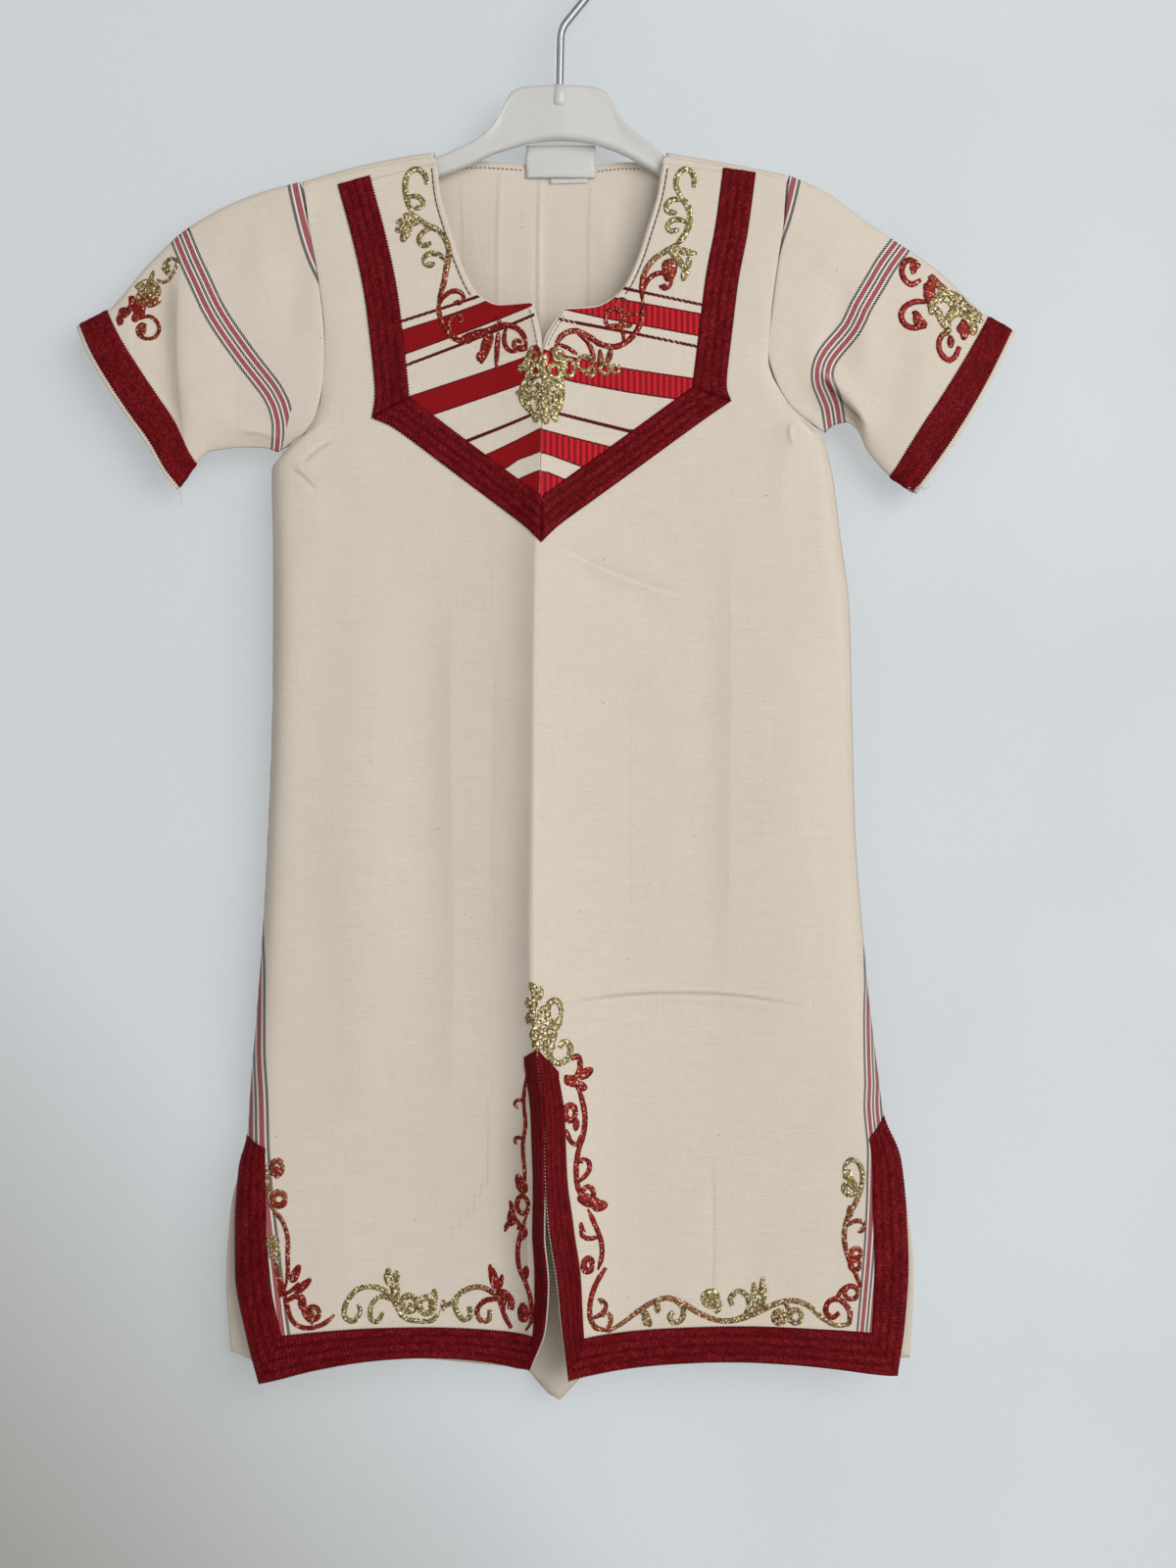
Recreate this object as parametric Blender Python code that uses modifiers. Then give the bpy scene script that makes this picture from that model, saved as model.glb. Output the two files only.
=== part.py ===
"""A child's straight cotton tunic dress on a plastic hanger with a wire hook.

The dress hangs flat.  Front and back are straight panels with the body
hollow between them, the sleeves are flattened tubes, and a pressed crease
runs down the middle of the front as a ridge.  Sizes are in millimetres and
turned into metres at the end.  +X is to the viewer's right, +Z is up and
the front faces -Y.  The origin is the top of the hook, on its inner side,
where a rail carries it.
"""
import math

import bmesh
import bpy
from mathutils import Vector

MM = 0.001

# ------------------------------------------------------------------ sizes
WALL = 1.1            # cloth wall
TRIM_WALL = 1.2       # braid wall
GAP = 0.45            # between a piece and the cloth that it lies on
SEAM = 0.45           # between two pieces that are sewn edge to edge
EDGE_ROUND = 6.0      # how fast a panel rounds away at a side seam
BRAID_WIDTH = 16.8
WIRE_RADIUS = 2.0
HOOK_RADIUS = 21.0    # middle of the wire round the hook's bend
HOOK_CENTRE_Z = -(HOOK_RADIUS - WIRE_RADIUS)
HOOK_KINK_Z = -51.0
HOOK_FOOT_Z = -87.0
SOCKET_RADIUS = 2.6
SOCKET_X = 0.4
SOCKET_DEPTH_Z = -87.6

# ---------------------------------------------------------- front sections
# One row for each section across the front, from the shoulder seam down.
# A half section runs from the neck, crease or slit (in) to the armhole or
# side (out).  fall is the width over which the crease dies away, band_in
# and band_out are the widths of the edge columns, drop_in and drop_out tip
# those columns downwards, and arch lifts the middle of the section.
FRONT_COLUMNS = ("name", "x_in", "z_in", "x_out", "z_out", "fall",
                 "band_in", "band_out", "drop_in", "drop_out", "arch")
FRONT_LEFT = (
    ("shoulder",      -63.0, -120.0, -130.1, -134.9, 20, 8.0, 14.0,  0.0, 0.0, 0.0),
    ("collarbone",    -59.9, -136.9, -126.4, -154.3, 20, 8.0, 14.0,  0.0, 0.0, 0.0),
    ("armhole_upper", -54.8, -154.7, -121.3, -181.8, 20, 8.0, 14.0,  0.0, 0.0, 0.0),
    ("armhole_mid",   -49.3, -171.9, -118.3, -210.5, 20, 8.0, 14.0,  0.0, 0.0, 0.0),
    ("armhole_low",   -40.3, -188.6, -119.9, -237.6, 20, 8.0, 14.0,  0.0, 0.0, 0.0),
    ("armhole_curve", -28.4, -194.1, -127.2, -256.0, 20, 8.0, 14.0,  0.0, 0.0, 0.0),
    ("underarm",      -13.4, -195.4, -141.1, -268.4, 20, 8.0, 14.0,  0.0, 0.0, 0.0),
    ("neck_slit_end",  -8.0, -218.8, -146.2, -277.3, 20, 8.0, 14.0,  0.0, 0.0, 0.0),
    ("chest",          -8.1, -261.6, -145.7, -316.2, 18, 8.0, 14.0,  0.0, 0.0, 0.0),
    ("bib_point",     -10.5, -312.3, -145.2, -356.1, 16, 8.0, 14.0,  0.0, 0.0, 0.0),
    ("waist",         -12.0, -382.0, -146.2, -411.0, 13, 8.0, 14.0,  0.0, 0.0, 0.0),
    ("hip",           -12.5, -445.8, -148.2, -461.0, 12, 8.0, 14.0,  0.0, 0.0, 0.0),
    ("thigh",         -13.4, -504.5, -150.7, -508.4, 11, 8.0, 14.0,  0.0, 0.0, 0.0),
    ("stripe_in",     -12.8, -545.9, -153.7, -550.8, 10, 8.0, 14.0,  0.0, 0.0, 0.0),
    ("slit_point",    -10.3, -570.1, -156.7, -585.8,  9, 6.5, 13.0,  4.0, 0.0, 0.0),
    ("side_slit_top",  -9.2, -601.4, -158.7, -614.7,  8, 6.4, 11.0,  0.0, 6.5, 0.0),
    ("slit_open",      -8.6, -633.2, -162.5, -631.4,  8, 5.6, 14.5,  0.0, 0.0, 0.0),
    ("slit_upper",     -6.8, -661.4, -164.1, -659.9,  8, 5.8, 17.0,  0.0, 0.0, 0.0),
    ("slit_lower",     -4.9, -684.1, -163.8, -684.4,  8, 6.6, 18.0,  0.0, 0.0, 3.0),
    ("hem_band",       -6.3, -706.0, -157.9, -716.0,  8, 6.0, 18.5,  7.0, 1.5, 5.0),
    ("hem",           -14.1, -729.4, -151.7, -739.6,  8, 6.8, 15.0,  1.5, 0.5, 9.5),
)
FRONT_RIGHT = (
    ("shoulder",       54.2, -120.0,  115.9, -131.9, 40, 12.0, 14.0,  0.0, 0.0, 0.0),
    ("collarbone",     50.2, -136.9,  114.2, -150.8, 40, 12.0, 14.0,  0.0, 0.0, 0.0),
    ("armhole_upper",  44.7, -155.2,  111.1, -171.4, 40, 12.0, 14.0,  0.0, 0.0, 0.0),
    ("armhole_mid",    39.2, -171.9,  107.7, -197.7, 40, 12.0, 14.0,  0.0, 0.0, 0.0),
    ("armhole_low",    31.3, -187.1,  106.3, -220.2, 40, 12.0, 14.0,  0.0, 0.0, 0.0),
    ("armhole_curve",  18.9, -196.5,  116.9, -243.1, 40, 12.0, 14.0,  0.0, 0.0, 0.0),
    ("underarm",        2.2, -199.3,  133.7, -258.4, 40, 12.0, 14.0,  0.0, 0.0, 0.0),
    ("neck_slit_end",  -8.0, -218.8,  139.3, -277.3, 40, 12.0, 14.0,  0.0, 0.0, 0.0),
    ("chest",          -8.1, -261.6,  143.8, -311.2, 36, 12.0, 14.0,  0.0, 0.0, 0.0),
    ("bib_point",     -10.5, -312.3,  148.3, -348.6, 32, 12.0, 14.0,  0.0, 0.0, 0.0),
    ("waist",         -12.0, -382.0,  149.8, -406.0, 30, 12.0, 14.0,  0.0, 0.0, 0.0),
    ("hip",           -12.5, -445.8,  151.3, -461.0, 28, 12.0, 14.0,  0.0, 0.0, 0.0),
    ("thigh",         -13.4, -504.5,  154.8, -508.4, 26, 12.0, 14.0,  0.0, 0.0, 0.0),
    ("stripe_in",     -12.8, -545.9,  158.8, -550.8, 24, 12.0, 14.0,  0.0, 0.0, 0.0),
    ("slit_point",    -10.3, -570.1,  162.8, -583.3, 21, 10.6, 13.0, 11.0, 0.0, 0.0),
    ("side_slit_top",  -6.7, -601.4,  165.8, -604.7, 19, 10.0, 9.0,  0.0, 11.0, 0.0),
    ("slit_open",      -6.1, -633.2,  174.0, -626.4, 18, 10.6, 15.5,  0.0, 3.0, 0.0),
    ("slit_upper",     -4.2, -656.6,  176.7, -654.9, 18, 11.8, 18.0,  0.0, 0.0, 0.0),
    ("slit_lower",     -0.5, -680.7,  177.4, -679.4, 18, 11.6, 18.0,  0.0, 0.0, 2.0),
    ("hem_band",        2.0, -706.0,  175.5, -708.5, 18, 11.0, 17.5,  8.0, 6.0, 4.8),
    ("hem",             5.3, -733.6,  171.7, -735.4, 18, 13.0, 17.0,  0.5, 0.5, 7.4),
)
# How the sections stand in depth: y at the outer edge, the plane of the
# flat cloth, the height of the pressed crease and where it runs.
FORM_COLUMNS = ("name", "y_out", "plane", "crease", "crease_x")
FRONT_FORM = (
    ("shoulder",      -6.2,  -6.2,  0.0,  -9.0),
    ("collarbone",    -8.0,  -7.5,  0.5,  -9.0),
    ("armhole_upper", -9.0,  -8.5,  1.5,  -9.0),
    ("armhole_mid",   -9.0,  -9.0,  3.0,  -9.0),
    ("armhole_low",   -8.0,  -9.5,  5.0,  -9.0),
    ("armhole_curve", -5.5, -10.0,  6.0,  -9.0),
    ("underarm",      -1.4, -10.0,  7.0,  -8.5),
    ("neck_slit_end", -1.1, -10.0,  7.0,  -8.0),
    ("chest",         -1.1, -10.0,  7.5,  -8.1),
    ("bib_point",     -1.1, -10.0,  8.0, -10.5),
    ("waist",         -1.1, -10.0,  8.5, -12.0),
    ("hip",           -1.1, -10.0,  9.5, -12.5),
    ("thigh",         -1.1, -10.5, 11.0, -13.4),
    ("stripe_in",     -1.1, -10.5, 12.5, -12.8),
    ("slit_point",    -1.1, -11.0, 14.0, -10.3),
    ("side_slit_top", -1.1, -11.0, 16.0,  -8.0),
    ("slit_open",     -3.0, -11.0, 17.5,  -7.4),
    ("slit_upper",    -5.0, -11.5, 19.0,  -5.5),
    ("slit_lower",    -6.5, -11.5, 19.5,  -2.7),
    ("hem_band",      -7.5, -12.0, 20.0,  -2.5),
    ("hem",           -8.0, -12.0, 19.0,  -5.0),
)
ROW = {row[0]: number for number, row in enumerate(FRONT_LEFT)}
MIDDLE_COLUMNS = 6    # quads between the two edge bands of a half
BAND_COLUMNS = 3      # quads in each edge band

# ----------------------------------------------------------- back sections
BACK_COLUMNS = ("name", "x_left", "z_left", "x_right", "z_right",
                "y_edge", "plane", "crease")
BACK = (
    ("shoulder",      -130.1, -132.5,  115.9, -129.5,  6.3,  6.3, 0.0),
    ("collarbone",    -126.4, -154.3,  114.2, -150.8,  6.8,  6.8, 0.0),
    ("armhole_upper", -121.3, -181.8,  111.1, -171.4,  7.0,  7.0, 0.5),
    ("armhole_mid",   -118.3, -210.5,  107.7, -197.7,  7.0,  7.0, 1.0),
    ("armhole_low",   -119.9, -237.6,  106.3, -220.2,  6.0,  7.0, 1.5),
    ("armhole_curve", -127.2, -256.0,  116.9, -243.1,  4.0,  7.0, 2.0),
    ("underarm",      -141.1, -268.4,  133.7, -258.4,  1.4,  7.0, 2.0),
    ("side_top",      -146.2, -277.3,  139.3, -277.3,  1.1,  7.0, 2.0),
    ("chest",         -145.7, -316.2,  143.8, -311.2,  1.1,  7.0, 2.5),
    ("waist",         -146.2, -411.0,  149.8, -406.0,  1.1,  7.0, 3.0),
    ("hip",           -148.2, -461.0,  151.3, -461.0,  1.1,  7.0, 3.0),
    ("stripe_in",     -153.7, -550.8,  158.8, -550.8,  1.1,  7.0, 3.5),
    ("slit_top",      -158.7, -614.7,  165.8, -604.7,  1.1,  7.0, 4.0),
    ("slit_upper",    -168.5, -655.0,  178.5, -650.0,  6.0,  7.5, 4.0),
    ("slit_lower",    -171.0, -692.0,  182.5, -690.0,  8.0,  8.0, 4.0),
    ("hem",           -168.6, -727.6,  180.5, -731.1,  9.0,  8.0, 4.0),
)
BACK_HEM = (  # x, z along the lower edge
    (-168.6, -727.6), (-136.0, -738.5), (-86.0, -731.0), (-35.0, -735.0),
    (-15.0, -740.5), (-1.0, -750.5), (15.0, -744.5), (65.0, -735.0),
    (116.0, -733.7), (180.5, -731.1))
BACK_NECK = (  # x, z along the neck edge
    (-63.2, -117.4), (-38.4, -116.4), (-18.8, -117.7), (0.4, -119.0),
    (18.0, -118.5), (32.6, -117.0), (54.9, -117.4))
BACK_CREASE_X = -1.0
BACK_FALL = 30.0
BACK_FRACTIONS = (0.0, 0.014, 0.036, 0.075, 0.138, 0.207, 0.272, 0.355, 0.434,
                  0.50, 0.585, 0.665, 0.752, 0.812, 0.87, 0.93, 0.965, 0.986, 1.0)
NECK_COLUMNS = (6, 12)          # the columns that meet the two neck points
# The back runs over the hanger and is sewn to the front just below the top.
SHOULDER_FOLD = (  # name, y, drop below the top line
    ("seam", -5.7, 3.9), ("brow", -3.9, 1.0), ("top", 0.0, 0.0), ("nape", 4.4, 0.9))
TOP_LEFT = (  # x, z of the shoulder's top line, from the neck outwards
    (-63.5, -114.3), (-76.5, -116.0), (-101.0, -121.0), (-116.0, -125.0),
    (-131.0, -129.5))
TOP_RIGHT = (
    (54.5, -114.3), (64.0, -116.0), (92.5, -121.0), (117.0, -126.0))

# ----------------------------------------------------------------- sleeves
# s runs from the armhole to the cuff's edge; top and low are the two folds.
SLEEVE_COLUMNS = ("s", "top_x", "top_z", "low_x", "low_z")
SLEEVE_LEFT = (
    (0.00, -131.6, -129.6, -143.2, -266.8),
    (0.16, -150.0, -134.0, -150.0, -264.6),
    (0.32, -170.0, -141.6, -161.0, -264.4),
    (0.48, -190.5, -153.4, -172.0, -265.4),
    (0.64, -208.0, -169.6, -178.5, -266.8),
    (0.84, -229.5, -194.0, -184.5, -272.0),
    (0.92, -238.0, -198.6, -189.5, -279.0),
    (1.00, -246.0, -202.5, -194.5, -286.0),
)
SLEEVE_RIGHT = (
    (0.00, 117.4, -126.2, 135.8, -256.8),
    (0.16, 136.5, -134.6, 140.5, -253.0),
    (0.32, 153.5, -146.8, 147.0, -251.6),
    (0.48, 171.0, -158.6, 152.0, -255.0),
    (0.64, 191.0, -172.2, 157.5, -266.0),
    (0.84, 218.5, -197.5, 168.5, -278.6),
    (0.92, 226.0, -201.6, 175.5, -283.4),
    (1.00, 232.5, -205.5, 182.5, -288.2),
)
CUFF_LEFT = (  # x, z along the cuff's edge, from its lower end
    (-194.5, -286.0), (-201.5, -277.0), (-209.5, -263.0), (-219.0, -249.9),
    (-228.0, -236.5), (-238.5, -219.0), (-246.0, -202.5))
CUFF_RIGHT = (
    (182.5, -288.2), (188.6, -280.5), (203.1, -260.0), (217.8, -235.0),
    (232.5, -205.5))
CUFF_DEPTH = 5.6      # half the depth of the open cuff
ARMHOLE_SEAM = (      # section of the front, gap to the sleeve there
    ("armhole_curve", 1.1), ("armhole_low", 0.7), ("armhole_mid", SEAM),
    ("armhole_upper", SEAM), ("collarbone", SEAM))

# --------------------------------------------------------------- bib, trim
BIB_COLUMNS = ("x_out", "z_out", "x_in", "z_in")
BIB_LEFT = (
    (-102.6, -131.6, -61.4, -121.9),
    (-96.0, -157.0, -60.0, -138.0),
    (-91.0, -181.0, -55.0, -156.0),
    (-87.4, -207.0, -49.6, -172.6),
    (-85.0, -228.0, -40.6, -189.4),
    (-82.0, -244.0, -28.5, -195.0),
    (-69.0, -254.5, -13.9, -196.4),
    (-55.0, -265.0, -8.8, -219.8),
    (-38.0, -277.2, -8.8, -246.0),
    (-25.0, -286.0, -9.0, -268.0),
    (-16.0, -290.6, -9.2, -284.5),
)
BIB_RIGHT = (
    (91.8, -127.4, 52.2, -121.9),
    (87.6, -154.5, 50.3, -138.0),
    (83.2, -178.0, 44.9, -156.5),
    (79.8, -204.0, 39.5, -172.6),
    (77.0, -227.0, 31.5, -187.8),
    (73.6, -241.0, 19.0, -197.4),
    (59.0, -252.0, 2.8, -200.3),
    (44.0, -263.2, -7.4, -219.8),
    (27.0, -275.6, -7.4, -246.0),
    (11.0, -286.8, -7.6, -268.0),
    (-2.0, -293.6, -7.8, -286.0),
)
BIB_ACROSS = 4
BIB_BRAID = (  # x, z along the middle of the braid
    (-102.8, -131.3), (-95.5, -159.0), (-90.3, -184.0), (-87.0, -208.0),
    (-84.8, -228.0), (-83.2, -245.0), (-8.4, -302.0), (75.0, -240.6),
    (76.6, -230.0), (79.6, -205.7), (83.0, -179.1), (87.5, -155.7),
    (92.0, -126.4))
LABEL = {"x_low": -17.0, "x_high": 18.5, "z_low": -125.4, "z_high": -108.9,
         "y": 4.6, "wall": 0.6}

# ------------------------------------------------------------------ hanger
# Sections of the plastic body across its width: upper and lower edge and
# half its thickness.  The arms lie just under the cloth's shoulders.
HANGER_COLUMNS = ("x", "top", "low", "half")
HANGER = (
    (-146.0, -138.5, -142.5, 1.6), (-142.0, -135.3, -145.5, 2.8),
    (-131.0, -132.2, -143.5, 3.1), (-101.0, -123.8, -135.0, 3.1),
    (-76.0, -118.7, -130.5, 3.1), (-64.0, -117.1, -127.2, 3.1),
    (-58.0, -115.0, -125.2, 3.1), (-52.0, -112.0, -122.8, 3.1), (-45.0, -108.8, -120.0, 3.1),
    (-38.0, -104.0, -116.8, 3.1), (-31.5, -96.5, -114.0, 3.1),
    (-27.0, -87.5, -112.6, 3.2), (-23.0, -82.2, -111.3, 3.3),
    (-17.0, -80.6, -109.6, 3.4), (-7.0, -79.9, -107.9, 3.8),
    (0.0, -79.7, -107.5, 4.0), (7.0, -79.9, -107.9, 3.8),
    (18.0, -80.7, -109.6, 3.4), (24.0, -83.2, -111.6, 3.3),
    (27.5, -88.5, -112.9, 3.2), (32.0, -97.0, -114.8, 3.1),
    (39.0, -103.5, -118.3, 3.1), (45.0, -108.3, -121.8, 3.1),
    (50.5, -113.0, -125.2, 3.1), (55.0, -117.0, -127.4, 3.1),
    (64.0, -118.8, -130.2, 3.1),
    (92.0, -123.8, -136.0, 3.1), (116.0, -128.6, -141.5, 3.1),
    (131.0, -135.0, -148.0, 3.1), (142.0, -143.3, -152.5, 2.8),
    (146.0, -146.6, -150.4, 1.6),
)
CORNER = 0.38         # part of the half thickness that a section's corner rounds


# -------------------------------------------------------------- small tools
def lerp(a, b, t):
    return a + (b - a) * t


def table_value(table, x):
    """The second column of a two-column table, read straight between rows."""
    rows = sorted(table)
    if x <= rows[0][0]:
        return rows[0][1]
    for (x0, z0), (x1, z1) in zip(rows, rows[1:]):
        if x <= x1:
            return lerp(z0, z1, (x - x0) / (x1 - x0))
    return rows[-1][1]


def named(columns, row):
    return dict(zip(columns, row))


def mix_rows(columns, table, position):
    """The row at a position between two rows of a table."""
    low = max(0, min(int(math.floor(position)), len(table) - 2))
    t = position - low
    first, second = named(columns, table[low]), named(columns, table[low + 1])
    return {key: first[key] if key == "name" else lerp(first[key], second[key], t)
            for key in columns}


def along(points, t):
    """A point at part t of the length of a path of points."""
    lengths = [(b - a).length for a, b in zip(points, points[1:])]
    target = t * sum(lengths)
    for a, b, length in zip(points, points[1:], lengths):
        if target <= length + 1e-9:
            return a.lerp(b, target / length if length else 0.0)
        target -= length
    return points[-1].copy()


# ---------------------------------------------------------- front's surface
FRONT = {"left": FRONT_LEFT, "right": FRONT_RIGHT}


def front_depth(side, position, x):
    """y of the front's outer face at x on the section at this position."""
    half = mix_rows(FRONT_COLUMNS, FRONT[side], position)
    form = mix_rows(FORM_COLUMNS, FRONT_FORM, position)
    crease = form["crease"] * math.exp(-abs(x - form["crease_x"]) / half["fall"])
    edge = (form["y_out"] - form["plane"]) * math.exp(
        -abs(x - half["x_out"]) / EDGE_ROUND)
    return form["plane"] - crease + edge


def section_height(half, x):
    """z along a section at x."""
    sign = 1.0 if half["x_out"] > half["x_in"] else -1.0
    width = abs(half["x_out"] - half["x_in"])
    d = (x - half["x_in"]) * sign
    inner, outer = half["band_in"], width - half["band_out"]
    z_inner = lerp(half["z_in"], half["z_out"], inner / width) - half["drop_in"]
    z_outer = lerp(half["z_in"], half["z_out"], outer / width) - half["drop_out"]
    if d <= inner:
        z = lerp(half["z_in"], z_inner, d / inner)
    elif d <= outer:
        z = lerp(z_inner, z_outer, (d - inner) / (outer - inner))
    else:
        z = lerp(z_outer, half["z_out"], (d - outer) / half["band_out"])
    t = min(max(d / width, 0.0), 1.0)
    return z + half["arch"] * 4.0 * t * (1.0 - t)


def front_at(x, z):
    """A point of the front's outer face, from its place in the front view."""
    side = "left" if x < -8.0 else "right"
    low, high = 0.0, float(len(FRONT_LEFT) - 1)
    for _ in range(40):
        middle = 0.5 * (low + high)
        half = mix_rows(FRONT_COLUMNS, FRONT[side], middle)
        if section_height(half, x) > z:
            low = middle
        else:
            high = middle
    return Vector((x, front_depth(side, low, x), z))


def front_normal(x, z, step=1.5):
    """The outward direction of the front's face there."""
    side = -step if x < -8.0 else step
    here = front_at(x, z)
    across = (front_at(x + side, z) - here) * (1.0 if side > 0 else -1.0)
    up = front_at(x, z + step) - front_at(x, z - step)
    normal = up.cross(across).normalized()
    return normal if normal.y < 0 else -normal


def front_grid(side):
    """Points of one half of the front, a list for each section."""
    rows = []
    for position in range(len(FRONT[side])):
        half = named(FRONT_COLUMNS, FRONT[side][position])
        sign = 1.0 if half["x_out"] > half["x_in"] else -1.0
        width = abs(half["x_out"] - half["x_in"])
        inner, outer = half["band_in"], width - half["band_out"]
        places = [inner * i / BAND_COLUMNS for i in range(BAND_COLUMNS)]
        for i in range(MIDDLE_COLUMNS):
            t = i / MIDDLE_COLUMNS
            places.append(lerp(inner, outer, t ** 1.35))
        places += [lerp(outer, width, i / BAND_COLUMNS) for i in range(BAND_COLUMNS + 1)]
        rows.append([Vector((half["x_in"] + sign * d,
                             front_depth(side, position, half["x_in"] + sign * d),
                             section_height(half, half["x_in"] + sign * d)))
                     for d in places])
    return rows


# ------------------------------------------------------------ making pieces
def new_material(name, colour, roughness, metallic=0.0):
    material = bpy.data.materials.new(name)
    material.use_nodes = True
    shader = material.node_tree.nodes["Principled BSDF"]
    shader.inputs["Base Color"].default_value = (*colour, 1.0)
    shader.inputs["Roughness"].default_value = roughness
    shader.inputs["Metallic"].default_value = metallic
    return material


def new_object(name, bm, collection, material, smooth=True):
    for vertex in bm.verts:
        vertex.co *= MM
    mesh = bpy.data.meshes.new(name)
    bm.to_mesh(mesh)
    bm.free()
    if smooth:
        mesh.shade_smooth()
    mesh.materials.append(material)
    item = bpy.data.objects.new(name, mesh)
    collection.objects.link(item)
    return item


def thicken(item, wall, offset=-1.0):
    """Turn an open sheet into a wall; -1 grows inwards and +1 outwards."""
    solid = item.modifiers.new("wall", "SOLIDIFY")
    solid.thickness = wall * MM
    solid.offset = offset
    solid.use_even_offset = True
    solid.use_rim = True


class Sheet:
    """Faces laid between points, with equal points made only once."""

    def __init__(self):
        self.bm = bmesh.new()
        self.made = {}

    def vertex(self, point):
        key = tuple(round(value, 4) for value in point)
        if key not in self.made:
            self.made[key] = self.bm.verts.new(point)
        return self.made[key]

    def face(self, *points):
        corners = []
        for point in points:
            corner = self.vertex(point)
            if corner not in corners:
                corners.append(corner)
        if len(corners) > 2:
            self.bm.faces.new(corners)

    def grid(self, rows, flip=False):
        for upper, lower in zip(rows, rows[1:]):
            for i in range(len(upper) - 1):
                quad = (upper[i], lower[i], lower[i + 1], upper[i + 1])
                self.face(*(reversed(quad) if flip else quad))


def grid_normals(rows, outward):
    """Directions out of a grid of points, on the side of outward."""
    normals = []
    for i, row in enumerate(rows):
        line = []
        for j, point in enumerate(row):
            down = rows[min(i + 1, len(rows) - 1)][j] - rows[max(i - 1, 0)][j]
            across = row[min(j + 1, len(row) - 1)] - row[max(j - 1, 0)]
            normal = down.cross(across).normalized()
            line.append(normal if normal.dot(outward) > 0 else -normal)
        normals.append(line)
    return normals


# ----------------------------------------------------------------- the body
def build_front(collection, material):
    sheet = Sheet()
    sheet.grid(front_grid("left"), flip=True)
    sheet.grid(front_grid("right"))
    item = new_object("front_panel", sheet.bm, collection, material)
    thicken(item, WALL)
    return item


def back_depth(row, x):
    edge = min(abs(x - row["x_left"]), abs(x - row["x_right"]))
    crease = row["crease"] * math.exp(-abs(x - BACK_CREASE_X) / BACK_FALL)
    return (row["plane"] + crease
            - (row["plane"] - row["y_edge"]) * math.exp(-edge / EDGE_ROUND))


def top_line(x):
    return table_value(TOP_LEFT if x < 0 else TOP_RIGHT, x)


def back_grid():
    rows = []
    for number, values in enumerate(BACK):
        row = named(BACK_COLUMNS, values)
        line = []
        for column, u in enumerate(BACK_FRACTIONS):
            x = lerp(row["x_left"], row["x_right"], u)
            z = lerp(row["z_left"], row["z_right"], u)
            if number == 0:
                inside = NECK_COLUMNS[0] <= column <= NECK_COLUMNS[1]
                z = table_value(BACK_NECK, x) if inside else top_line(x) - 3.0
            if number == len(BACK) - 1:
                z = table_value(BACK_HEM, x)
            line.append(Vector((x, back_depth(row, x), z)))
        rows.append(line)
    return rows


def build_back(collection, material):
    sheet = Sheet()
    grid = back_grid()
    sheet.grid(grid, flip=True)
    first, last = NECK_COLUMNS
    for columns in (range(0, first + 1), range(last, len(BACK_FRACTIONS))):
        fold = []
        for name, y, drop in SHOULDER_FOLD:
            fold.append([Vector((grid[0][c].x, y, top_line(grid[0][c].x) - drop))
                         for c in columns])
        fold.append([grid[0][c] for c in columns])
        sheet.grid(fold, flip=True)
    item = new_object("back_panel", sheet.bm, collection, material)
    thicken(item, WALL)
    return item


# -------------------------------------------------------------- the sleeves
def pushed_out(points, distances, away):
    """A path in the front view moved sideways, towards the side of away."""
    moved = []
    for i, (point, distance) in enumerate(zip(points, distances)):
        step = points[min(i + 1, len(points) - 1)] - points[max(i - 1, 0)]
        sideways = Vector((step.z, 0.0, -step.x)).normalized()
        if sideways.x * away < 0:
            sideways = -sideways
        moved.append(point + sideways * distance)
    return moved


def armhole(side, face):
    """The sleeve's end at the armhole, from the underarm to the top."""
    away = -1.0 if side == "left" else 1.0
    edge = []
    for name, _ in ARMHOLE_SEAM:
        half = named(FRONT_COLUMNS, FRONT[side][ROW[name]])
        if face == "front":
            y = named(FORM_COLUMNS, FRONT_FORM[ROW[name]])["y_out"]
        else:
            y = next(row for row in BACK if row[0] == name)[5]
        edge.append(Vector((half["x_out"], y, half["z_out"])))
    return pushed_out(edge, [gap for _, gap in ARMHOLE_SEAM], away)


def sleeve_side(side, face):
    """Points of one side of a sleeve: a list of stations, each low to top."""
    table = SLEEVE_LEFT if side == "left" else SLEEVE_RIGHT
    cuff = CUFF_LEFT if side == "left" else CUFF_RIGHT
    sign = -1.0 if face == "front" else 1.0
    rows = [named(SLEEVE_COLUMNS, row) for row in table]
    tops = [Vector((row["top_x"], 0.0, row["top_z"])) for row in rows]
    lows = [Vector((row["low_x"], 0.0, row["low_z"])) for row in rows]
    edge = armhole(side, face)
    inward = 1.0 if side == "left" else -1.0
    shoulder = tops[0] + Vector((0.3 * inward, sign * 4.6, -2.6))
    start = [lows[0]] + edge + [shoulder, tops[0]]
    cuff_path = [Vector((x, 0.0, z)) for x, z in cuff]
    flat = [Vector((point.x, 0.0, point.z)) for point in start]
    reach = [0.0]
    for first, second in zip(flat, flat[1:]):
        reach.append(reach[-1] + (second - first).length)
    grid = []
    for row, top, low in zip(rows, tops, lows):
        s = row["s"]
        line = []
        for a, length in zip(start, reach):
            q = length / reach[-1]
            k = along(cuff_path, q)
            k.y = sign * CUFF_DEPTH * (1.0 - abs(2.0 * q - 1.0) ** 3) ** 0.5
            corners = (lows[0].lerp(tops[0], q)).lerp(lows[-1].lerp(tops[-1], q), s)
            point = a.lerp(k, s) + low.lerp(top, q) - corners
            line.append(point)
        grid.append(line)
    return grid


def sleeve_loops(side):
    front, back = sleeve_side(side, "front"), sleeve_side(side, "back")
    return [f + list(reversed(b))[1:-1] for f, b in zip(front, back)]


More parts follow.
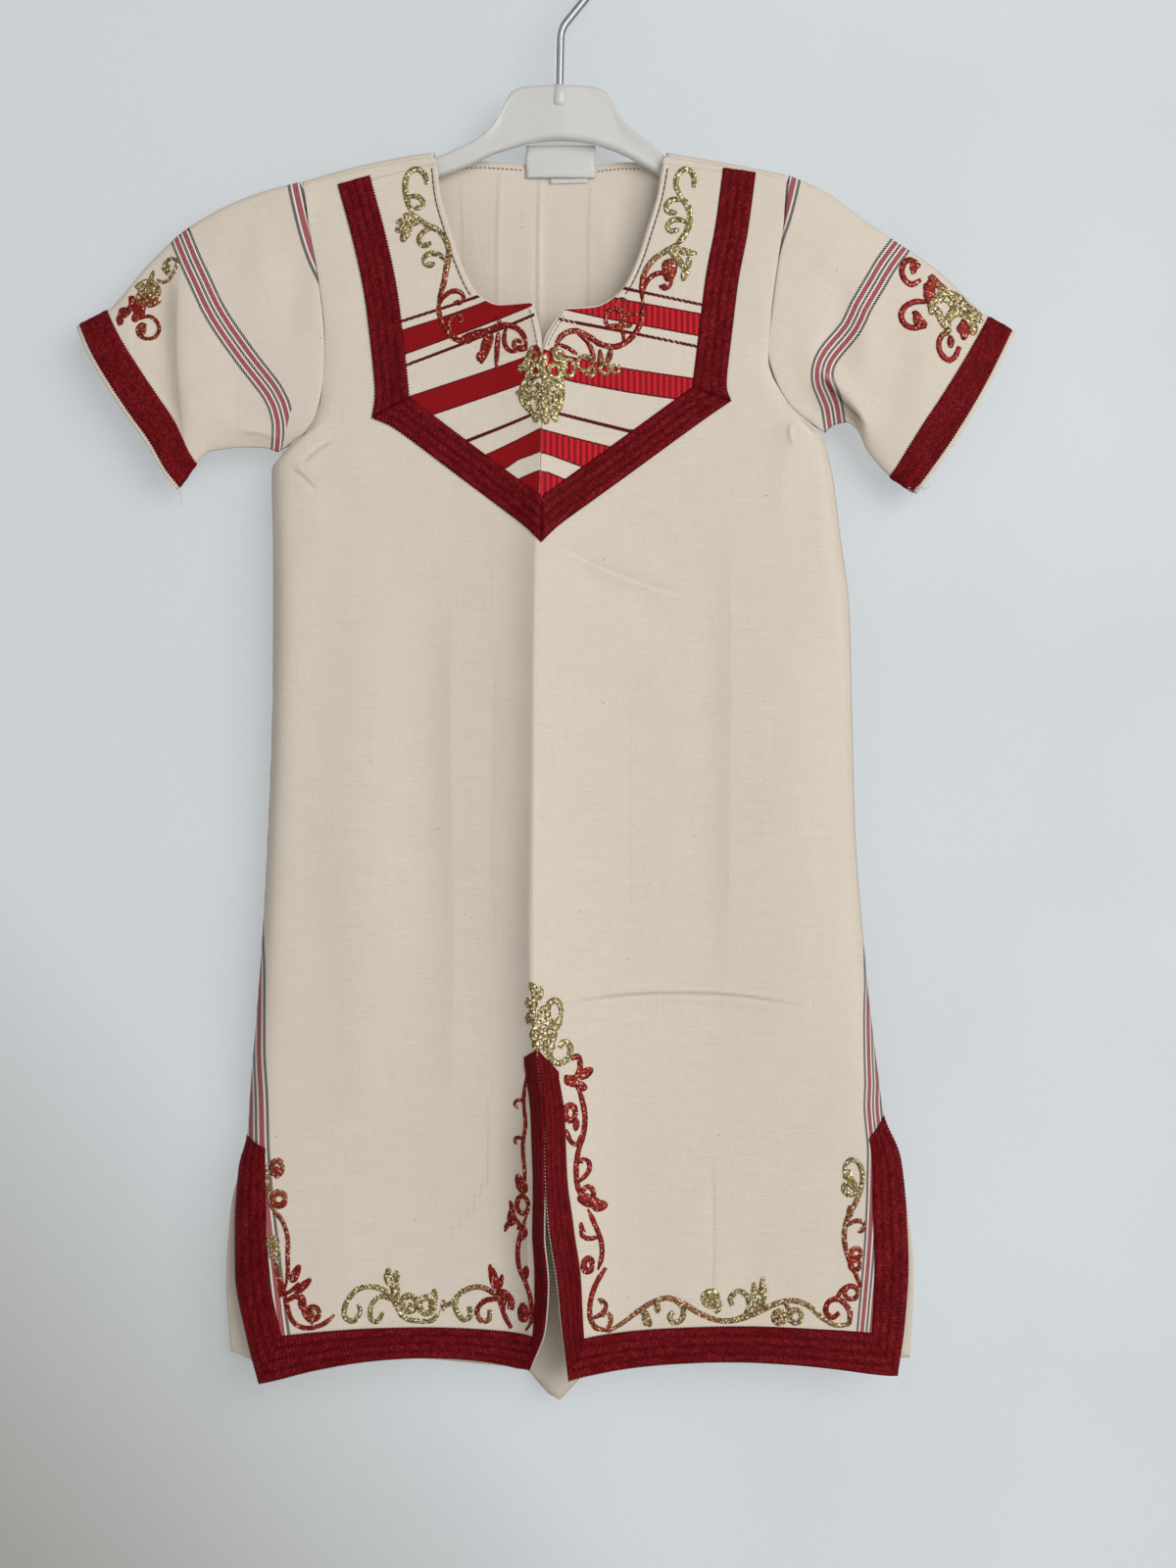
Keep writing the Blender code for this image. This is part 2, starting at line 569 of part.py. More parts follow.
def lay_loops(sheet, loops, flip):
    for first, second in zip(loops, loops[1:]):
        count = len(first)
        for i in range(count):
            j = (i + 1) % count
            quad = (first[i], second[i], second[j], first[j])
            sheet.face(*(reversed(quad) if flip else quad))


def build_sleeve(side, collection, material):
    sheet = Sheet()
    lay_loops(sheet, sleeve_loops(side), flip=(side == "left"))
    item = new_object("sleeve_" + side, sheet.bm, collection, material)
    thicken(item, WALL)
    return item


def build_cuff_braid(side, collection, material):
    """The braid round the cuff, from the sleeve's own points moved out."""
    loops = sleeve_loops(side)
    count = len(loops[0])
    moved = []
    for number in range(len(loops) - 3, len(loops)):
        before = loops[number - 1]
        after = loops[min(number + 1, len(loops) - 1)]
        line = []
        for i in range(count):
            along_sleeve = after[i] - before[i]
            round_sleeve = loops[number][(i + 1) % count] - loops[number][i - 1]
            normal = along_sleeve.cross(round_sleeve).normalized()
            if side == "left":
                normal = -normal
            middle = sum(loops[number], Vector()) / count
            if normal.dot(loops[number][i] - middle) < 0:
                normal = -normal
            line.append(loops[number][i] + normal * GAP)
        moved.append(line)
    sheet = Sheet()
    lay_loops(sheet, moved, flip=(side == "left"))
    item = new_object("cuff_braid_" + side, sheet.bm, collection, material)
    thicken(item, TRIM_WALL, offset=1.0)
    return item


# ------------------------------------------------------------- bib and trim
def build_bib(side, collection, material):
    table = BIB_LEFT if side == "left" else BIB_RIGHT
    rows = []
    for values in table:
        row = named(BIB_COLUMNS, values)
        line = []
        for i in range(BIB_ACROSS + 1):
            t = i / BIB_ACROSS
            x = lerp(row["x_in"], row["x_out"], t)
            z = lerp(row["z_in"], row["z_out"], t)
            line.append(front_at(x, z) + front_normal(x, z) * GAP)
        rows.append(line)
    sheet = Sheet()
    sheet.grid(rows, flip=(side == "left"))
    item = new_object("bib_" + side, sheet.bm, collection, material)
    thicken(item, WALL, offset=1.0)
    return item


def ribbon(path, width, across=4, longest=13.0):
    """Stations of a flat strip along a path in the front view, mitred."""
    points = [Vector((x, 0.0, z)) for x, z in path]
    places = []
    for i, point in enumerate(points):
        before = (point - points[i - 1]).normalized() if i else None
        after = (points[i + 1] - point).normalized() if i < len(points) - 1 else None
        first, second = before or after, after or before
        tangent = (first + second).normalized()
        sideways = Vector((-tangent.z, 0.0, tangent.x))
        stretch = 1.0 / max(tangent.dot(second), 0.3)
        places.append((point, sideways * stretch))
    stations = []
    for (p0, n0), (p1, n1) in zip(places, places[1:]):
        steps = max(1, math.ceil((p1 - p0).length / longest))
        for i in range(steps):
            t = i / steps
            stations.append((p0.lerp(p1, t), n0.lerp(n1, t) if i else n0))
    stations.append(places[-1])
    return [[point + normal * width * (k / across - 0.5) for k in range(across + 1)]
            for point, normal in stations]


def build_bib_braid(collection, material):
    rise = GAP + WALL + 1.5 * GAP
    rows = []
    for line in ribbon(BIB_BRAID, BRAID_WIDTH):
        rows.append([front_at(p.x, p.z) + front_normal(p.x, p.z) * rise for p in line])
    sheet = Sheet()
    sheet.grid(rows)
    item = new_object("bib_braid", sheet.bm, collection, material)
    thicken(item, TRIM_WALL, offset=1.0)
    return item


def build_hem_braid(side, collection, material):
    """One length round a half of the hem: side slit, hem and middle slit."""
    rows = front_grid(side)
    normals = grid_normals(rows, Vector((0.0, -1.0, 0.0)))
    moved = [[p + n * GAP for p, n in zip(line, directions)]
             for line, directions in zip(rows, normals)]
    last = len(rows[0]) - 1
    sheet = Sheet()
    for r in range(len(rows) - 1):
        for c in range(last):
            middle_slit = c < BAND_COLUMNS and r >= ROW["slit_point"]
            side_slit = c >= last - BAND_COLUMNS and r >= ROW["side_slit_top"]
            hem = r >= ROW["hem_band"]
            if middle_slit or side_slit or hem:
                quad = (moved[r][c], moved[r + 1][c], moved[r + 1][c + 1], moved[r][c + 1])
                sheet.face(*(reversed(quad) if side == "left" else quad))
    item = new_object("hem_braid_" + side, sheet.bm, collection, material)
    thicken(item, TRIM_WALL, offset=1.0)
    return item


def build_label(collection, material):
    sheet = Sheet()
    steps = 4
    rows = []
    for z in (LABEL["z_high"], 0.5 * (LABEL["z_high"] + LABEL["z_low"]), LABEL["z_low"]):
        line = []
        for i in range(steps + 1):
            t = i / steps
            bow = 0.7 * math.sin(math.pi * t)
            line.append(Vector((lerp(LABEL["x_low"], LABEL["x_high"], t),
                                LABEL["y"] - bow, z)))
        rows.append(line)
    sheet.grid(rows)
    item = new_object("neck_label", sheet.bm, collection, material)
    thicken(item, LABEL["wall"])
    return item


# ------------------------------------------------------------------- hanger
def build_hanger(collection, cutters, material):
    bm = bmesh.new()
    rings = []
    for values in HANGER:
        row = named(HANGER_COLUMNS, values)
        round_off = min(row["half"] * 2.0 * CORNER, 0.4 * (row["top"] - row["low"]))
        half, top, low = row["half"], row["top"], row["low"]
        outline = ((-half, low + round_off), (-half, top - round_off),
                   (-half + round_off, top), (half - round_off, top),
                   (half, top - round_off), (half, low + round_off),
                   (half - round_off, low), (-half + round_off, low))
        rings.append([bm.verts.new((row["x"], y, z)) for y, z in outline])
    for first, second in zip(rings, rings[1:]):
        for i in range(len(first)):
            j = (i + 1) % len(first)
            bm.faces.new((first[i], first[j], second[j], second[i]))
    bm.faces.new(rings[0])
    bm.faces.new(list(reversed(rings[-1])))
    bmesh.ops.recalc_face_normals(bm, faces=bm.faces)
    item = new_object("hanger_body", bm, collection, material)

    cutter_bm = bmesh.new()
    depth = abs(SOCKET_DEPTH_Z) - 74.0
    bmesh.ops.create_cone(cutter_bm, cap_ends=True, segments=20,
                          radius1=SOCKET_RADIUS, radius2=SOCKET_RADIUS, depth=depth)
    for vertex in cutter_bm.verts:
        vertex.co += Vector((SOCKET_X, 0.0, SOCKET_DEPTH_Z + depth / 2.0))
    cutter = new_object("hook_socket", cutter_bm, cutters, material)
    cutter.hide_render = True
    cutter.display_type = "WIRE"
    cut = item.modifiers.new("socket", "BOOLEAN")
    cut.operation = "DIFFERENCE"
    cut.object = cutter
    return item


def hook_path():
    """Points up the stem, along the lean and round the bend to its end."""
    foot = Vector((0.3, 0.0, HOOK_FOOT_Z))
    kink = Vector((1.0, 0.0, HOOK_KINK_Z))
    centre = Vector((0.0, 0.0, HOOK_CENTRE_Z))
    to_centre = centre - kink
    lean = math.asin(HOOK_RADIUS / to_centre.length)
    heading = math.atan2(to_centre.x, to_centre.z) + lean
    reach = math.sqrt(to_centre.length ** 2 - HOOK_RADIUS ** 2)
    touch = kink + Vector((math.sin(heading), 0.0, math.cos(heading))) * reach
    points = [foot, foot.lerp(kink, 0.5)]
    bend = 5.0
    down = (foot - kink).normalized()
    up = (touch - kink).normalized()
    for i in range(5):
        t = i / 4.0
        a, b = kink + down * bend * (1 - t), kink + up * bend * t
        points.append(a.lerp(b, t))
    points.append(kink.lerp(touch, 0.6))
    start = math.atan2(touch.z - centre.z, touch.x - centre.x)
    sweep = math.radians(186.0) - start
    steps = 22
    for i in range(steps + 1):
        angle = start + sweep * i / steps
        points.append(centre + Vector((math.cos(angle), 0.0, math.sin(angle))) * HOOK_RADIUS)
    return points


def build_hook(collection, material):
    curve = bpy.data.curves.new("hook", "CURVE")
    curve.dimensions = "3D"
    curve.bevel_depth = WIRE_RADIUS * MM
    curve.bevel_resolution = 2
    curve.use_fill_caps = True
    points = hook_path()
    spline = curve.splines.new("POLY")
    spline.points.add(len(points) - 1)
    for place, point in zip(spline.points, points):
        place.co = (point.x * MM, point.y * MM, point.z * MM, 1.0)
    curve.materials.append(material)
    item = bpy.data.objects.new("hook", curve)
    collection.objects.link(item)
    return item


# --------------------------------------------------------------------- main
def main():
    for item in list(bpy.data.objects):
        bpy.data.objects.remove(item, do_unlink=True)
    collection = bpy.data.collections.new("tunic_dress_on_hanger")
    cutters = bpy.data.collections.new("cutters")
    for group in (collection, cutters):
        bpy.context.scene.collection.children.link(group)

    cotton = new_material("cream_cotton", (0.61, 0.53, 0.43), 0.92)
    bib_cloth = new_material("striped_bib_cloth", (0.56, 0.30, 0.25), 0.75)
    braid = new_material("dark_red_braid", (0.12, 0.008, 0.012), 0.6)
    label = new_material("bare_label", (0.72, 0.72, 0.70), 0.8)
    plastic = new_material("milky_plastic", (0.62, 0.63, 0.61), 0.35)
    steel = new_material("bright_wire", (0.55, 0.56, 0.57), 0.25, 1.0)

    build_front(collection, cotton)
    build_back(collection, cotton)
    for side in ("left", "right"):
        build_sleeve(side, collection, cotton)
        build_bib(side, collection, bib_cloth)
        build_cuff_braid(side, collection, braid)
        build_hem_braid(side, collection, braid)
    build_bib_braid(collection, braid)
    build_label(collection, label)
    build_hanger(collection, cutters, plastic)
    build_hook(collection, steel)


main()
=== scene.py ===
import math

import bpy
import numpy as np
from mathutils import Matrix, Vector
from mathutils.bvhtree import BVHTree


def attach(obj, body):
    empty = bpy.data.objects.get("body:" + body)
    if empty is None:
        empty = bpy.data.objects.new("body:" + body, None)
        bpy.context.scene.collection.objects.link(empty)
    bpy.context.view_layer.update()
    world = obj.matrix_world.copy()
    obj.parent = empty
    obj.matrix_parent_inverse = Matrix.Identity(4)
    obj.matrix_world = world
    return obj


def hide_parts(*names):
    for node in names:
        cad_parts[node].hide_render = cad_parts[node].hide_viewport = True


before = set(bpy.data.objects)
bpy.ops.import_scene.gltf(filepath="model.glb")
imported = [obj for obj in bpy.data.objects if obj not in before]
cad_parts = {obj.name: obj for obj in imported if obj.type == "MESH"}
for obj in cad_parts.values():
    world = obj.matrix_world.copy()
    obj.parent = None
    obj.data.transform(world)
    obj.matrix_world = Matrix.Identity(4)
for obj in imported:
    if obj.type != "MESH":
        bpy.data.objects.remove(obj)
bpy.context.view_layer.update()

MM = 0.001
ROOT = "root"

# ------------------------------------------------------- sizes from the CAD
FRONT_COLUMNS = ("name", "x_in", "z_in", "x_out", "z_out", "fall",
                 "band_in", "band_out", "drop_in", "drop_out", "arch")
FRONT_LEFT = (
    ("shoulder",      -63.0, -120.0, -130.1, -134.9, 20, 8.0, 14.0,  0.0, 0.0, 0.0),
    ("collarbone",    -59.9, -136.9, -126.4, -154.3, 20, 8.0, 14.0,  0.0, 0.0, 0.0),
    ("armhole_upper", -54.8, -154.7, -121.3, -181.8, 20, 8.0, 14.0,  0.0, 0.0, 0.0),
    ("armhole_mid",   -49.3, -171.9, -118.3, -210.5, 20, 8.0, 14.0,  0.0, 0.0, 0.0),
    ("armhole_low",   -40.3, -188.6, -119.9, -237.6, 20, 8.0, 14.0,  0.0, 0.0, 0.0),
    ("armhole_curve", -28.4, -194.1, -127.2, -256.0, 20, 8.0, 14.0,  0.0, 0.0, 0.0),
    ("underarm",      -12.5, -193.7, -141.1, -268.4, 20, 8.0, 14.0,  0.0, 0.0, 0.0),
    ("neck_slit_end",  -8.0, -218.8, -146.2, -277.3, 20, 8.0, 14.0,  0.0, 0.0, 0.0),
    ("chest",          -8.1, -261.6, -145.7, -316.2, 18, 8.0, 14.0,  0.0, 0.0, 0.0),
    ("bib_point",     -10.5, -312.3, -145.2, -356.1, 16, 8.0, 14.0,  0.0, 0.0, 0.0),
    ("waist",         -12.0, -382.0, -146.2, -411.0, 13, 8.0, 14.0,  0.0, 0.0, 0.0),
    ("hip",           -12.5, -445.8, -148.2, -461.0, 12, 8.0, 14.0,  0.0, 0.0, 0.0),
    ("thigh",         -13.4, -504.5, -150.7, -508.4, 11, 8.0, 14.0,  0.0, 0.0, 0.0),
    ("stripe_in",     -12.8, -545.9, -153.7, -550.8, 10, 8.0, 14.0,  0.0, 0.0, 0.0),
    ("slit_point",    -10.3, -570.1, -156.7, -585.8,  9, 6.5, 13.0,  4.0, 0.0, 0.0),
    ("side_slit_top",  -9.2, -601.4, -158.7, -614.7,  8, 6.4, 11.0,  0.0, 6.5, 0.0),
    ("slit_open",      -8.6, -633.2, -162.5, -631.4,  8, 5.6, 14.5,  0.0, 0.0, 0.0),
    ("slit_upper",     -6.8, -661.4, -164.1, -659.9,  8, 5.8, 17.0,  0.0, 0.0, 0.0),
    ("slit_lower",     -4.9, -684.1, -163.8, -684.4,  8, 6.6, 18.0,  0.0, 0.0, 3.0),
    ("hem_band",       -6.3, -706.0, -157.9, -716.0,  8, 6.0, 18.5,  7.0, 1.5, 5.0),
    ("hem",           -14.1, -729.4, -151.7, -739.6,  8, 6.8, 15.0,  1.5, 0.5, 9.5),
)
FRONT_RIGHT = (
    ("shoulder",       54.2, -120.0,  115.9, -131.9, 40, 12.0, 14.0,  0.0, 0.0, 0.0),
    ("collarbone",     50.2, -136.9,  114.2, -150.8, 40, 12.0, 14.0,  0.0, 0.0, 0.0),
    ("armhole_upper",  44.7, -155.2,  111.1, -171.4, 40, 12.0, 14.0,  0.0, 0.0, 0.0),
    ("armhole_mid",    39.2, -171.9,  107.7, -197.7, 40, 12.0, 14.0,  0.0, 0.0, 0.0),
    ("armhole_low",    31.3, -187.1,  106.3, -220.2, 40, 12.0, 14.0,  0.0, 0.0, 0.0),
    ("armhole_curve",  18.5, -195.3,  116.9, -243.1, 40, 12.0, 14.0,  0.0, 0.0, 0.0),
    ("underarm",        2.1, -196.9,  133.7, -258.4, 40, 12.0, 14.0,  0.0, 0.0, 0.0),
    ("neck_slit_end",  -8.0, -218.8,  139.3, -277.3, 40, 12.0, 14.0,  0.0, 0.0, 0.0),
    ("chest",          -8.1, -261.6,  143.8, -311.2, 36, 12.0, 14.0,  0.0, 0.0, 0.0),
    ("bib_point",     -10.5, -312.3,  148.3, -348.6, 32, 12.0, 14.0,  0.0, 0.0, 0.0),
    ("waist",         -12.0, -382.0,  149.8, -406.0, 30, 12.0, 14.0,  0.0, 0.0, 0.0),
    ("hip",           -12.5, -445.8,  151.3, -461.0, 28, 12.0, 14.0,  0.0, 0.0, 0.0),
    ("thigh",         -13.4, -504.5,  154.8, -508.4, 26, 12.0, 14.0,  0.0, 0.0, 0.0),
    ("stripe_in",     -12.8, -545.9,  158.8, -550.8, 24, 12.0, 14.0,  0.0, 0.0, 0.0),
    ("slit_point",    -10.3, -570.1,  162.8, -583.3, 21, 10.6, 13.0, 11.0, 0.0, 0.0),
    ("side_slit_top",  -6.7, -601.4,  165.8, -604.7, 19, 10.0, 9.0,  0.0, 11.0, 0.0),
    ("slit_open",      -6.1, -633.2,  174.0, -626.4, 18, 10.6, 15.5,  0.0, 3.0, 0.0),
    ("slit_upper",     -4.2, -656.6,  176.7, -654.9, 18, 11.8, 18.0,  0.0, 0.0, 0.0),
    ("slit_lower",     -0.5, -680.7,  177.4, -679.4, 18, 11.6, 18.0,  0.0, 0.0, 2.0),
    ("hem_band",        2.0, -706.0,  175.5, -708.5, 18, 11.0, 17.5,  8.0, 6.0, 4.8),
    ("hem",             5.3, -733.6,  171.7, -735.4, 18, 13.0, 17.0,  0.5, 0.5, 7.4),
)
FORM_COLUMNS = ("name", "y_out", "plane", "crease", "crease_x")
FRONT_FORM = (
    ("shoulder",      -6.2,  -6.2,  0.0,  -9.0),
    ("collarbone",    -8.0,  -7.5,  0.5,  -9.0),
    ("armhole_upper", -9.0,  -8.5,  1.5,  -9.0),
    ("armhole_mid",   -9.0,  -9.0,  3.0,  -9.0),
    ("armhole_low",   -8.0,  -9.5,  5.0,  -9.0),
    ("armhole_curve", -5.5, -10.0,  6.0,  -9.0),
    ("underarm",      -1.4, -10.0,  7.0,  -8.5),
    ("neck_slit_end", -0.5, -10.0,  7.0,  -8.0),
    ("chest",         -0.5, -10.0,  7.5,  -8.1),
    ("bib_point",     -0.5, -10.0,  8.0, -10.5),
    ("waist",         -0.5, -10.0,  8.5, -12.0),
    ("hip",           -0.5, -10.0,  9.5, -12.5),
    ("thigh",         -0.5, -10.5, 11.0, -13.4),
    ("stripe_in",     -0.5, -10.5, 12.5, -12.8),
    ("slit_point",    -0.5, -11.0, 14.0, -10.3),
    ("side_slit_top", -0.8, -11.0, 16.0,  -8.0),
    ("slit_open",     -3.0, -11.0, 17.5,  -7.4),
    ("slit_upper",    -5.0, -11.5, 19.0,  -5.5),
    ("slit_lower",    -6.5, -11.5, 19.5,  -2.7),
    ("hem_band",      -7.5, -12.0, 20.0,  -2.5),
    ("hem",           -8.0, -12.0, 19.0,  -5.0),
)
ROW = {row[0]: number for number, row in enumerate(FRONT_LEFT)}
EDGE_ROUND = 4.6

BACK_COLUMNS = ("name", "x_left", "z_left", "x_right", "z_right",
                "y_edge", "plane", "crease")
BACK = (
    ("shoulder",      -130.1, -132.5,  115.9, -129.5,  6.3,  6.3, 0.0),
    ("collarbone",    -126.4, -154.3,  114.2, -150.8,  6.8,  6.8, 0.0),
    ("armhole_upper", -121.3, -181.8,  111.1, -171.4,  7.0,  7.0, 0.5),
    ("armhole_mid",   -118.3, -210.5,  107.7, -197.7,  7.0,  7.0, 1.0),
    ("armhole_low",   -119.9, -237.6,  106.3, -220.2,  6.0,  7.0, 1.5),
    ("armhole_curve", -127.2, -256.0,  116.9, -243.1,  4.0,  7.0, 2.0),
    ("underarm",      -141.1, -268.4,  133.7, -258.4,  1.4,  7.0, 2.0),
    ("side_top",      -146.2, -277.3,  139.3, -277.3,  0.5,  7.0, 2.0),
    ("chest",         -145.7, -316.2,  143.8, -311.2,  0.5,  7.0, 2.5),
    ("waist",         -146.2, -411.0,  149.8, -406.0,  0.5,  7.0, 3.0),
    ("hip",           -148.2, -461.0,  151.3, -461.0,  0.5,  7.0, 3.0),
    ("stripe_in",     -153.7, -550.8,  158.8, -550.8,  0.5,  7.0, 3.5),
    ("slit_top",      -158.7, -614.7,  165.8, -604.7,  0.8,  7.0, 4.0),
    ("slit_upper",    -168.5, -655.0,  178.5, -650.0,  6.0,  7.5, 4.0),
    ("slit_lower",    -171.0, -692.0,  182.5, -690.0,  8.0,  8.0, 4.0),
    ("hem",           -168.6, -727.6,  180.5, -731.1,  9.0,  8.0, 4.0),
)
BACK_HEM = (
    (-168.6, -727.6), (-136.0, -738.5), (-86.0, -731.0), (-35.0, -735.0),
    (-16.0, -737.5), (-10.5, -743.3), (-4.5, -748.8), (0.0, -751.2), (4.0, -748.2),
    (9.5, -742.5), (22.0, -735.5), (65.0, -730.5),
    (116.0, -729.5), (180.5, -731.1))
BACK_NECK = (
    (-63.2, -117.4), (-38.4, -116.4), (-18.8, -117.7), (0.4, -119.0),
    (18.0, -118.5), (32.6, -117.0), (54.9, -117.4))
BACK_CREASE_X, BACK_FALL = -1.0, 30.0
TOP_LEFT = (
    (-131.0, -129.5), (-116.0, -125.0), (-101.0, -121.0), (-76.5, -116.0),
    (-63.5, -114.3))
TOP_RIGHT = (
    (54.5, -114.3), (64.0, -116.0), (92.5, -121.0), (117.0, -126.0))

SLEEVE_COLUMNS = ("s", "top_x", "top_z", "low_x", "low_z")
SLEEVE_LEFT = (
    (0.00, -131.6, -129.6, -143.2, -266.8),
    (0.16, -150.0, -134.0, -150.0, -264.6),
    (0.32, -170.0, -141.6, -161.0, -264.4),
    (0.48, -190.5, -153.4, -172.0, -265.4),
    (0.64, -208.0, -169.6, -178.5, -266.8),
    (0.84, -229.5, -194.0, -184.5, -272.0),
    (0.92, -238.0, -198.6, -189.5, -279.0),
    (1.00, -246.0, -202.5, -194.5, -286.0),
)
SLEEVE_RIGHT = (
    (0.00, 117.4, -126.2, 135.8, -256.8),
    (0.16, 136.5, -134.6, 140.5, -253.0),
    (0.32, 153.5, -146.8, 147.0, -251.6),
    (0.48, 171.0, -158.6, 152.0, -255.0),
    (0.64, 191.0, -172.2, 157.5, -266.0),
    (0.84, 218.5, -197.5, 168.5, -278.6),
    (0.92, 226.0, -201.6, 175.5, -283.4),
    (1.00, 232.5, -205.5, 182.5, -288.2),
)
CUFF_LEFT = (
    (-194.5, -286.0), (-201.5, -277.0), (-209.5, -263.0), (-219.0, -249.9),
    (-228.0, -236.5), (-238.5, -219.0), (-246.0, -202.5))
CUFF_RIGHT = (
    (182.5, -288.2), (188.6, -280.5), (203.1, -260.0), (217.8, -235.0),
    (232.5, -205.5))
CUFF_DEPTH = 5.6
ARMHOLE_NAMES = ("armhole_curve", "armhole_low", "armhole_mid", "armhole_upper",
                 "collarbone")

BIB_COLUMNS = ("x_out", "z_out", "x_in", "z_in")
BIB_LEFT = (
    (-102.6, -131.6, -61.9, -121.5),
    (-96.0, -157.0, -60.0, -138.0),
    (-91.0, -181.0, -55.0, -156.0),
    (-87.4, -207.0, -49.6, -172.6),
    (-85.0, -228.0, -40.6, -189.4),
    (-82.0, -244.0, -28.5, -195.0),
    (-69.0, -254.5, -13.0, -194.6),
    (-55.0, -265.0, -8.5, -219.8),
    (-38.0, -277.2, -8.3, -246.0),
    (-25.0, -286.0, -8.8, -268.0),
    (-14.0, -297.0, -9.6, -294.0),
)
BIB_RIGHT = (
    (91.8, -127.4, 53.2, -121.5),
    (87.6, -154.5, 50.3, -138.0),
    (83.2, -178.0, 44.9, -156.5),
    (79.8, -204.0, 39.5, -172.6),
    (77.0, -227.0, 31.5, -187.8),
    (73.6, -241.0, 18.6, -196.2),
    (59.0, -252.0, 2.7, -197.8),
    (44.0, -263.2, -7.5, -219.8),
    (27.0, -275.6, -7.9, -246.0),
    (11.0, -286.8, -8.4, -268.0),
    (-4.0, -297.0, -9.2, -294.0),
)
BIB_BRAID = (
    (-103.6, -130.1), (-95.8, -159.0), (-90.3, -184.0), (-87.0, -208.0),
    (-84.8, -228.0), (-83.2, -245.0), (-8.4, -302.0), (75.0, -240.6),
    (76.6, -230.0), (79.6, -205.7), (83.0, -179.1), (87.5, -155.7),
    (91.7, -125.2))
BRAID_WIDTH = 16.8

HANGER_COLUMNS = ("x", "top", "low", "half")
HANGER = (
    (-146.0, -138.5, -142.5, 1.6), (-142.0, -135.3, -145.5, 2.8),
    (-131.0, -132.2, -143.5, 3.1), (-101.0, -123.8, -135.0, 3.1),
    (-76.0, -118.7, -130.5, 3.1), (-64.0, -117.1, -127.2, 3.1),
    (-58.0, -115.0, -125.2, 3.1), (-52.0, -112.0, -122.8, 3.1),
    (-45.0, -108.8, -120.0, 3.1), (-38.0, -104.0, -116.8, 3.1),
    (-31.5, -96.5, -114.0, 3.1), (-27.0, -87.5, -112.6, 3.2),
    (-23.0, -82.2, -111.3, 3.3), (-17.0, -80.6, -109.6, 3.4),
    (-7.0, -79.9, -107.9, 3.8), (0.0, -79.7, -107.5, 4.0),
    (7.0, -79.9, -107.9, 3.8), (18.0, -80.7, -109.6, 3.4),
    (24.0, -83.2, -111.6, 3.3), (27.5, -88.5, -112.9, 3.2),
    (32.0, -97.0, -114.8, 3.1), (39.0, -103.5, -118.3, 3.1),
    (45.0, -108.3, -121.8, 3.1), (50.5, -113.0, -125.2, 3.1),
    (55.0, -117.0, -127.4, 3.1), (64.0, -118.8, -130.2, 3.1),
    (92.0, -123.8, -136.0, 3.1), (116.0, -128.6, -141.5, 3.1),
    (131.0, -135.0, -148.0, 3.1), (142.0, -143.3, -152.5, 2.8),
    (146.0, -146.6, -150.4, 1.6),
)
WIRE_RADIUS, HOOK_RADIUS = 2.0, 21.0
HOOK_CENTRE_Z, HOOK_KINK_Z, HOOK_FOOT_Z = -(HOOK_RADIUS - WIRE_RADIUS), -51.0, -87.0
LABEL = {"x_low": -17.0, "x_high": 18.5, "z_low": -125.4, "z_high": -108.9, "y": 4.6}


# -------------------------------------------------------------- small tools
def at(px, py, y=-10.0):
    """x and z of a place in the photograph's 1200 x 1600 frame, at depth y."""
    k = 0.5 * (1.0 + y / 1000.0)
    return 15.0 + (px - 600.0) * k, -436.0 - (py - 800.0) * k


def curve_through(values, places):
    """Monotone cubic through values that stand at 0, 1, 2 and so on."""
    v = np.asarray(values, float)
    d = np.diff(v)
    m = np.zeros_like(v)
    same = d[:-1] * d[1:] > 0
    inner = np.zeros(len(v) - 2)
    inner[same] = 2.0 * d[:-1][same] * d[1:][same] / (d[:-1][same] + d[1:][same])
    m[1:-1] = inner
    m[0], m[-1] = d[0], d[-1]
    t = np.clip(np.asarray(places, float), 0, len(v) - 1)
    i = np.minimum(t.astype(int), len(v) - 2)
    f = t - i
    return ((1 + 2 * f) * (1 - f) ** 2 * v[i] + f * (1 - f) ** 2 * m[i]
            + f * f * (3 - 2 * f) * v[i + 1] + f * f * (f - 1) * m[i + 1])


def curve_with_corner(values, places, corner):
    """As curve_through, with a sharp corner at one of the values."""
    places = np.asarray(places, float)
    return np.where(places <= corner,
                    curve_through(values[:corner + 1], np.minimum(places, corner)),
                    curve_through(values[corner:], np.maximum(places - corner, 0)))


def spline(points, step, closed=False):
    """A Catmull-Rom line through points, with a point about every step."""
    p = np.asarray(points, float)
    out = []
    count = len(p)
    for i in range(count if closed else count - 1):
        a, b = p[i], p[(i + 1) % count]
        before = p[i - 1] if (i or closed) else 2 * a - b
        after = p[(i + 2) % count] if (i < count - 2 or closed) else 2 * b - a
        n = max(1, int(math.ceil(np.linalg.norm(b - a) / step)))
        for k in range(n):
            t = k / n
            out.append(0.5 * ((2 * a) + (b - before) * t
                              + (2 * before - 5 * a + 4 * b - after) * t * t
                              + (3 * a - before - 3 * b + after) * t ** 3))
    if not closed:
        out.append(p[-1])
    return np.array(out)


def resample(points, places):
    """Points at parts 0 to 1 of a line's length."""
    p = np.asarray(points, float)
    reach = np.concatenate([[0], np.cumsum(np.linalg.norm(np.diff(p, axis=0), axis=1))])
    target = np.asarray(places) * reach[-1]
    return np.stack([np.interp(target, reach, p[:, k]) for k in range(p.shape[1])], -1)


def line_length(points):
    return float(np.linalg.norm(np.diff(np.asarray(points, float), axis=0), axis=1).sum())


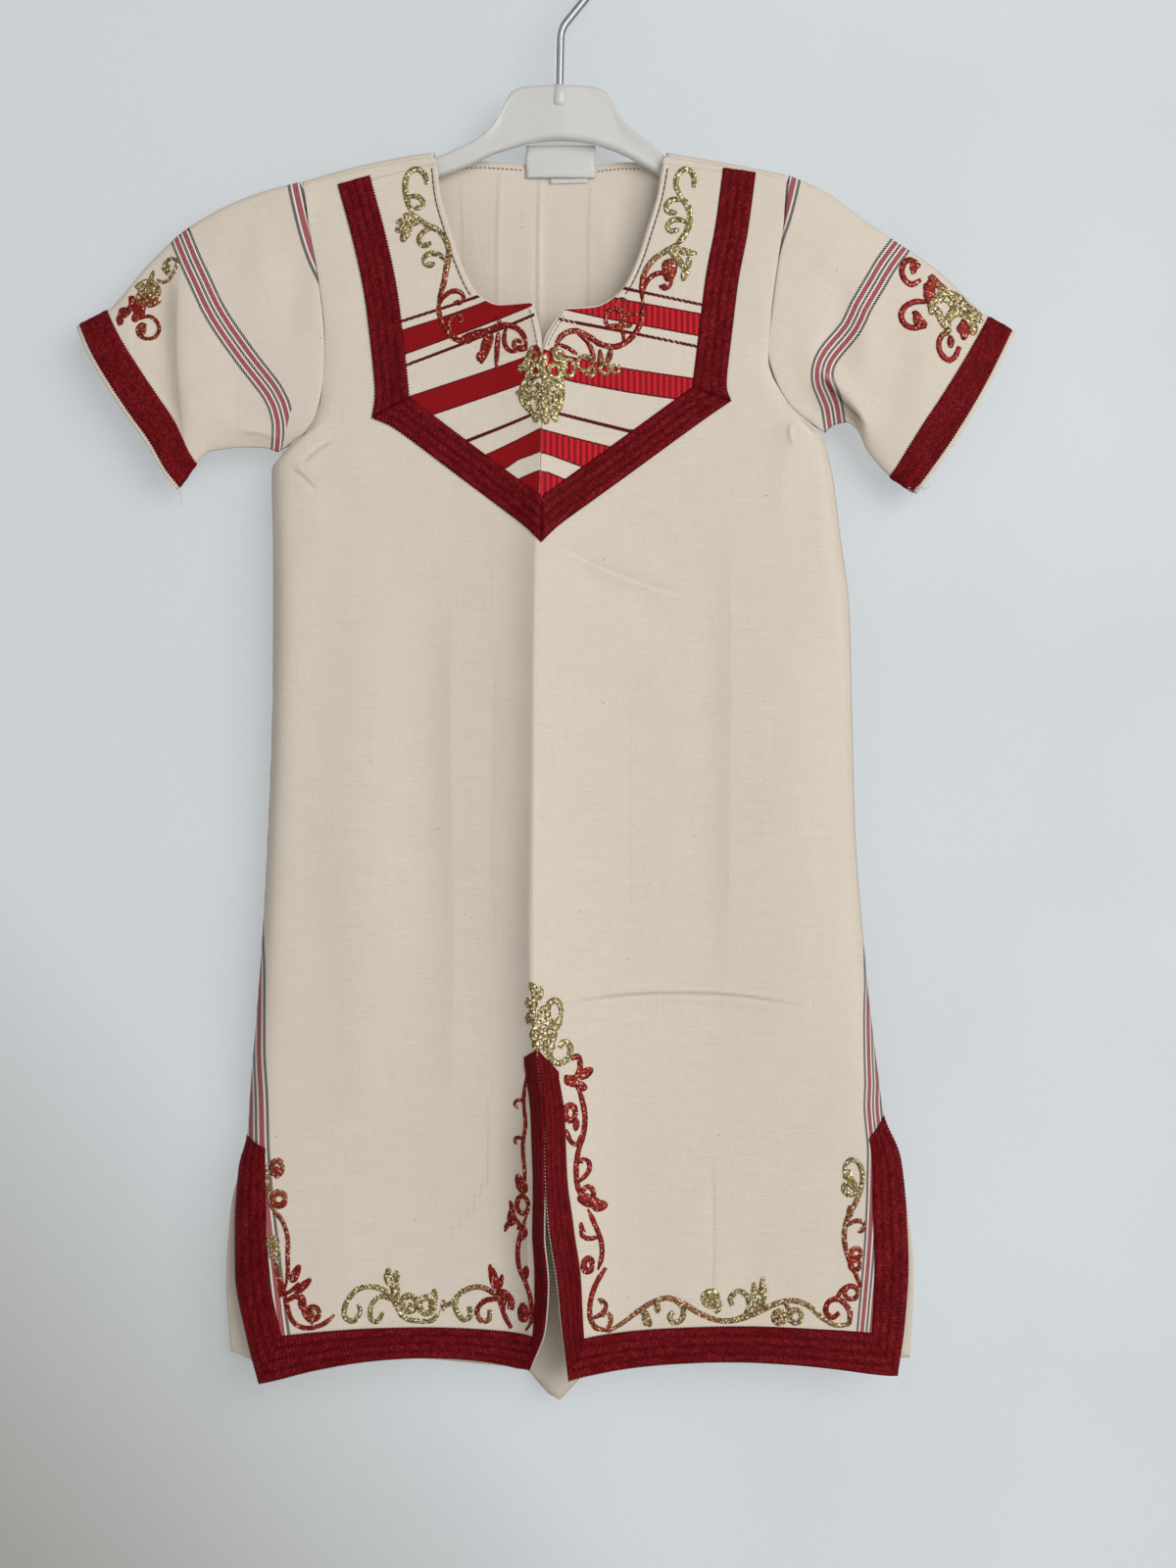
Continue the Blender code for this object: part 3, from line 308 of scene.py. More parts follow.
def nearest(path, x, z):
    """Distance, length along and side (+1 left of the way) of a path in x, z."""
    best = np.full(x.shape, 1e9)
    run = np.zeros(x.shape)
    side = np.ones(x.shape)
    so_far = 0.0
    for (ax, az), (bx, bz) in zip(path[:-1], path[1:]):
        dx, dz = bx - ax, bz - az
        length = math.hypot(dx, dz)
        t = np.clip(((x - ax) * dx + (z - az) * dz) / (length * length), 0, 1)
        d = np.hypot(x - ax - t * dx, z - az - t * dz)
        closer = d < best
        best = np.where(closer, d, best)
        run = np.where(closer, so_far + t * length, run)
        side = np.where(closer, np.sign(dx * (z - az) - dz * (x - ax) + 1e-9), side)
        so_far += length
    return best, run, side, so_far


def smooth01(t):
    t = np.clip(t, 0, 1)
    return t * t * (3 - 2 * t)


def creases(table, x, z):
    """How far the cloth stands out at x, z, from the listed creases.
    Each row is its kind, height, width and its points in the photograph."""
    x, z = np.asarray(x, float), np.asarray(z, float)
    out = np.zeros(x.shape)
    for kind, height, width, *points in table:
        path = spline([at(*p) for p in points], 12.0)
        reach = width * (5.0 if kind in ("pressed", "step") else 2.6)
        near = ((x > path[:, 0].min() - reach) & (x < path[:, 0].max() + reach)
                & (z > path[:, 1].min() - reach) & (z < path[:, 1].max() + reach))
        if not near.any():
            continue
        d, run, side, total = nearest(path, x[near], z[near])
        ends = smooth01(np.minimum(run, total - run) / (0.32 * total))
        if kind == "ridge":
            shape = np.exp(-(d / width) ** 2)
        elif kind == "pressed":
            shape = np.exp(-(np.sqrt(d * d + 0.25) - 0.5) / width)
        else:
            shape = np.tanh(side * d / width) * np.exp(-(d / (4.0 * width)) ** 2)
        out[near] += height * shape * ends
    return out


def unevenness(x, z, cell, seed):
    """Smooth seeded unevenness, about -1 to 1, with features of size cell."""
    rng = np.random.default_rng(seed)
    grid = rng.uniform(-1, 1, (64, 64))
    u = np.mod((np.asarray(x) + 4000.0) / cell, 63.0)
    v = np.mod((np.asarray(z) + 4000.0) / cell, 63.0)
    i, j = u.astype(int), v.astype(int)
    f, g = smooth01(u - i), smooth01(v - j)
    i1, j1 = (i + 1) % 64, (j + 1) % 64
    return ((grid[i, j] * (1 - f) + grid[i1, j] * f) * (1 - g)
            + (grid[i, j1] * (1 - f) + grid[i1, j1] * f) * g)


# ------------------------------------------------------- the front's surface
DENSE = np.linspace(0, len(FRONT_LEFT) - 1, (len(FRONT_LEFT) - 1) * 40 + 1)


def dense(columns, table):
    return {name: curve_through([row[k] for row in table], DENSE)
            for k, name in enumerate(columns) if name != "name"}


FORM = dense(FORM_COLUMNS, FRONT_FORM)
HALF = {"left": {**dense(FRONT_COLUMNS, FRONT_LEFT), **FORM},
        "right": {**dense(FRONT_COLUMNS, FRONT_RIGHT), **FORM}}
for _half in HALF.values():           # straight between rows, as corners are
    _table = FRONT_LEFT if _half is HALF["left"] else FRONT_RIGHT
    for _key in ("drop_in", "drop_out", "arch"):
        _half[_key] = np.interp(DENSE, range(len(_table)),
                                [row[FRONT_COLUMNS.index(_key)] for row in _table])


_gap = np.interp(DENSE, [14.0, 15.0, 16.0, 16.4, 17.0], [0.0, 0.25, 0.45, 1.0, 2.6])
_shut = (DENSE >= 14.0) & (DENSE <= 17.0)
HALF["left"]["x_in"] = np.where(_shut, HALF["right"]["x_in"] - _gap, HALF["left"]["x_in"])


for _half, _table in ((HALF["left"], FRONT_LEFT), (HALF["right"], FRONT_RIGHT)):
    for _key in ("x_in", "z_in"):
        _sharp = curve_with_corner([row[FRONT_COLUMNS.index(_key)] for row in _table],
                                   DENSE, ROW["underarm"])
        _half[_key] = np.where(DENSE <= ROW["neck_slit_end"] + 2.0, _sharp, _half[_key])


def value(side, key, p):
    return np.interp(p, DENSE, HALF[side][key])


def top_line(x):
    x = np.asarray(x, float)
    left = np.interp(x, [p[0] for p in TOP_LEFT], [p[1] for p in TOP_LEFT])
    right = np.interp(x, [p[0] for p in TOP_RIGHT], [p[1] for p in TOP_RIGHT])
    return np.where(x < 0, left, right)


SHOULDER_SEAM = 3.6          # from the top line down to the shoulder seam


def section_height(side, p, x):
    x_in, x_out = value(side, "x_in", p), value(side, "x_out", p)
    z_in, z_out = value(side, "z_in", p), value(side, "z_out", p)
    sign = -1.0 if side == "left" else 1.0
    width = (x_out - x_in) * sign
    d = (x - x_in) * sign
    inner = value(side, "band_in", p)
    outer = width - value(side, "band_out", p)
    rise = np.clip(d / inner, 0, 1)
    fade = np.clip((outer - d) / (outer - inner), 0, 1)
    tent_in = np.where(d <= inner, rise, fade)
    tent_out = np.where(d <= outer, 1 - fade, np.clip((width - d) / (width - outer), 0, 1))
    t = np.clip(d / width, 0, 1)
    z = (z_in + (z_out - z_in) * d / width - value(side, "drop_in", p) * tent_in
         - value(side, "drop_out", p) * tent_out
         + value(side, "arch", p) * 4 * t * (1 - t))
    lift = np.clip(1 - p, 0, 1)
    straight = z_in + (z_out - z_in) * d / width
    return z + lift * (top_line(x) - SHOULDER_SEAM - straight)


def front_depth(side, p, x):
    spread = np.sqrt((x - value(side, "crease_x", p)) ** 2 + 1.0) - 1.0
    crease = value(side, "crease", p) * np.exp(-spread / value(side, "fall", p))
    plane = value(side, "plane", p)
    edge = (value(side, "y_out", p) - plane) * np.exp(
        -np.abs(x - value(side, "x_out", p)) / EDGE_ROUND)
    return plane - crease + edge


SPLIT = [(0.5 * (a[1] + b[1]), a[2]) for a, b in zip(FRONT_LEFT[7:], FRONT_RIGHT[7:])]


def split_x(z):
    """Where the left half ends and the right one starts at this height."""
    rows = sorted(SPLIT, key=lambda row: row[1])
    return np.interp(z, [r[1] for r in rows], [r[0] for r in rows])


# Creases of the front, in the order: kind, height, width, points.
FRONT_CREASES = (
    ("pressed", 0.75, 5.0, (461, 560), (459, 760), (462, 960), (458, 1180)),
    ("pressed", 0.65, 5.5, (744, 520), (746, 700), (745, 900), (749, 1110)),
    ("pressed", -0.45, 3.0, (505, 610), (501, 820), (500, 1000)),
    ("ridge", 2.3, 34.0, (546, 400), (545, 640), (544, 900), (547, 1180), (548, 1470)),
    ("ridge", 1.9, 17.0, (366, 470), (372, 700), (368, 960), (374, 1260)),
    ("ridge", -1.2, 15.0, (438, 540), (434, 800), (440, 1060)),
    ("ridge", -0.8, 13.0, (318, 620), (312, 820), (318, 1040)),
    ("ridge", 1.0, 13.0, (300, 480), (296, 700), (300, 880)),
    ("ridge", -0.8, 24.0, (640, 620), (655, 800), (640, 980), (650, 1150)),
    ("ridge", 1.3, 20.0, (800, 560), (806, 760), (812, 980), (822, 1180)),
    ("ridge", -1.3, 15.0, (722, 540), (728, 760), (722, 1000), (730, 1200)),
    ("ridge", -1.1, 11.0, (848, 560), (852, 780), (850, 1000)),
    ("pressed", 1.0, 1.7, (580, 1021), (640, 1014), (700, 1013), (760, 1016), (824, 1024)),
    ("ridge", -0.55, 4.0, (600, 1032), (690, 1026), (800, 1034)),
    ("step", 0.9, 3.2, (562, 560), (600, 578), (655, 598), (708, 615)),
    ("ridge", -0.4, 7.0, (572, 584), (640, 612), (690, 634)),
    ("step", 0.45, 6.0, (320, 470), (352, 500), (392, 520)),
    ("ridge", 0.6, 6.0, (296, 462), (318, 500), (330, 560)),
    ("ridge", 0.7, 5.5, (812, 436), (800, 480), (796, 540)),
    ("ridge", -0.6, 6.0, (832, 452), (824, 500), (822, 570)),
    ("ridge", 0.5, 8.0, (342, 200), (348, 280), (352, 360), (340, 430)),
    ("ridge", 0.45, 8.0, (786, 210), (780, 290), (782, 370)),
    ("ridge", -0.5, 9.0, (420, 1190), (430, 1260), (424, 1340)),
    ("ridge", 0.55, 12.0, (352, 1180), (346, 1270), (352, 1370)),
    ("ridge", 0.6, 13.0, (690, 1180), (700, 1270), (694, 1380)),
    ("ridge", -0.5, 10.0, (760, 1230), (766, 1300), (760, 1390)),
    ("ridge", 0.5, 11.0, (836, 1220), (830, 1300), (838, 1390)),
    ("step", 0.35, 3.5, (470, 700), (505, 716), (545, 722)),
    ("step", -0.35, 4.0, (604, 740), (680, 752), (742, 748)),
    ("ridge", -0.35, 5.0, (380, 860), (440, 872), (500, 866)),
    ("ridge", 0.3, 4.0, (650, 880), (720, 874), (790, 884)),
)


def armhole_path(side):
    p = np.linspace(0.0, ROW["underarm"], 60)
    return np.stack([value(side, "x_out", p), value(side, "z_out", p)], -1)


def seam_valleys(x, z):
    """The cloth dips where the sleeves are set in, with small puckers."""
    out = np.zeros(np.shape(x))
    for side in ("left", "right"):
        d, run, _, _ = nearest(armhole_path(side), x, z)
        pucker = 0.18 * np.sin(run * 0.9 + 2.0 * np.sin(run * 0.21)) * np.exp(-d / 4.0)
        out -= (0.75 * np.exp(-d / 1.8) + pucker) * smooth01((run + 2) / 18.0)
    return out


STEP = 0.75
GX = np.arange(-190.0, 192.01, STEP)
GZ = np.arange(-764.0, -104.0, STEP)


def front_map():
    x, z = np.meshgrid(GX, GZ)
    y = np.zeros_like(x)
    left = x < split_x(z)
    for side, mask in (("left", left), ("right", ~left)):
        xs, zs = x[mask], z[mask]
        low = np.zeros_like(xs)
        high = np.full_like(xs, float(len(FRONT_LEFT) - 1))
        for _ in range(22):
            middle = 0.5 * (low + high)
            above = section_height(side, middle, xs) > zs
            low = np.where(above, middle, low)
            high = np.where(above, high, middle)
        y[mask] = front_depth(side, low, xs)
    relief = creases(FRONT_CREASES, x, z) + seam_valleys(x, z)
    relief += 0.42 * unevenness(x, z * 0.6, 44.0, 11) + 0.16 * unevenness(x, z, 15.0, 12)
    relief += 0.05 * unevenness(x, z, 5.5, 13)
    rim = np.minimum(np.abs(x - np.interp(z, [-740, -585, -277, -130], [-155, -157, -146, -128])),
                     np.abs(x - np.interp(z, [-740, -585, -277, -130], [174, 162, 139, 117])))
    relief *= smooth01(rim / 9.0) * 0.85 + 0.15
    return y - relief


MAP_Y = front_map()
_DZ, _DX = np.gradient(MAP_Y, STEP)


def look(grid, x, z):
    u = np.clip((np.asarray(x) - GX[0]) / STEP, 0, len(GX) - 1.001)
    v = np.clip((np.asarray(z) - GZ[0]) / STEP, 0, len(GZ) - 1.001)
    i, j = u.astype(int), v.astype(int)
    f, g = u - i, v - j
    return ((grid[j, i] * (1 - f) + grid[j, i + 1] * f) * (1 - g)
            + (grid[j + 1, i] * (1 - f) + grid[j + 1, i + 1] * f) * g)


def front_points(x, z, height=0.0):
    """Points at a height over the front's face, and the face's directions."""
    x, z = np.broadcast_arrays(np.asarray(x, float), np.asarray(z, float))
    n = np.stack([look(_DX, x, z), -np.ones(x.shape), look(_DZ, x, z)], -1)
    n /= np.linalg.norm(n, axis=-1, keepdims=True)
    p = np.stack([x, look(MAP_Y, x, z), z], -1)
    return p + n * np.asarray(height)[..., None], n


# ------------------------------------------------------------ making meshes
def pressed_lines(lines, x, z):
    """Signed distance from fine crease lines, the strength of the painted
    shade line along each (a painted light line where it is below 0), and a
    painted shade on the left of the way they run.  Points are in the
    photograph's frame."""
    x, z = np.asarray(x, float), np.asarray(z, float)
    best = np.full(x.shape, 1e6)
    clear, shade = np.zeros(x.shape), np.zeros(x.shape)
    for strength, painted_side_shade, *points in lines:
        path = spline([at(*p) for p in points], 6.0)
        d, run, side, total = nearest(path, x, z)
        ends = smooth01(np.minimum(run, total - run) / (0.25 * total))
        take = d < np.abs(best)
        best = np.where(take, d * side, best)
        clear = np.where(take, strength * ends, clear)
        shade = np.where(take, painted_side_shade * ends, shade)
    clear = clear * (1 - smooth01((np.abs(best) - 5.0) / 4.0))
    return np.stack([best, clear, shade], -1)


class Build:
    """Collects points, faces and values by point, and makes one object."""

    def __init__(self):
        self.points, self.quads, self.ngons, self.values, self.count = [], [], [], {}, 0

    def add(self, points, **values):
        points = np.asarray(points, float).reshape(-1, 3)
        start, n = self.count, len(points)
        self.points.append(points)
        self.count += n
        for key, v in values.items():
            v = np.asarray(v, float)
            width = 3 if (v.ndim > 1 and v.shape[-1] == 3 and v.size == n * 3) else 1
            self.values.setdefault(key, []).append(v.reshape(n, width))
        return start

    def join(self, a, b, c, d, flip=False):
        quad = np.stack([np.ravel(k) for k in ((d, c, b, a) if flip else (a, b, c, d))], 1)
        self.quads.append(quad)

    def grid(self, points, flip=False, wrap=False, **values):
        n, m = points.shape[:2]
        index = self.add(points, **values) + np.arange(n * m).reshape(n, m)
        loop = np.concatenate([index, index[:, :1]], 1) if wrap else index
        self.join(loop[:-1, :-1], loop[1:, :-1], loop[1:, 1:], loop[:-1, 1:], flip)
        return index

    def make(self, name, material, weld=False, wall=0.0, sharp=None):
        points = np.concatenate(self.points)
        quads = np.concatenate(self.quads) if self.quads else np.zeros((0, 4), int)
        values = {k: np.concatenate(v) for k, v in self.values.items()}
        faces = quads
        ngons = self.ngons
        if weld:
            _, first, index = np.unique(np.round(points, 3), axis=0,
                                        return_index=True, return_inverse=True)
            index = index.reshape(-1)
            points = points[first]
            values = {k: v[first] for k, v in values.items()}
            faces = index[quads]
            same = ((faces[:, 0] == faces[:, 1]) | (faces[:, 1] == faces[:, 2])
                    | (faces[:, 2] == faces[:, 3]) | (faces[:, 3] == faces[:, 0]))
            thin = [list(dict.fromkeys(f)) for f in faces[same].tolist()]
            ngons = [[int(index[k]) for k in f] for f in ngons] + [f for f in thin if len(f) > 2]
            faces = faces[~same]
        mesh = bpy.data.meshes.new(name)
        mesh.from_pydata((points * MM).tolist(), [],
                         faces.tolist() + [list(map(int, f)) for f in ngons])
        for key, v in values.items():
            if v.shape[1] == 3:
                item = mesh.attributes.new(key, "FLOAT_VECTOR", "POINT")
                item.data.foreach_set("vector", v.astype(np.float32).ravel())
            else:
                item = mesh.attributes.new(key, "FLOAT", "POINT")
                item.data.foreach_set("value", v.astype(np.float32).ravel())
        mesh.shade_smooth()
        if sharp is not None:
            mesh.set_sharp_from_angle(angle=math.radians(sharp))
        mesh.materials.append(material)
        mesh.update()
        obj = bpy.data.objects.new(name, mesh)
        bpy.context.scene.collection.objects.link(obj)
        if wall:
            solid = obj.modifiers.new("cloth", "SOLIDIFY")
            solid.thickness = wall * MM
            solid.offset = -1.0
            solid.use_rim = True
        return obj


def strip(build, base, normal, height, lift, wall, wrap=False, cloth=None, **values):
    """A closed strip: its top stands at lift plus height over base, and its
    underside lies at lift minus wall.  base is stations x places x 3."""
    n, m = base.shape[:2]
    lift = np.broadcast_to(np.asarray(lift, float), (n, m))
    height = np.broadcast_to(np.asarray(height, float), (n, m))
    top = base + normal * (lift + height)[..., None]
    picks = np.unique(np.linspace(0, m - 1, min(m, 5)).round().astype(int))
    under = base[:, picks] + normal[:, picks] * (lift[:, picks] - wall)[..., None]
    if cloth is None:
        cloth = np.zeros((n, m, 3))
    extra_top = {k: np.broadcast_to(np.asarray(v, float), (n, m)) for k, v in values.items()}
    extra_low = {k: v[:, picks] for k, v in extra_top.items()}
    a = build.add(top, cloth=cloth, **extra_top) + np.arange(n * m).reshape(n, m)
    b = build.add(under, cloth=cloth[:, picks], **extra_low)
    b = b + np.arange(n * len(picks)).reshape(n, len(picks))
    if wrap:
        a0, a1, b0, b1 = a, np.roll(a, -1, 0), b, np.roll(b, -1, 0)
    else:
        a0, a1, b0, b1 = a[:-1], a[1:], b[:-1], b[1:]
    build.join(a0[:, :-1], a1[:, :-1], a1[:, 1:], a0[:, 1:])
    build.join(b0[:, 1:], b1[:, 1:], b1[:, :-1], b0[:, :-1])
    build.join(b0[:, 0], b1[:, 0], a1[:, 0], a0[:, 0])
    build.join(a0[:, -1], a1[:, -1], b1[:, -1], b0[:, -1])
    if not wrap:
        build.ngons.append(list(a[0]) + list(b[0][::-1]))
        build.ngons.append(list(a[-1][::-1]) + list(b[-1]))


def tube(build, path, radius, sides=8, caps=True, **values):
    path = np.asarray(path, float)
    n = len(path)
    ahead = np.gradient(path, axis=0)
    ahead /= np.linalg.norm(ahead, axis=1, keepdims=True) + 1e-12
    up = np.tile(np.array([0.0, 1.0, 0.0]), (n, 1))
    lie = np.abs((ahead * up).sum(1)) > 0.95
    up[lie] = (1.0, 0.0, 0.0)
    across = np.cross(ahead, up)
    across /= np.linalg.norm(across, axis=1, keepdims=True) + 1e-12
    up = np.cross(across, ahead)
    angle = np.linspace(0, 2 * math.pi, sides, endpoint=False)
    r = np.broadcast_to(np.asarray(radius, float), (n,))[:, None, None]
    ring = path[:, None] + r * (across[:, None] * np.cos(angle)[None, :, None]
                                + up[:, None] * np.sin(angle)[None, :, None])
    extra = {k: np.full((n, sides), v) for k, v in values.items()}
    run = np.concatenate([[0], np.cumsum(np.linalg.norm(np.diff(path, axis=0), axis=1))])
    cloth = np.zeros((n, sides, 3))
    cloth[..., 0] = angle[None] * np.asarray(radius).mean()
    cloth[..., 1] = run[:, None]
    index = build.grid(ring, wrap=True, cloth=cloth, **extra)
    if caps:
        build.ngons.append(list(index[0]))
        build.ngons.append(list(index[-1][::-1]))


# ---------------------------------------------------------------- materials
class Shader:
    """A node material made in a few lines."""

    def __init__(self, name):
        self.material = bpy.data.materials.new(name)
        self.material.use_nodes = True
        self.tree = self.material.node_tree
        self.main = self.tree.nodes["Principled BSDF"]

    def node(self, kind, *links, **settings):
        node = self.tree.nodes.new("ShaderNode" + kind)
        for key, setting in settings.items():
            if hasattr(node, key):
                setattr(node, key, setting)
            else:
                node.inputs[key.replace("_", " ")].default_value = setting
        for number, link in enumerate(links):
            if link is None:
                continue
            if isinstance(link, (int, float)):
                node.inputs[number].default_value = link
            else:
                self.tree.links.new(link, node.inputs[number])
        return node.outputs[0]

    def math(self, operation, *links):
        return self.node("Math", *links, operation=operation)

    def attribute(self, name, output="Vector"):
        node = self.tree.nodes.new("ShaderNodeAttribute")
        node.attribute_name = name
        return node.outputs[output]

    def split(self, vector):
        node = self.tree.nodes.new("ShaderNodeSeparateXYZ")
        self.tree.links.new(vector, node.inputs[0])
        return node.outputs

    def scaled(self, vector, x, y, z=1.0):
        node = self.tree.nodes.new("ShaderNodeVectorMath")
        node.operation = "MULTIPLY"
        self.tree.links.new(vector, node.inputs[0])
        node.inputs[1].default_value = (x, y, z)
        return node.outputs[0]

    def noise(self, vector, scale, detail=2.0, roughness=0.5):
        node = self.tree.nodes.new("ShaderNodeTexNoise")
        self.tree.links.new(vector, node.inputs["Vector"])
        node.inputs["Scale"].default_value = scale
        node.inputs["Detail"].default_value = detail
        node.inputs["Roughness"].default_value = roughness
        return node.outputs["Fac"]

    def spread(self, link, low, high, out_low=0.0, out_high=1.0):
        node = self.tree.nodes.new("ShaderNodeMapRange")
        self.tree.links.new(link, node.inputs[0])
        for key, v in (("From Min", low), ("From Max", high),
                       ("To Min", out_low), ("To Max", out_high)):
            node.inputs[key].default_value = v
        return node.outputs[0]

    def mix(self, factor, a, b, blend="MIX"):
        node = self.tree.nodes.new("ShaderNodeMix")
        node.data_type = "RGBA"
        node.blend_type = blend
        for link, socket in ((factor, node.inputs[0]), (a, node.inputs[6]), (b, node.inputs[7])):
            if isinstance(link, (int, float)):
                socket.default_value = link
            elif isinstance(link, tuple):
                socket.default_value = (*link, 1.0)
            else:
                self.tree.links.new(link, socket)
        return node.outputs[2]

    def bump(self, height, distance, strength=1.0, normal=None):
        node = self.tree.nodes.new("ShaderNodeBump")
        self.tree.links.new(height, node.inputs["Height"])
        node.inputs["Distance"].default_value = distance * MM
        node.inputs["Strength"].default_value = strength
        if normal is not None:
            self.tree.links.new(normal, node.inputs["Normal"])
        return node.outputs[0]

    def set(self, **settings):
        for key, setting in settings.items():
            socket = self.main.inputs[key.replace("_", " ")]
            if isinstance(setting, (int, float, tuple)):
                socket.default_value = setting
            else:
                self.tree.links.new(setting, socket)
        return self.material


CREAM = (0.70, 0.615, 0.515)
CREAM_DARK = (0.635, 0.55, 0.452)
BLACK_YARN = (0.016, 0.013, 0.012)
WHITE_YARN = (0.80, 0.755, 0.69)
PINK_YARN = (0.31, 0.046, 0.056)
PINK_LIGHT = (0.62, 0.33, 0.31)
MAROON = (0.090, 0.006, 0.008)


def cotton_colour(s, cloth):
    """Cream plain weave: slubs, streaks, a slow change of tone and flecks."""
    slub = s.noise(s.scaled(cloth, 0.035, 1.5), 1.0, 3.0, 0.62)
    slub2 = s.noise(s.scaled(cloth, 0.11, 2.9), 1.0, 2.0, 0.5)
    warp = s.noise(s.scaled(cloth, 1.7, 0.03), 1.0, 2.0, 0.55)
    slow = s.noise(s.scaled(cloth, 0.013, 0.009), 1.0, 2.0, 0.5)
    colour = s.mix(s.spread(slub, 0.36, 0.70), CREAM, CREAM_DARK)
    colour = s.mix(s.spread(slub2, 0.46, 0.78, 0.0, 0.35), colour, (0.79, 0.715, 0.625))
    colour = s.mix(s.spread(warp, 0.42, 0.74, 0.0, 0.30), colour, (0.575, 0.49, 0.40))
    colour = s.mix(s.spread(slow, 0.34, 0.68, 0.0, 0.28), colour, (0.62, 0.56, 0.49))
    grain = s.noise(s.scaled(cloth, 0.95, 1.25), 1.0, 2.0, 0.6)
    colour = s.mix(s.spread(grain, 0.45, 0.72, 0.0, 0.30), colour, (0.55, 0.47, 0.385))
    cells = s.tree.nodes.new("ShaderNodeTexVoronoi")
    cells.inputs["Scale"].default_value = 1.0
    s.tree.links.new(s.scaled(cloth, 0.085, 0.17), cells.inputs["Vector"])
    chosen = s.math("GREATER_THAN", s.split(cells.outputs["Color"])[0], 0.82)
    close = s.math("LESS_THAN", cells.outputs["Distance"], 0.060)
    fleck = s.math("MULTIPLY", s.math("MULTIPLY", chosen, close), 0.42)
    return s.mix(fleck, colour, (0.16, 0.10, 0.065)), slub


def weave_height(s, cloth, slub):
    parts = s.split(cloth)
    across = s.math("SINE", s.math("MULTIPLY", parts[0], 2 * math.pi / 0.95))
    down = s.math("SINE", s.math("MULTIPLY", parts[1], 2 * math.pi / 0.80))
    cross = s.math("MULTIPLY", across, down)
    fine = s.noise(s.scaled(cloth, 1.6, 2.4), 1.0, 2.0)
    height = s.math("MULTIPLY_ADD", cross, 0.22, s.math("MULTIPLY", fine, 0.9))
    return s.math("MULTIPLY_ADD", slub, 1.1, height)


def cotton_material(name, banded=True):
    s = Shader(name)
    cloth = s.attribute("cloth")
    colour, slub = cotton_colour(s, cloth)
    height = weave_height(s, cloth, slub)
    # Painted crease shading: a painted shade line along each crease, a painted light line where its strength is below
    # 0, a painted highlight 2.3 mm to the right of the way, and painted shade up to 15 mm on its left.
    press = s.split(s.attribute("press"))
    away = s.math("ABSOLUTE", press[0])
    line = s.math("MULTIPLY", s.spread(away, 0.10, 1.5, 1.0, 0.0), press[1])
    painted_side_shade = s.math("MULTIPLY", s.spread(press[0], 0.0, 15.0, 1.0, 0.0),
                    s.math("GREATER_THAN", press[0], 0.0))
    painted_side_shade = s.math("MULTIPLY_ADD", s.math("MULTIPLY", painted_side_shade, press[2]), 1.0, line)
    painted_crease_highlight = s.math("ABSOLUTE", s.math("ADD", press[0], 2.3))
    painted_crease_highlight = s.math("MULTIPLY", s.spread(painted_crease_highlight, 0.2, 2.0, 1.0, 0.0), press[1])
    if banded:
        parts = s.split(s.attribute("band"))
        u, v = parts[0], parts[1]
        off = s.math("PINGPONG", u, 2.6)
        on = s.math("MULTIPLY", s.math("GREATER_THAN", u, -0.72),
                    s.math("LESS_THAN", u, 11.12))
        on = s.math("MULTIPLY", on, s.math("GREATER_THAN", parts[2], 0.5))
        dash = s.math("FRACT", s.math("MULTIPLY_ADD", u, 0.62, s.math("MULTIPLY", v, 0.80)))
        black = s.math("MULTIPLY", s.math("LESS_THAN", off, 0.70), s.math("LESS_THAN", dash, 0.80))
        twill = s.math("FRACT", s.math("MULTIPLY_ADD", u, -0.85, s.math("MULTIPLY", v, 0.85)))
        wide = s.math("MULTIPLY_ADD", s.math("LESS_THAN", twill, 0.5), -0.22, 1.50)
        pink = s.math("GREATER_THAN", off, wide)
        tone = s.mix(s.math("LESS_THAN", twill, 0.24), PINK_YARN, PINK_LIGHT)
        worn = s.noise(s.scaled(cloth, 1.0, 1.0), 1.0, 2.0)
        tone = s.mix(s.spread(worn, 0.44, 0.66, 0.0, 0.6), tone, (0.20, 0.018, 0.028))
        band = s.mix(pink, WHITE_YARN, tone)
        band = s.mix(black, band, BLACK_YARN)
        colour = s.mix(on, colour, band)
    # Painted highlights and light lines at the creases, then painted shade along them and on their left.
    colour = s.mix(s.math("MULTIPLY", painted_crease_highlight, 0.55), colour, (0.84, 0.76, 0.66))
    colour = s.mix(s.math("MULTIPLY", line, -1.0), colour, (0.88, 0.81, 0.72))
    colour = s.mix(painted_side_shade, colour, (0.33, 0.27, 0.215), "MULTIPLY")
    if banded:
        height = s.math("MULTIPLY_ADD", s.math("MULTIPLY", on, twill), 1.2, height)
    return s.set(Base_Color=colour, Roughness=0.88, Specular_IOR_Level=0.22,
                 Sheen_Weight=0.12, Sheen_Roughness=0.5,
                 Normal=s.bump(height, 0.075))


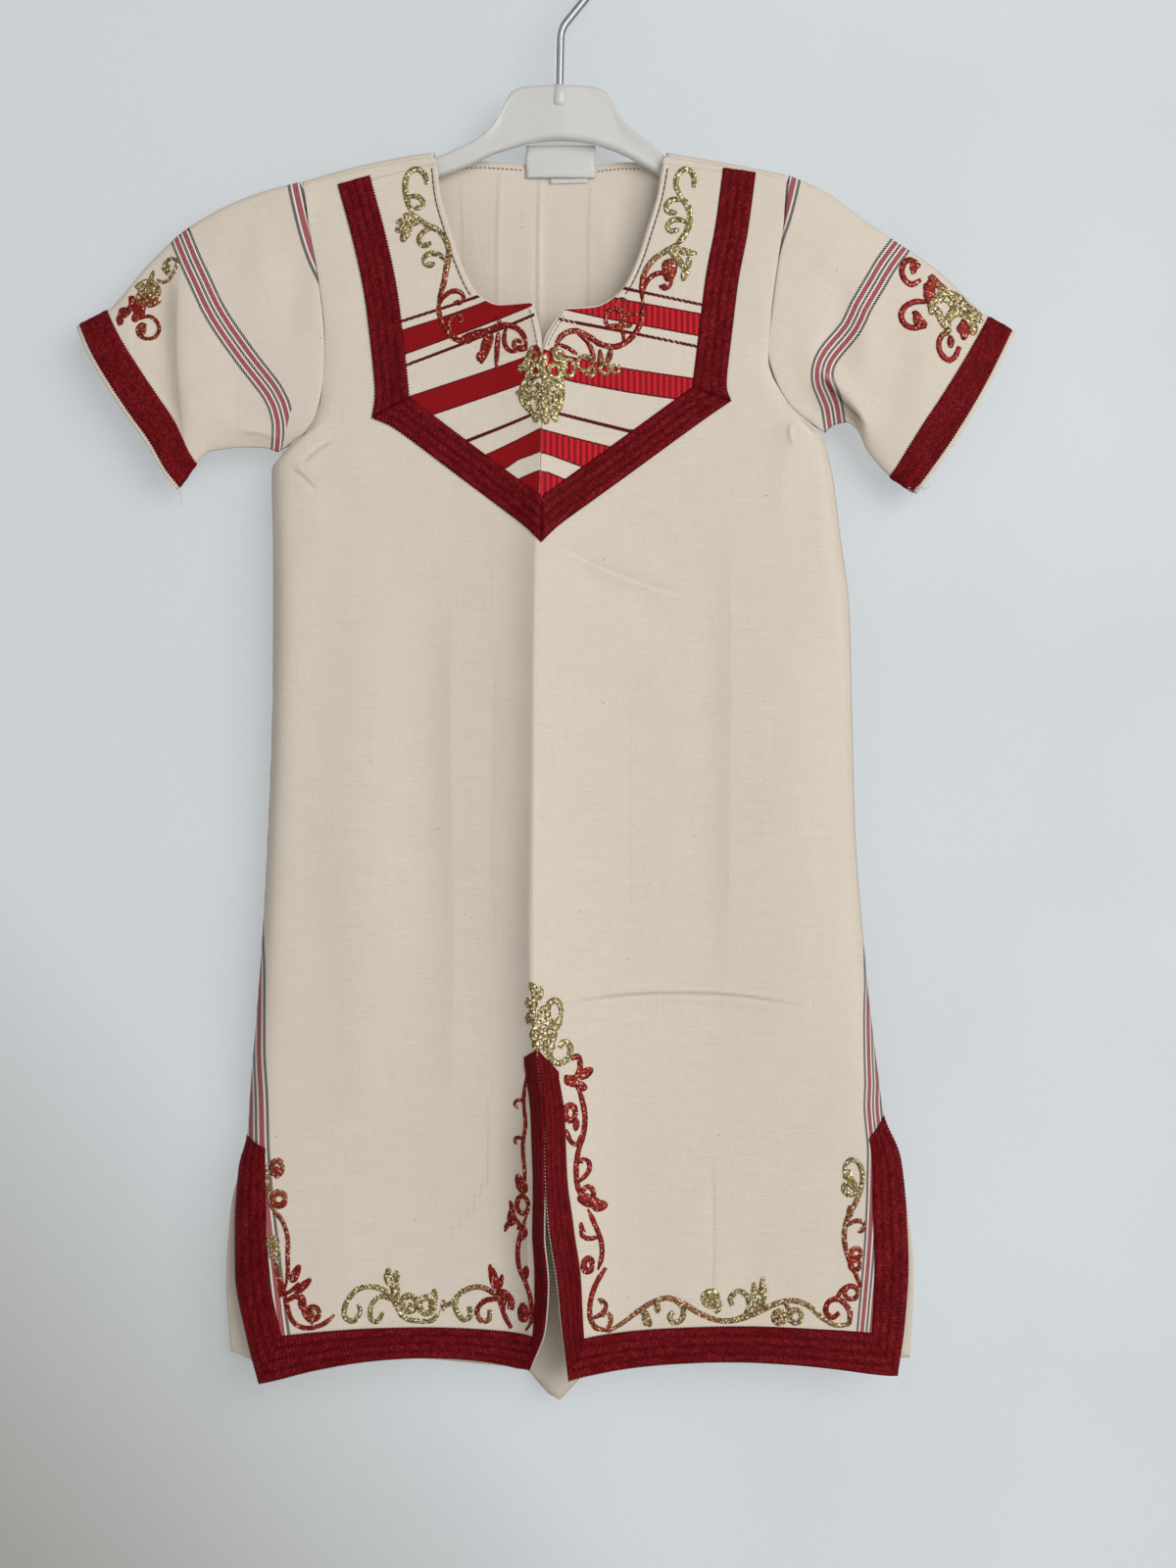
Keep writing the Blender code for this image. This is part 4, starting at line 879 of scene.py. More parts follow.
def bib_material(name, ribbed):
    s = Shader(name)
    cloth = s.attribute("cloth")
    colour, slub = cotton_colour(s, cloth)
    stripe = s.split(s.attribute("stripe"))
    inside, line = stripe[0], stripe[1]
    grain = s.noise(s.scaled(cloth, 2.2, 1.2), 1.0, 2.0)
    wobble = s.math("MULTIPLY_ADD", grain, 0.7, -0.35)
    within = s.math("ADD", inside, wobble)
    # The ribbed half's red is painted lighter, with painted highlights on the rib crests; the flat half's red is
    # painted darker, as the shaded side.
    if ribbed:
        x = s.split(cloth)[0]
        rib = s.math("SINE", s.math("MULTIPLY", x, 2 * math.pi / 3.0))
        red = s.mix(s.spread(rib, -0.9, 0.7), (0.17, 0.004, 0.007), (0.56, 0.012, 0.022))
        red = s.mix(s.spread(grain, 0.45, 0.75, 0.0, 0.5), red, (0.62, 0.045, 0.06))
    else:
        red = s.mix(s.spread(grain, 0.35, 0.70), (0.215, 0.0035, 0.0055), (0.275, 0.006, 0.009))
    colour = s.mix(s.spread(within, -0.12, 0.12), colour, MAROON)
    colour = s.mix(s.spread(within, 0.62, 0.95), colour, red)
    colour = s.mix(s.spread(s.math("MULTIPLY_ADD", wobble, 0.6, line), -0.12, 0.12), colour, MAROON)
    height = weave_height(s, cloth, slub)
    return s.set(Base_Color=colour, Roughness=0.80, Specular_IOR_Level=0.10,
                 Normal=s.bump(height, 0.07))


def braid_material():
    """Dark red braid: slanted threads, painted shade in the grooves, painted pinkish highlights on top."""
    s = Shader("dark_red_woven_braid_painted_shading")
    cloth = s.attribute("cloth")
    parts = s.split(cloth)
    thread = s.noise(s.scaled(cloth, 0.80, 0.62), 1.0, 3.0, 0.65)
    fine = s.noise(s.scaled(cloth, 2.2, 1.4), 1.0, 2.0)
    patch = s.noise(s.scaled(cloth, 0.30, 0.16), 1.0, 2.0)
    slow = s.noise(s.scaled(cloth, 0.06, 0.05), 1.0, 2.0)
    slant = s.math("SINE", s.math("MULTIPLY_ADD", parts[0], 3.1, s.math("MULTIPLY", parts[1], 3.4)))
    # Painted shading of the ribs: darker in the grooves, lighter on the crests, from the crest tone of braid_profile.
    painted_rib_shading = s.math("MULTIPLY_ADD", slant, 0.16, parts[2])
    colour = s.mix(s.spread(painted_rib_shading, 0.0, 0.80), (0.052, 0.0009, 0.0013), (0.132, 0.0026, 0.0036))
    colour = s.mix(s.spread(patch, 0.42, 0.66, 0.0, 0.55), colour, (0.168, 0.0060, 0.0090))
    # Painted pinkish highlights where threads lie on the crests.
    painted_sheen = s.math("MULTIPLY", s.spread(thread, 0.47, 0.66), s.spread(painted_rib_shading, 0.05, 0.65))
    colour = s.mix(s.math("MULTIPLY", painted_sheen, 0.60), colour, (0.335, 0.031, 0.045))
    colour = s.mix(s.spread(fine, 0.48, 0.75, 0.0, 0.45), colour, (0.048, 0.0009, 0.0013))
    colour = s.mix(s.spread(slow, 0.40, 0.72, 0.0, 0.30), colour, (0.070, 0.0014, 0.0020))
    height = s.math("MULTIPLY_ADD", slant, 0.40, s.math("MULTIPLY", thread, 1.2))
    return s.set(Base_Color=colour, Roughness=0.52, Specular_IOR_Level=0.10,
                 Specular_Tint=(1.0, 0.36, 0.40, 1.0), Normal=s.bump(height, 0.20))


def glitter_material():
    """Raised glitter print, from gold through copper to red by tone."""
    s = Shader("glitter_print_painted_glints")
    cloth = s.attribute("cloth")
    tone = s.attribute("tone", "Fac")
    cells = s.tree.nodes.new("ShaderNodeTexVoronoi")
    cells.inputs["Scale"].default_value = 1.0
    s.tree.links.new(s.scaled(cloth, 1.45, 1.45, 1.45), cells.inputs["Vector"])
    pick = s.split(cells.outputs["Color"])
    gold = s.mix(s.spread(pick[0], 0.15, 0.85), (0.082, 0.058, 0.021), (0.37, 0.275, 0.112))
    # Painted glints: a few cells of the gold are painted near white, and a few of the red are painted light red.
    gold = s.mix(s.spread(pick[1], 0.80, 0.90), gold, (1.0, 0.92, 0.62))
    red = s.mix(s.spread(pick[0], 0.15, 0.85), (0.075, 0.0025, 0.002), (0.31, 0.020, 0.011))
    red = s.mix(s.spread(pick[1], 0.90, 0.95), red, (0.75, 0.30, 0.20))
    blend = s.math("ADD", tone, s.math("MULTIPLY_ADD", pick[2], 0.30, -0.15))
    colour = s.mix(s.spread(blend, 0.30, 0.70), gold, red)
    return s.set(Base_Color=colour, Metallic=0.35, Roughness=0.40, Specular_IOR_Level=0.20,
                 Normal=s.bump(pick[0], 0.30))


def plain_material(name, colour, roughness, speck=0.08, **more):
    s = Shader(name)
    where = s.tree.nodes.new("ShaderNodeTexCoord").outputs["Object"]
    grain = s.noise(s.scaled(where, 900.0, 900.0, 900.0), 1.0, 3.0)
    slow = s.noise(s.scaled(where, 24.0, 24.0, 24.0), 1.0, 2.0)
    dark = tuple(c * (1 - speck) for c in colour)
    tone = s.mix(s.spread(grain, 0.35, 0.7), colour, dark)
    tone = s.mix(s.spread(slow, 0.4, 0.7, 0.0, 0.5), tone, dark)
    return s.set(Base_Color=tone, Roughness=roughness, Normal=s.bump(grain, 0.02), **more)


def wall_material():
    """Pale wall that shows from in front only.  It glows with painted light over a weak diffuse part, so the shadows on
    it stay light; the glow is brighter to the right and has painted shade towards the lower left.
    """
    s = Shader("pale_wall_painted_light")
    where = s.tree.nodes.new("ShaderNodeTexCoord").outputs["Object"]
    slow = s.noise(s.scaled(where, 5.0, 5.0, 5.0), 1.0, 2.0)
    fine = s.noise(s.scaled(where, 260.0, 260.0, 260.0), 1.0, 3.0)
    parts = s.split(where)
    # Painted light: the wall's glow, brighter to the right.
    painted_wall_light = s.mix(s.spread(parts[0], -0.34, 0.34), (0.318, 0.338, 0.349), (0.372, 0.397, 0.412))
    painted_wall_light = s.mix(s.spread(slow, 0.35, 0.7), painted_wall_light, (0.318, 0.339, 0.352))
    # Painted shade towards the lower left of the wall.
    low = s.math("ADD", s.math("MULTIPLY", parts[0], 1.1), parts[2])
    painted_wall_light = s.mix(s.spread(low, -1.14, -0.80, 1.0, 0.0), painted_wall_light, (0.090, 0.072, 0.048))
    s.set(Base_Color=(0.300, 0.314, 0.322, 1.0), Roughness=0.95, Specular_IOR_Level=0.1,
          Emission_Color=painted_wall_light, Emission_Strength=1.0, Normal=s.bump(fine, 0.15))
    clear = s.tree.nodes.new("ShaderNodeBsdfTransparent")
    both = s.tree.nodes.new("ShaderNodeMixShader")
    geometry = s.tree.nodes.new("ShaderNodeNewGeometry")
    out = s.tree.nodes["Material Output"]
    s.tree.links.new(geometry.outputs["Backfacing"], both.inputs[0])
    s.tree.links.new(s.main.outputs[0], both.inputs[1])
    s.tree.links.new(clear.outputs[0], both.inputs[2])
    s.tree.links.new(both.outputs[0], out.inputs["Surface"])
    s.material.cycles.emission_sampling = "NONE"
    return s.material


COTTON = cotton_material("cream_slub_cotton")
BIB_CLOTH = {"left": bib_material("bib_cloth_flat_painted_shade", False),
             "right": bib_material("bib_cloth_ribbed_painted_highlight", True)}
BRAID = braid_material()
GLITTER = glitter_material()
PLASTIC = plain_material("milky_plastic", (0.66, 0.655, 0.625), 0.34, 0.04,
                         Subsurface_Weight=0.18, Subsurface_Scale=0.004,
                         Transmission_Weight=0.10, IOR=1.49, Coat_Weight=0.15,
                         Coat_Roughness=0.2)
STEEL = plain_material("grey_wire", (0.43, 0.44, 0.45), 0.36, 0.25, Metallic=0.75)
DARK_THREAD = plain_material("dark_thread", (0.060, 0.030, 0.032), 0.7)
PALE_THREAD = plain_material("pale_thread", (0.60, 0.52, 0.43), 0.8)


def label_material():
    s = Shader("bare_satin_label")
    cloth = s.attribute("cloth")
    lines = s.noise(s.scaled(cloth, 0.5, 6.0), 1.0, 2.0)
    spots = s.noise(s.scaled(cloth, 2.0, 2.0), 1.0, 3.0)
    colour = s.mix(s.spread(lines, 0.35, 0.7), (0.60, 0.60, 0.575), (0.56, 0.56, 0.535))
    return s.set(Base_Color=colour, Roughness=0.5, Specular_IOR_Level=0.4,
                 Normal=s.bump(s.math("ADD", lines, spots), 0.04))


LABEL_CLOTH = label_material()

# ------------------------------------------------------------ woven stripes
# The black line of each band, in the photograph's frame, and how wide the
# band looks there: mm between two black lines.
SIDE_LEFT = [(255, 860), (263, 930), (266.8, 975), (268, 993), (269, 1066), (269.6, 1083),
             (272.3, 1119), (273.8, 1171), (278, 1220), (284, 1270), (291, 1330), (298, 1380)]
SIDE_RIGHT = [(890, 860), (886, 940), (884.4, 980), (884.8, 1002), (883, 1034), (882.8, 1085),
              (883.4, 1107), (882.2, 1129), (883.7, 1148), (885.4, 1167), (885.4, 1190),
              (882, 1270), (873, 1370)]
SLEEVE_BANDS = {
    "left": (([(181, 236), (192, 262), (201.5, 282), (220, 320), (248.7, 362), (277, 399),
               (285.6, 420), (287.4, 438), (283.5, 462)], 5.2, "centre"),
             ([(292.6, 184), (299, 212), (307.6, 244.3), (316, 268), (325.3, 287), (333, 304)],
              6.3, "right")),
    "right": (([(921, 246), (905, 268), (893.8, 286.9), (878.5, 312.8), (869, 333),
                (846.6, 360), (839.8, 376.5), (841, 391), (850, 410), (856, 440)], 5.2, "centre"),
              ([(818, 176), (812, 202), (806.3, 223), (798.5, 246), (792, 268)], 5.8, "left")),
}


def band_field(points, x, z, spacing, outward):
    """Across and along a woven band; across is 0, 5.2 and 10.4 at the blacks."""
    path = spline([at(*p) for p in points], 6.0)
    d, run, side, _ = nearest(path, x, z)
    u = d * side * outward * (5.2 / spacing)
    return u, run


def with_mask(u, v):
    return np.stack([u, v, (np.abs(u - 5.2) < 9.5).astype(float)], -1)


def sleeve_band(side, x, z):
    best_u = np.full(np.shape(x), 99.0)
    best_v = np.zeros(np.shape(x))
    for points, spacing, where in SLEEVE_BANDS[side]:
        if where == "centre":
            u, v = band_field(points, x, z, spacing, 1.0)
            u = u + 5.2
        else:
            # the paths run downwards, so their left-hand side is at +x
            u, v = band_field(points, x, z, spacing, 1.0 if where == "right" else -1.0)
        take = np.abs(u - 5.2) < np.abs(best_u - 5.2)
        best_u = np.where(take, u, best_u)
        best_v = np.where(take, v, best_v)
    field = with_mask(best_u, best_v)
    if side == "left":      # the inner line runs under at the armhole seam
        (ax, az), (bx, bz) = at(294, 424), at(283, 461)
        past = ((x - ax) * (az - bz) - (z - az) * (ax - bx)) / math.hypot(ax - bx, az - bz)
        keep = np.clip(0.5 - 0.3 * past, 0, 1)
        field[..., 2] *= np.where(z < at(294, 392)[1], keep, 1.0)
    return field


# ---------------------------------------------------------------- the front
CLOTH_WALL = 0.75


def section_places(count=58, ends=0.62):
    u = np.linspace(0, 1, count + 1)
    return u - ends * np.sin(2 * math.pi * u) / (2 * math.pi)


def row_positions(step=2.9):
    out = []
    for r in range(len(FRONT_LEFT) - 1):
        gap = max(abs(FRONT_LEFT[r][2] - FRONT_LEFT[r + 1][2]),
                  abs(FRONT_LEFT[r][4] - FRONT_LEFT[r + 1][4]),
                  abs(FRONT_RIGHT[r][4] - FRONT_RIGHT[r + 1][4]))
        n = int(math.ceil(gap / step))
        out += [r + k / n for k in range(n)]
    return np.array(out + [len(FRONT_LEFT) - 1.0])


def side_band(x, z):
    left_u, left_v = band_field(SIDE_LEFT, x, z, 6.3, -1.0)
    right_u, right_v = band_field(SIDE_RIGHT, x, z, 4.6, 1.0)
    use_left = x < 0
    return with_mask(np.where(use_left, left_u, right_u), np.where(use_left, left_v, right_v))


# Painted crease shading on the front, one row a line: strength of the painted shade line (a painted light line below
# 0), painted shade on the left of the way, then the line's points.
FRONT_PAINTED_CREASE_SHADING = (
    (0.34, 0.0, (572, 1022), (640, 1014), (700, 1013), (760, 1016), (828, 1027)),
    (-0.22, 0.05, (562, 556), (602, 576), (655, 597), (714, 615)),
    (0.02, 0.06, (458, 1180), (462, 960), (459, 760), (461, 560)),
    (0.0, 0.08, (745, 985), (744, 880), (746, 700), (745, 520)),
    (0.14, 0.0, (728, 1170), (729, 1250), (728, 1350)),
    (0.30, 0.10, (296, 476), (310, 486), (324, 501)),
    (0.30, 0.0, (342, 448), (324, 460), (308, 474)),
    (0.34, 0.10, (808, 456), (804, 442), (806, 430)),
    (0.34, 0.0, (816, 426), (826, 434), (835, 443)),
    (0.0, 0.15, (545, 1066), (545, 800), (546, 470)),
    (0.0, 0.38, (541, 1450), (540, 1330), (537, 1180), (542, 1080)),
)
# Painted crease shading on the back, rows as above.
BACK_PAINTED_CREASE_SHADING = (
    (0.30, 0.0, (549, 390), (547, 280), (549, 150)),
    (0.20, 0.05, (506, 340), (505, 250), (508, 150)),
    (0.16, 0.0, (601, 345), (600, 250), (603, 150)),
    (0.14, 0.0, (468, 320), (470, 240), (467, 170)),
    (0.16, 0.0, (420, 1040), (540, 1048), (660, 1038), (800, 1046)),
    (0.13, 0.0, (460, 480), (458, 760), (462, 980)),
    (0.13, 0.0, (704, 480), (706, 760), (702, 980)),
)
# Painted fold shading on the sleeves, rows as above.
SLEEVE_PAINTED_FOLD_SHADING = {
    "left": ((0.10, 0.20, (191, 478), (183, 420), (179, 350), (181, 268)),
             (0.22, 0.0, (286, 449), (262, 441), (240, 440))),
    "right": ((0.42, 0.46, (888, 438), (876, 421), (864, 409), (848, 392), (832, 374)),
              (0.25, 0.0, (893, 474), (902, 480), (912, 490))),
}


def build_front():
    rows = row_positions()
    places = section_places()
    shared = ((rows >= ROW["neck_slit_end"]) & (rows <= ROW["slit_point"]))
    build = Build()
    centre = None
    for side in ("left", "right"):
        p = rows[:, None]
        x_in, x_out = value(side, "x_in", p), value(side, "x_out", p)
        x = x_in + (x_out - x_in) * places[None]
        z = section_height(side, np.broadcast_to(p, x.shape), x)
        if centre is None:
            centre = np.stack([x[:, 0], z[:, 0]], -1)
        else:
            x[shared, 0], z[shared, 0] = centre[shared, 0], centre[shared, 1]
        points, _ = front_points(x, z)
        build.grid(points, flip=(side == "left"),
                   cloth=np.stack([x, z, np.zeros_like(x)], -1),
                   band=side_band(x, z), press=pressed_lines(FRONT_PAINTED_CREASE_SHADING, x, z))
    return build.make("front_cloth", COTTON, weld=True, wall=CLOTH_WALL)


# ----------------------------------------------------------------- the back
BACK_CREASES = (
    ("ridge", 0.9, 16.0, (420, 330), (428, 560), (418, 800), (430, 1020)),
    ("ridge", -0.8, 20.0, (500, 420), (508, 700), (500, 980)),
    ("pressed", 0.6, 5.0, (462, 500), (460, 800), (464, 1150)),
    ("pressed", 0.6, 5.0, (700, 460), (704, 760), (700, 1120)),
    ("ridge", 0.8, 18.0, (780, 430), (786, 700), (778, 1010)),
    ("ridge", -0.7, 14.0, (340, 620), (346, 840), (338, 1080)),
    ("ridge", 0.6, 8.0, (350, 250), (356, 350), (346, 450)),
    ("ridge", -0.6, 9.0, (770, 240), (764, 340), (774, 440)),
    ("step", 0.5, 6.0, (560, 640), (640, 662), (720, 655)),
    ("pressed", 0.45, 3.0, (380, 1016), (470, 1010), (560, 1019)),
    ("ridge", 0.6, 10.0, (330, 1200), (326, 1290), (334, 1380)),
    ("ridge", -0.5, 11.0, (610, 1180), (620, 1280), (612, 1390)),
    ("ridge", 0.5, 9.0, (820, 1190), (826, 1290), (818, 1390)),
    ("step", -0.4, 5.0, (300, 480), (350, 520), (400, 532)),
    ("ridge", 0.45, 6.0, (838, 470), (820, 530), (816, 600)),
    ("pressed", 0.9, 4.0, (468, 176), (470, 240), (466, 330)),
    ("pressed", -1.1, 4.0, (541, 176), (543, 260), (540, 360)),
    ("pressed", 1.1, 3.5, (556, 176), (555, 270), (557, 380)),
    ("ridge", -0.9, 5.0, (614, 176), (616, 250), (612, 340)),
    ("ridge", 0.7, 6.0, (640, 180), (642, 250), (638, 330)),
    ("ridge", -4.0, 15.0, (700, 60), (690, 190), (668, 262), (640, 350), (620, 420)),
    ("ridge", -9.5, 9.5, (548, 1130), (553, 1210), (560, 1300), (567, 1390), (572, 1580)),
    ("ridge", 1.6, 3.0, (552, 1230), (556, 1310), (559, 1390), (562, 1480)),
)


def back_surface(position, u):
    keys = {name: curve_through([row[k] for row in BACK], position)
            for k, name in enumerate(BACK_COLUMNS) if name != "name"}
    x = keys["x_left"] + (keys["x_right"] - keys["x_left"]) * u
    z = keys["z_left"] + (keys["z_right"] - keys["z_left"]) * u
    top = np.clip(1 - position, 0, 1)
    neck = np.interp(x, [p[0] for p in BACK_NECK], [p[1] for p in BACK_NECK])
    inside = (x > -63.3) & (x < 54.95)
    first = np.where(inside, neck, top_line(x) - 3.0)
    straight = BACK[0][2] + (BACK[0][4] - BACK[0][2]) * u
    z = z + top * (first - straight)
    low = np.clip(position - (len(BACK) - 2), 0, 1)
    hem_x = spline(BACK_HEM, 4.0)
    hem = np.interp(x, hem_x[:, 0], hem_x[:, 1])
    straight = BACK[-1][2] + (BACK[-1][4] - BACK[-1][2]) * u
    z = z + low * (hem - straight)
    edge = np.minimum(np.abs(x - keys["x_left"]), np.abs(x - keys["x_right"]))
    crease = keys["crease"] * np.exp(-(np.sqrt((x - BACK_CREASE_X) ** 2 + 1) - 1) / BACK_FALL)
    y = (keys["plane"] + crease
         - (keys["plane"] - keys["y_edge"]) * np.exp(-edge / EDGE_ROUND))
    relief = creases(BACK_CREASES, x, z) + 0.4 * unevenness(x, z * 0.6, 42.0, 21)
    relief += 0.14 * unevenness(x, z, 14.0, 22)
    hem_ridge = 0.45 * np.exp(-((z - (hem + 7.0)) / 1.2) ** 2) * (position > len(BACK) - 3)
    y = y + (relief + hem_ridge) * smooth01(edge / 8.0)
    return np.stack([x, y, z], -1)


def build_back():
    rows = []
    for r in range(len(BACK) - 1):
        gap = abs(BACK[r][2] - BACK[r + 1][2])
        n = int(math.ceil(gap / 3.4))
        rows += [r + k / n for k in range(n)]
    rows = np.array(rows + [len(BACK) - 1.0])[:, None]
    neck_left = (-63.2 + 130.1) / 246.0
    neck_right = (54.9 + 130.1) / 246.0
    base = section_places(96, 0.5)
    base[np.argmin(abs(base - neck_left))] = neck_left
    base[np.argmin(abs(base - neck_right))] = neck_right
    u = base[None]
    points = back_surface(np.broadcast_to(rows, (len(rows), u.shape[1])),
                          np.broadcast_to(u, (len(rows), u.shape[1])))
    build = Build()
    x, z = points[..., 0], points[..., 2]
    left_line = [(262, 880), (276, 960), (284, 1060), (286, 1180), (290, 1270), (296, 1400)]
    right_line = [(893, 880), (876, 970), (872, 1070), (872, 1180), (870, 1280), (862, 1400)]
    lu, lv = band_field(left_line, x, z, 5.2, -1.0)
    ru, rv = band_field(right_line, x, z, 5.2, 1.0)
    band = with_mask(np.where(x < 0, lu, ru), np.where(x < 0, lv, rv))
    build.grid(points, flip=True, cloth=np.stack([x + 700, z + 300, 0 * x], -1), band=band,
               press=pressed_lines(BACK_PAINTED_CREASE_SHADING, x, z))
    # Over the shoulders, from the back's top edge to the seam with the front.
    turn = spline([(6.3, 3.0), (4.9, 1.1), (2.4, 0.22), (0.0, 0.0), (-2.8, 0.35),
                   (-5.2, 1.6), (-6.35, SHOULDER_SEAM)], 0.9)
    for pick in (x[0] <= -63.15, x[0] >= 54.85):
        xs = x[0][pick]
        fold = []
        for y, drop in turn[::-1]:
            wave = 0.18 * unevenness(xs, xs * 0 + y, 9.0, 31)
            fold.append(np.stack([xs, np.full_like(xs, y) + wave * 0.4, top_line(xs) - drop + 0 * wave], -1))
        fold[-1] = points[0][pick]
        fold = np.array(fold)
        build.grid(fold, flip=True,
                   cloth=np.stack([fold[..., 0] + 700, fold[..., 2] * 0 + 400 + np.arange(len(turn))[:, None],
                                   fold[..., 0] * 0], -1),
                   band=np.zeros(fold.shape), press=np.zeros(fold.shape) + (60.0, 0.0, 0.0))
    return build.make("back_cloth", COTTON, weld=True, wall=CLOTH_WALL)


# -------------------------------------------------------------- the sleeves
SLEEVE_CREASES = {
    ("left", "front"): (
        ("step", 2.3, 4.2, (176, 240), (174, 330), (179, 404), (193, 474)),
        ("ridge", 0.9, 9.0, (212, 290), (212, 370), (216, 440)),
        ("ridge", -1.3, 8.0, (306, 240), (300, 300), (286, 350)),
        ("ridge", 0.8, 8.0, (262, 215), (266, 270), (256, 330)),
        ("ridge", 0.8, 5.0, (288, 452), (262, 438), (236, 436)),
        ("ridge", -0.6, 5.0, (276, 430), (246, 418), (220, 420)),
        ("ridge", 0.5, 6.0, (140, 330), (150, 360), (170, 400))),
    ("left", "back"): (
        ("ridge", 0.9, 8.0, (290, 240), (280, 320), (262, 390)),
        ("step", 0.9, 7.0, (220, 260), (216, 340), (222, 430)),
        ("ridge", -0.7, 6.0, (282, 440), (240, 430), (206, 440)),
        ("ridge", 0.6, 8.0, (176, 300), (182, 360), (196, 420))),
    ("right", "front"): (
        ("ridge", -1.5, 8.0, (848, 262), (858, 312), (862, 356), (872, 392)),
        ("ridge", 1.2, 8.0, (886, 300), (884, 340), (890, 386)),
        ("step", 2.4, 1.8, (834, 374), (853, 396), (872, 417), (888, 452)),
        ("ridge", 0.8, 6.0, (826, 330), (828, 372), (838, 410)),
        ("ridge", 0.7, 9.0, (860, 220), (852, 262), (836, 300)),
        ("ridge", -0.6, 8.0, (930, 330), (914, 380), (900, 430)),
        ("ridge", 0.6, 9.0, (958, 320), (944, 380), (920, 440)),
        ("pressed", 0.7, 3.0, (893, 474), (902, 480), (912, 490))),
    ("right", "back"): (
        ("ridge", 1.0, 8.0, (846, 250), (852, 320), (862, 390)),
        ("step", -0.9, 6.0, (910, 280), (904, 350), (892, 430)),
        ("ridge", -0.6, 6.0, (848, 400), (880, 410), (905, 440)),
        ("ridge", 0.6, 8.0, (950, 320), (936, 390), (918, 440))),
}


def sleeve_faces(side, around=60, along=84):
    """Fine points of a sleeve's two faces: stations x places, low to top."""
    table = SLEEVE_LEFT if side == "left" else SLEEVE_RIGHT
    cuff = CUFF_LEFT if side == "left" else CUFF_RIGHT
    given = np.array([row[0] for row in table])
    s = np.linspace(0, 1, along + 1)
    position = np.interp(s, given, np.arange(len(given)))
    columns = {k: curve_through([row[i] for row in table], position)
               for i, k in enumerate(SLEEVE_COLUMNS)}
    zero = np.zeros_like(s)
    tops = np.stack([columns["top_x"], zero, columns["top_z"]], -1)
    lows = np.stack([columns["low_x"], zero, columns["low_z"]], -1)
    inward = 1.0 if side == "left" else -1.0
    q = section_places(around, 0.45)
    faces = {}
    for face in ("front", "back"):
        sign = -1.0 if face == "front" else 1.0
        edge = []
        for name in ARMHOLE_NAMES:
            row = (FRONT_LEFT if side == "left" else FRONT_RIGHT)[ROW[name]]
            y = (FRONT_FORM[ROW[name]][1] if face == "front"
                 else next(b for b in BACK if b[0] == name)[5])
            edge.append((row[3] - inward * 0.15, y * 0.97, row[4]))
        shoulder = tops[0] + np.array([0.3 * inward, sign * 4.8, -2.4])
        start = spline([lows[0]] + edge + [shoulder, tops[0]], 2.0)
        a = resample(start, q)
        k = resample(spline([(x, 0.0, z) for x, z in cuff], 2.0), q)
        k[:, 1] = sign * CUFF_DEPTH * np.sqrt(np.clip(1 - np.abs(2 * q - 1) ** 3, 0, 1))
        S, Q = s[:, None, None], q[None, :, None]
        corners = ((lows[0] * (1 - Q) + tops[0] * Q) * (1 - S)
                   + (lows[-1] * (1 - Q) + tops[-1] * Q) * S)
        grid = (a[None] * (1 - S) + k[None] * S + lows[:, None] * (1 - Q)
                + tops[:, None] * Q - corners)
        x, z = grid[..., 0], grid[..., 2]
        relief = creases(SLEEVE_CREASES[(side, face)], x, z)
        relief += 0.32 * unevenness(x, z, 26.0, 41 if side == "left" else 43)
        relief += 0.12 * unevenness(x + 60, z, 9.0, 42)
        seam, run, _, _ = nearest(armhole_path(side), x, z)
        relief -= (0.65 * np.exp(-seam / 1.8)
                   + 0.15 * np.sin(run * 0.95) * np.exp(-seam / 4.0))
        hold = smooth01(np.sin(math.pi * np.broadcast_to(q[None], x.shape)) / 0.20)
        keep = 1 - 0.75 * smooth01((np.broadcast_to(s[:, None], x.shape) - 0.80) / 0.08)
        grid[..., 1] += sign * relief * hold * keep
        faces[face] = grid
    return s, q, faces


SLEEVES = {side: sleeve_faces(side) for side in ("left", "right")}


def sleeve_loop(side):
    s, q, faces = SLEEVES[side]
    loop = np.concatenate([faces["front"], faces["back"][:, ::-1][:, 1:-1]], 1)
    return s, loop


def build_sleeve(side):
    s, loop = sleeve_loop(side)
    x, z = loop[..., 0], loop[..., 2]
    n, m = x.shape
    angle = math.radians(-24 if side == "left" else 27)
    turned = np.stack([x * math.cos(angle) - z * math.sin(angle) + 900,
                       x * math.sin(angle) + z * math.cos(angle), 0 * x], -1)
    press = pressed_lines(SLEEVE_PAINTED_FOLD_SHADING[side], x, z)
    press[:, m // 2 + 1:, 1:] = 0.0
    build = Build()
    build.grid(loop, flip=(side == "left"), wrap=True, cloth=turned,
               band=sleeve_band(side, x, z), press=press)
    return build.make("sleeve_cloth_" + side, COTTON, wall=CLOTH_WALL)


def loop_normals(loop, side):
    along = np.gradient(loop, axis=0)
    around = np.roll(loop, -1, 1) - np.roll(loop, 1, 1)
    normal = np.cross(along, around)
    if side == "left":
        normal = -normal
    return normal / (np.linalg.norm(normal, axis=-1, keepdims=True) + 1e-9)


# ----------------------------------------------------------------- braid
PICOT = 1.55


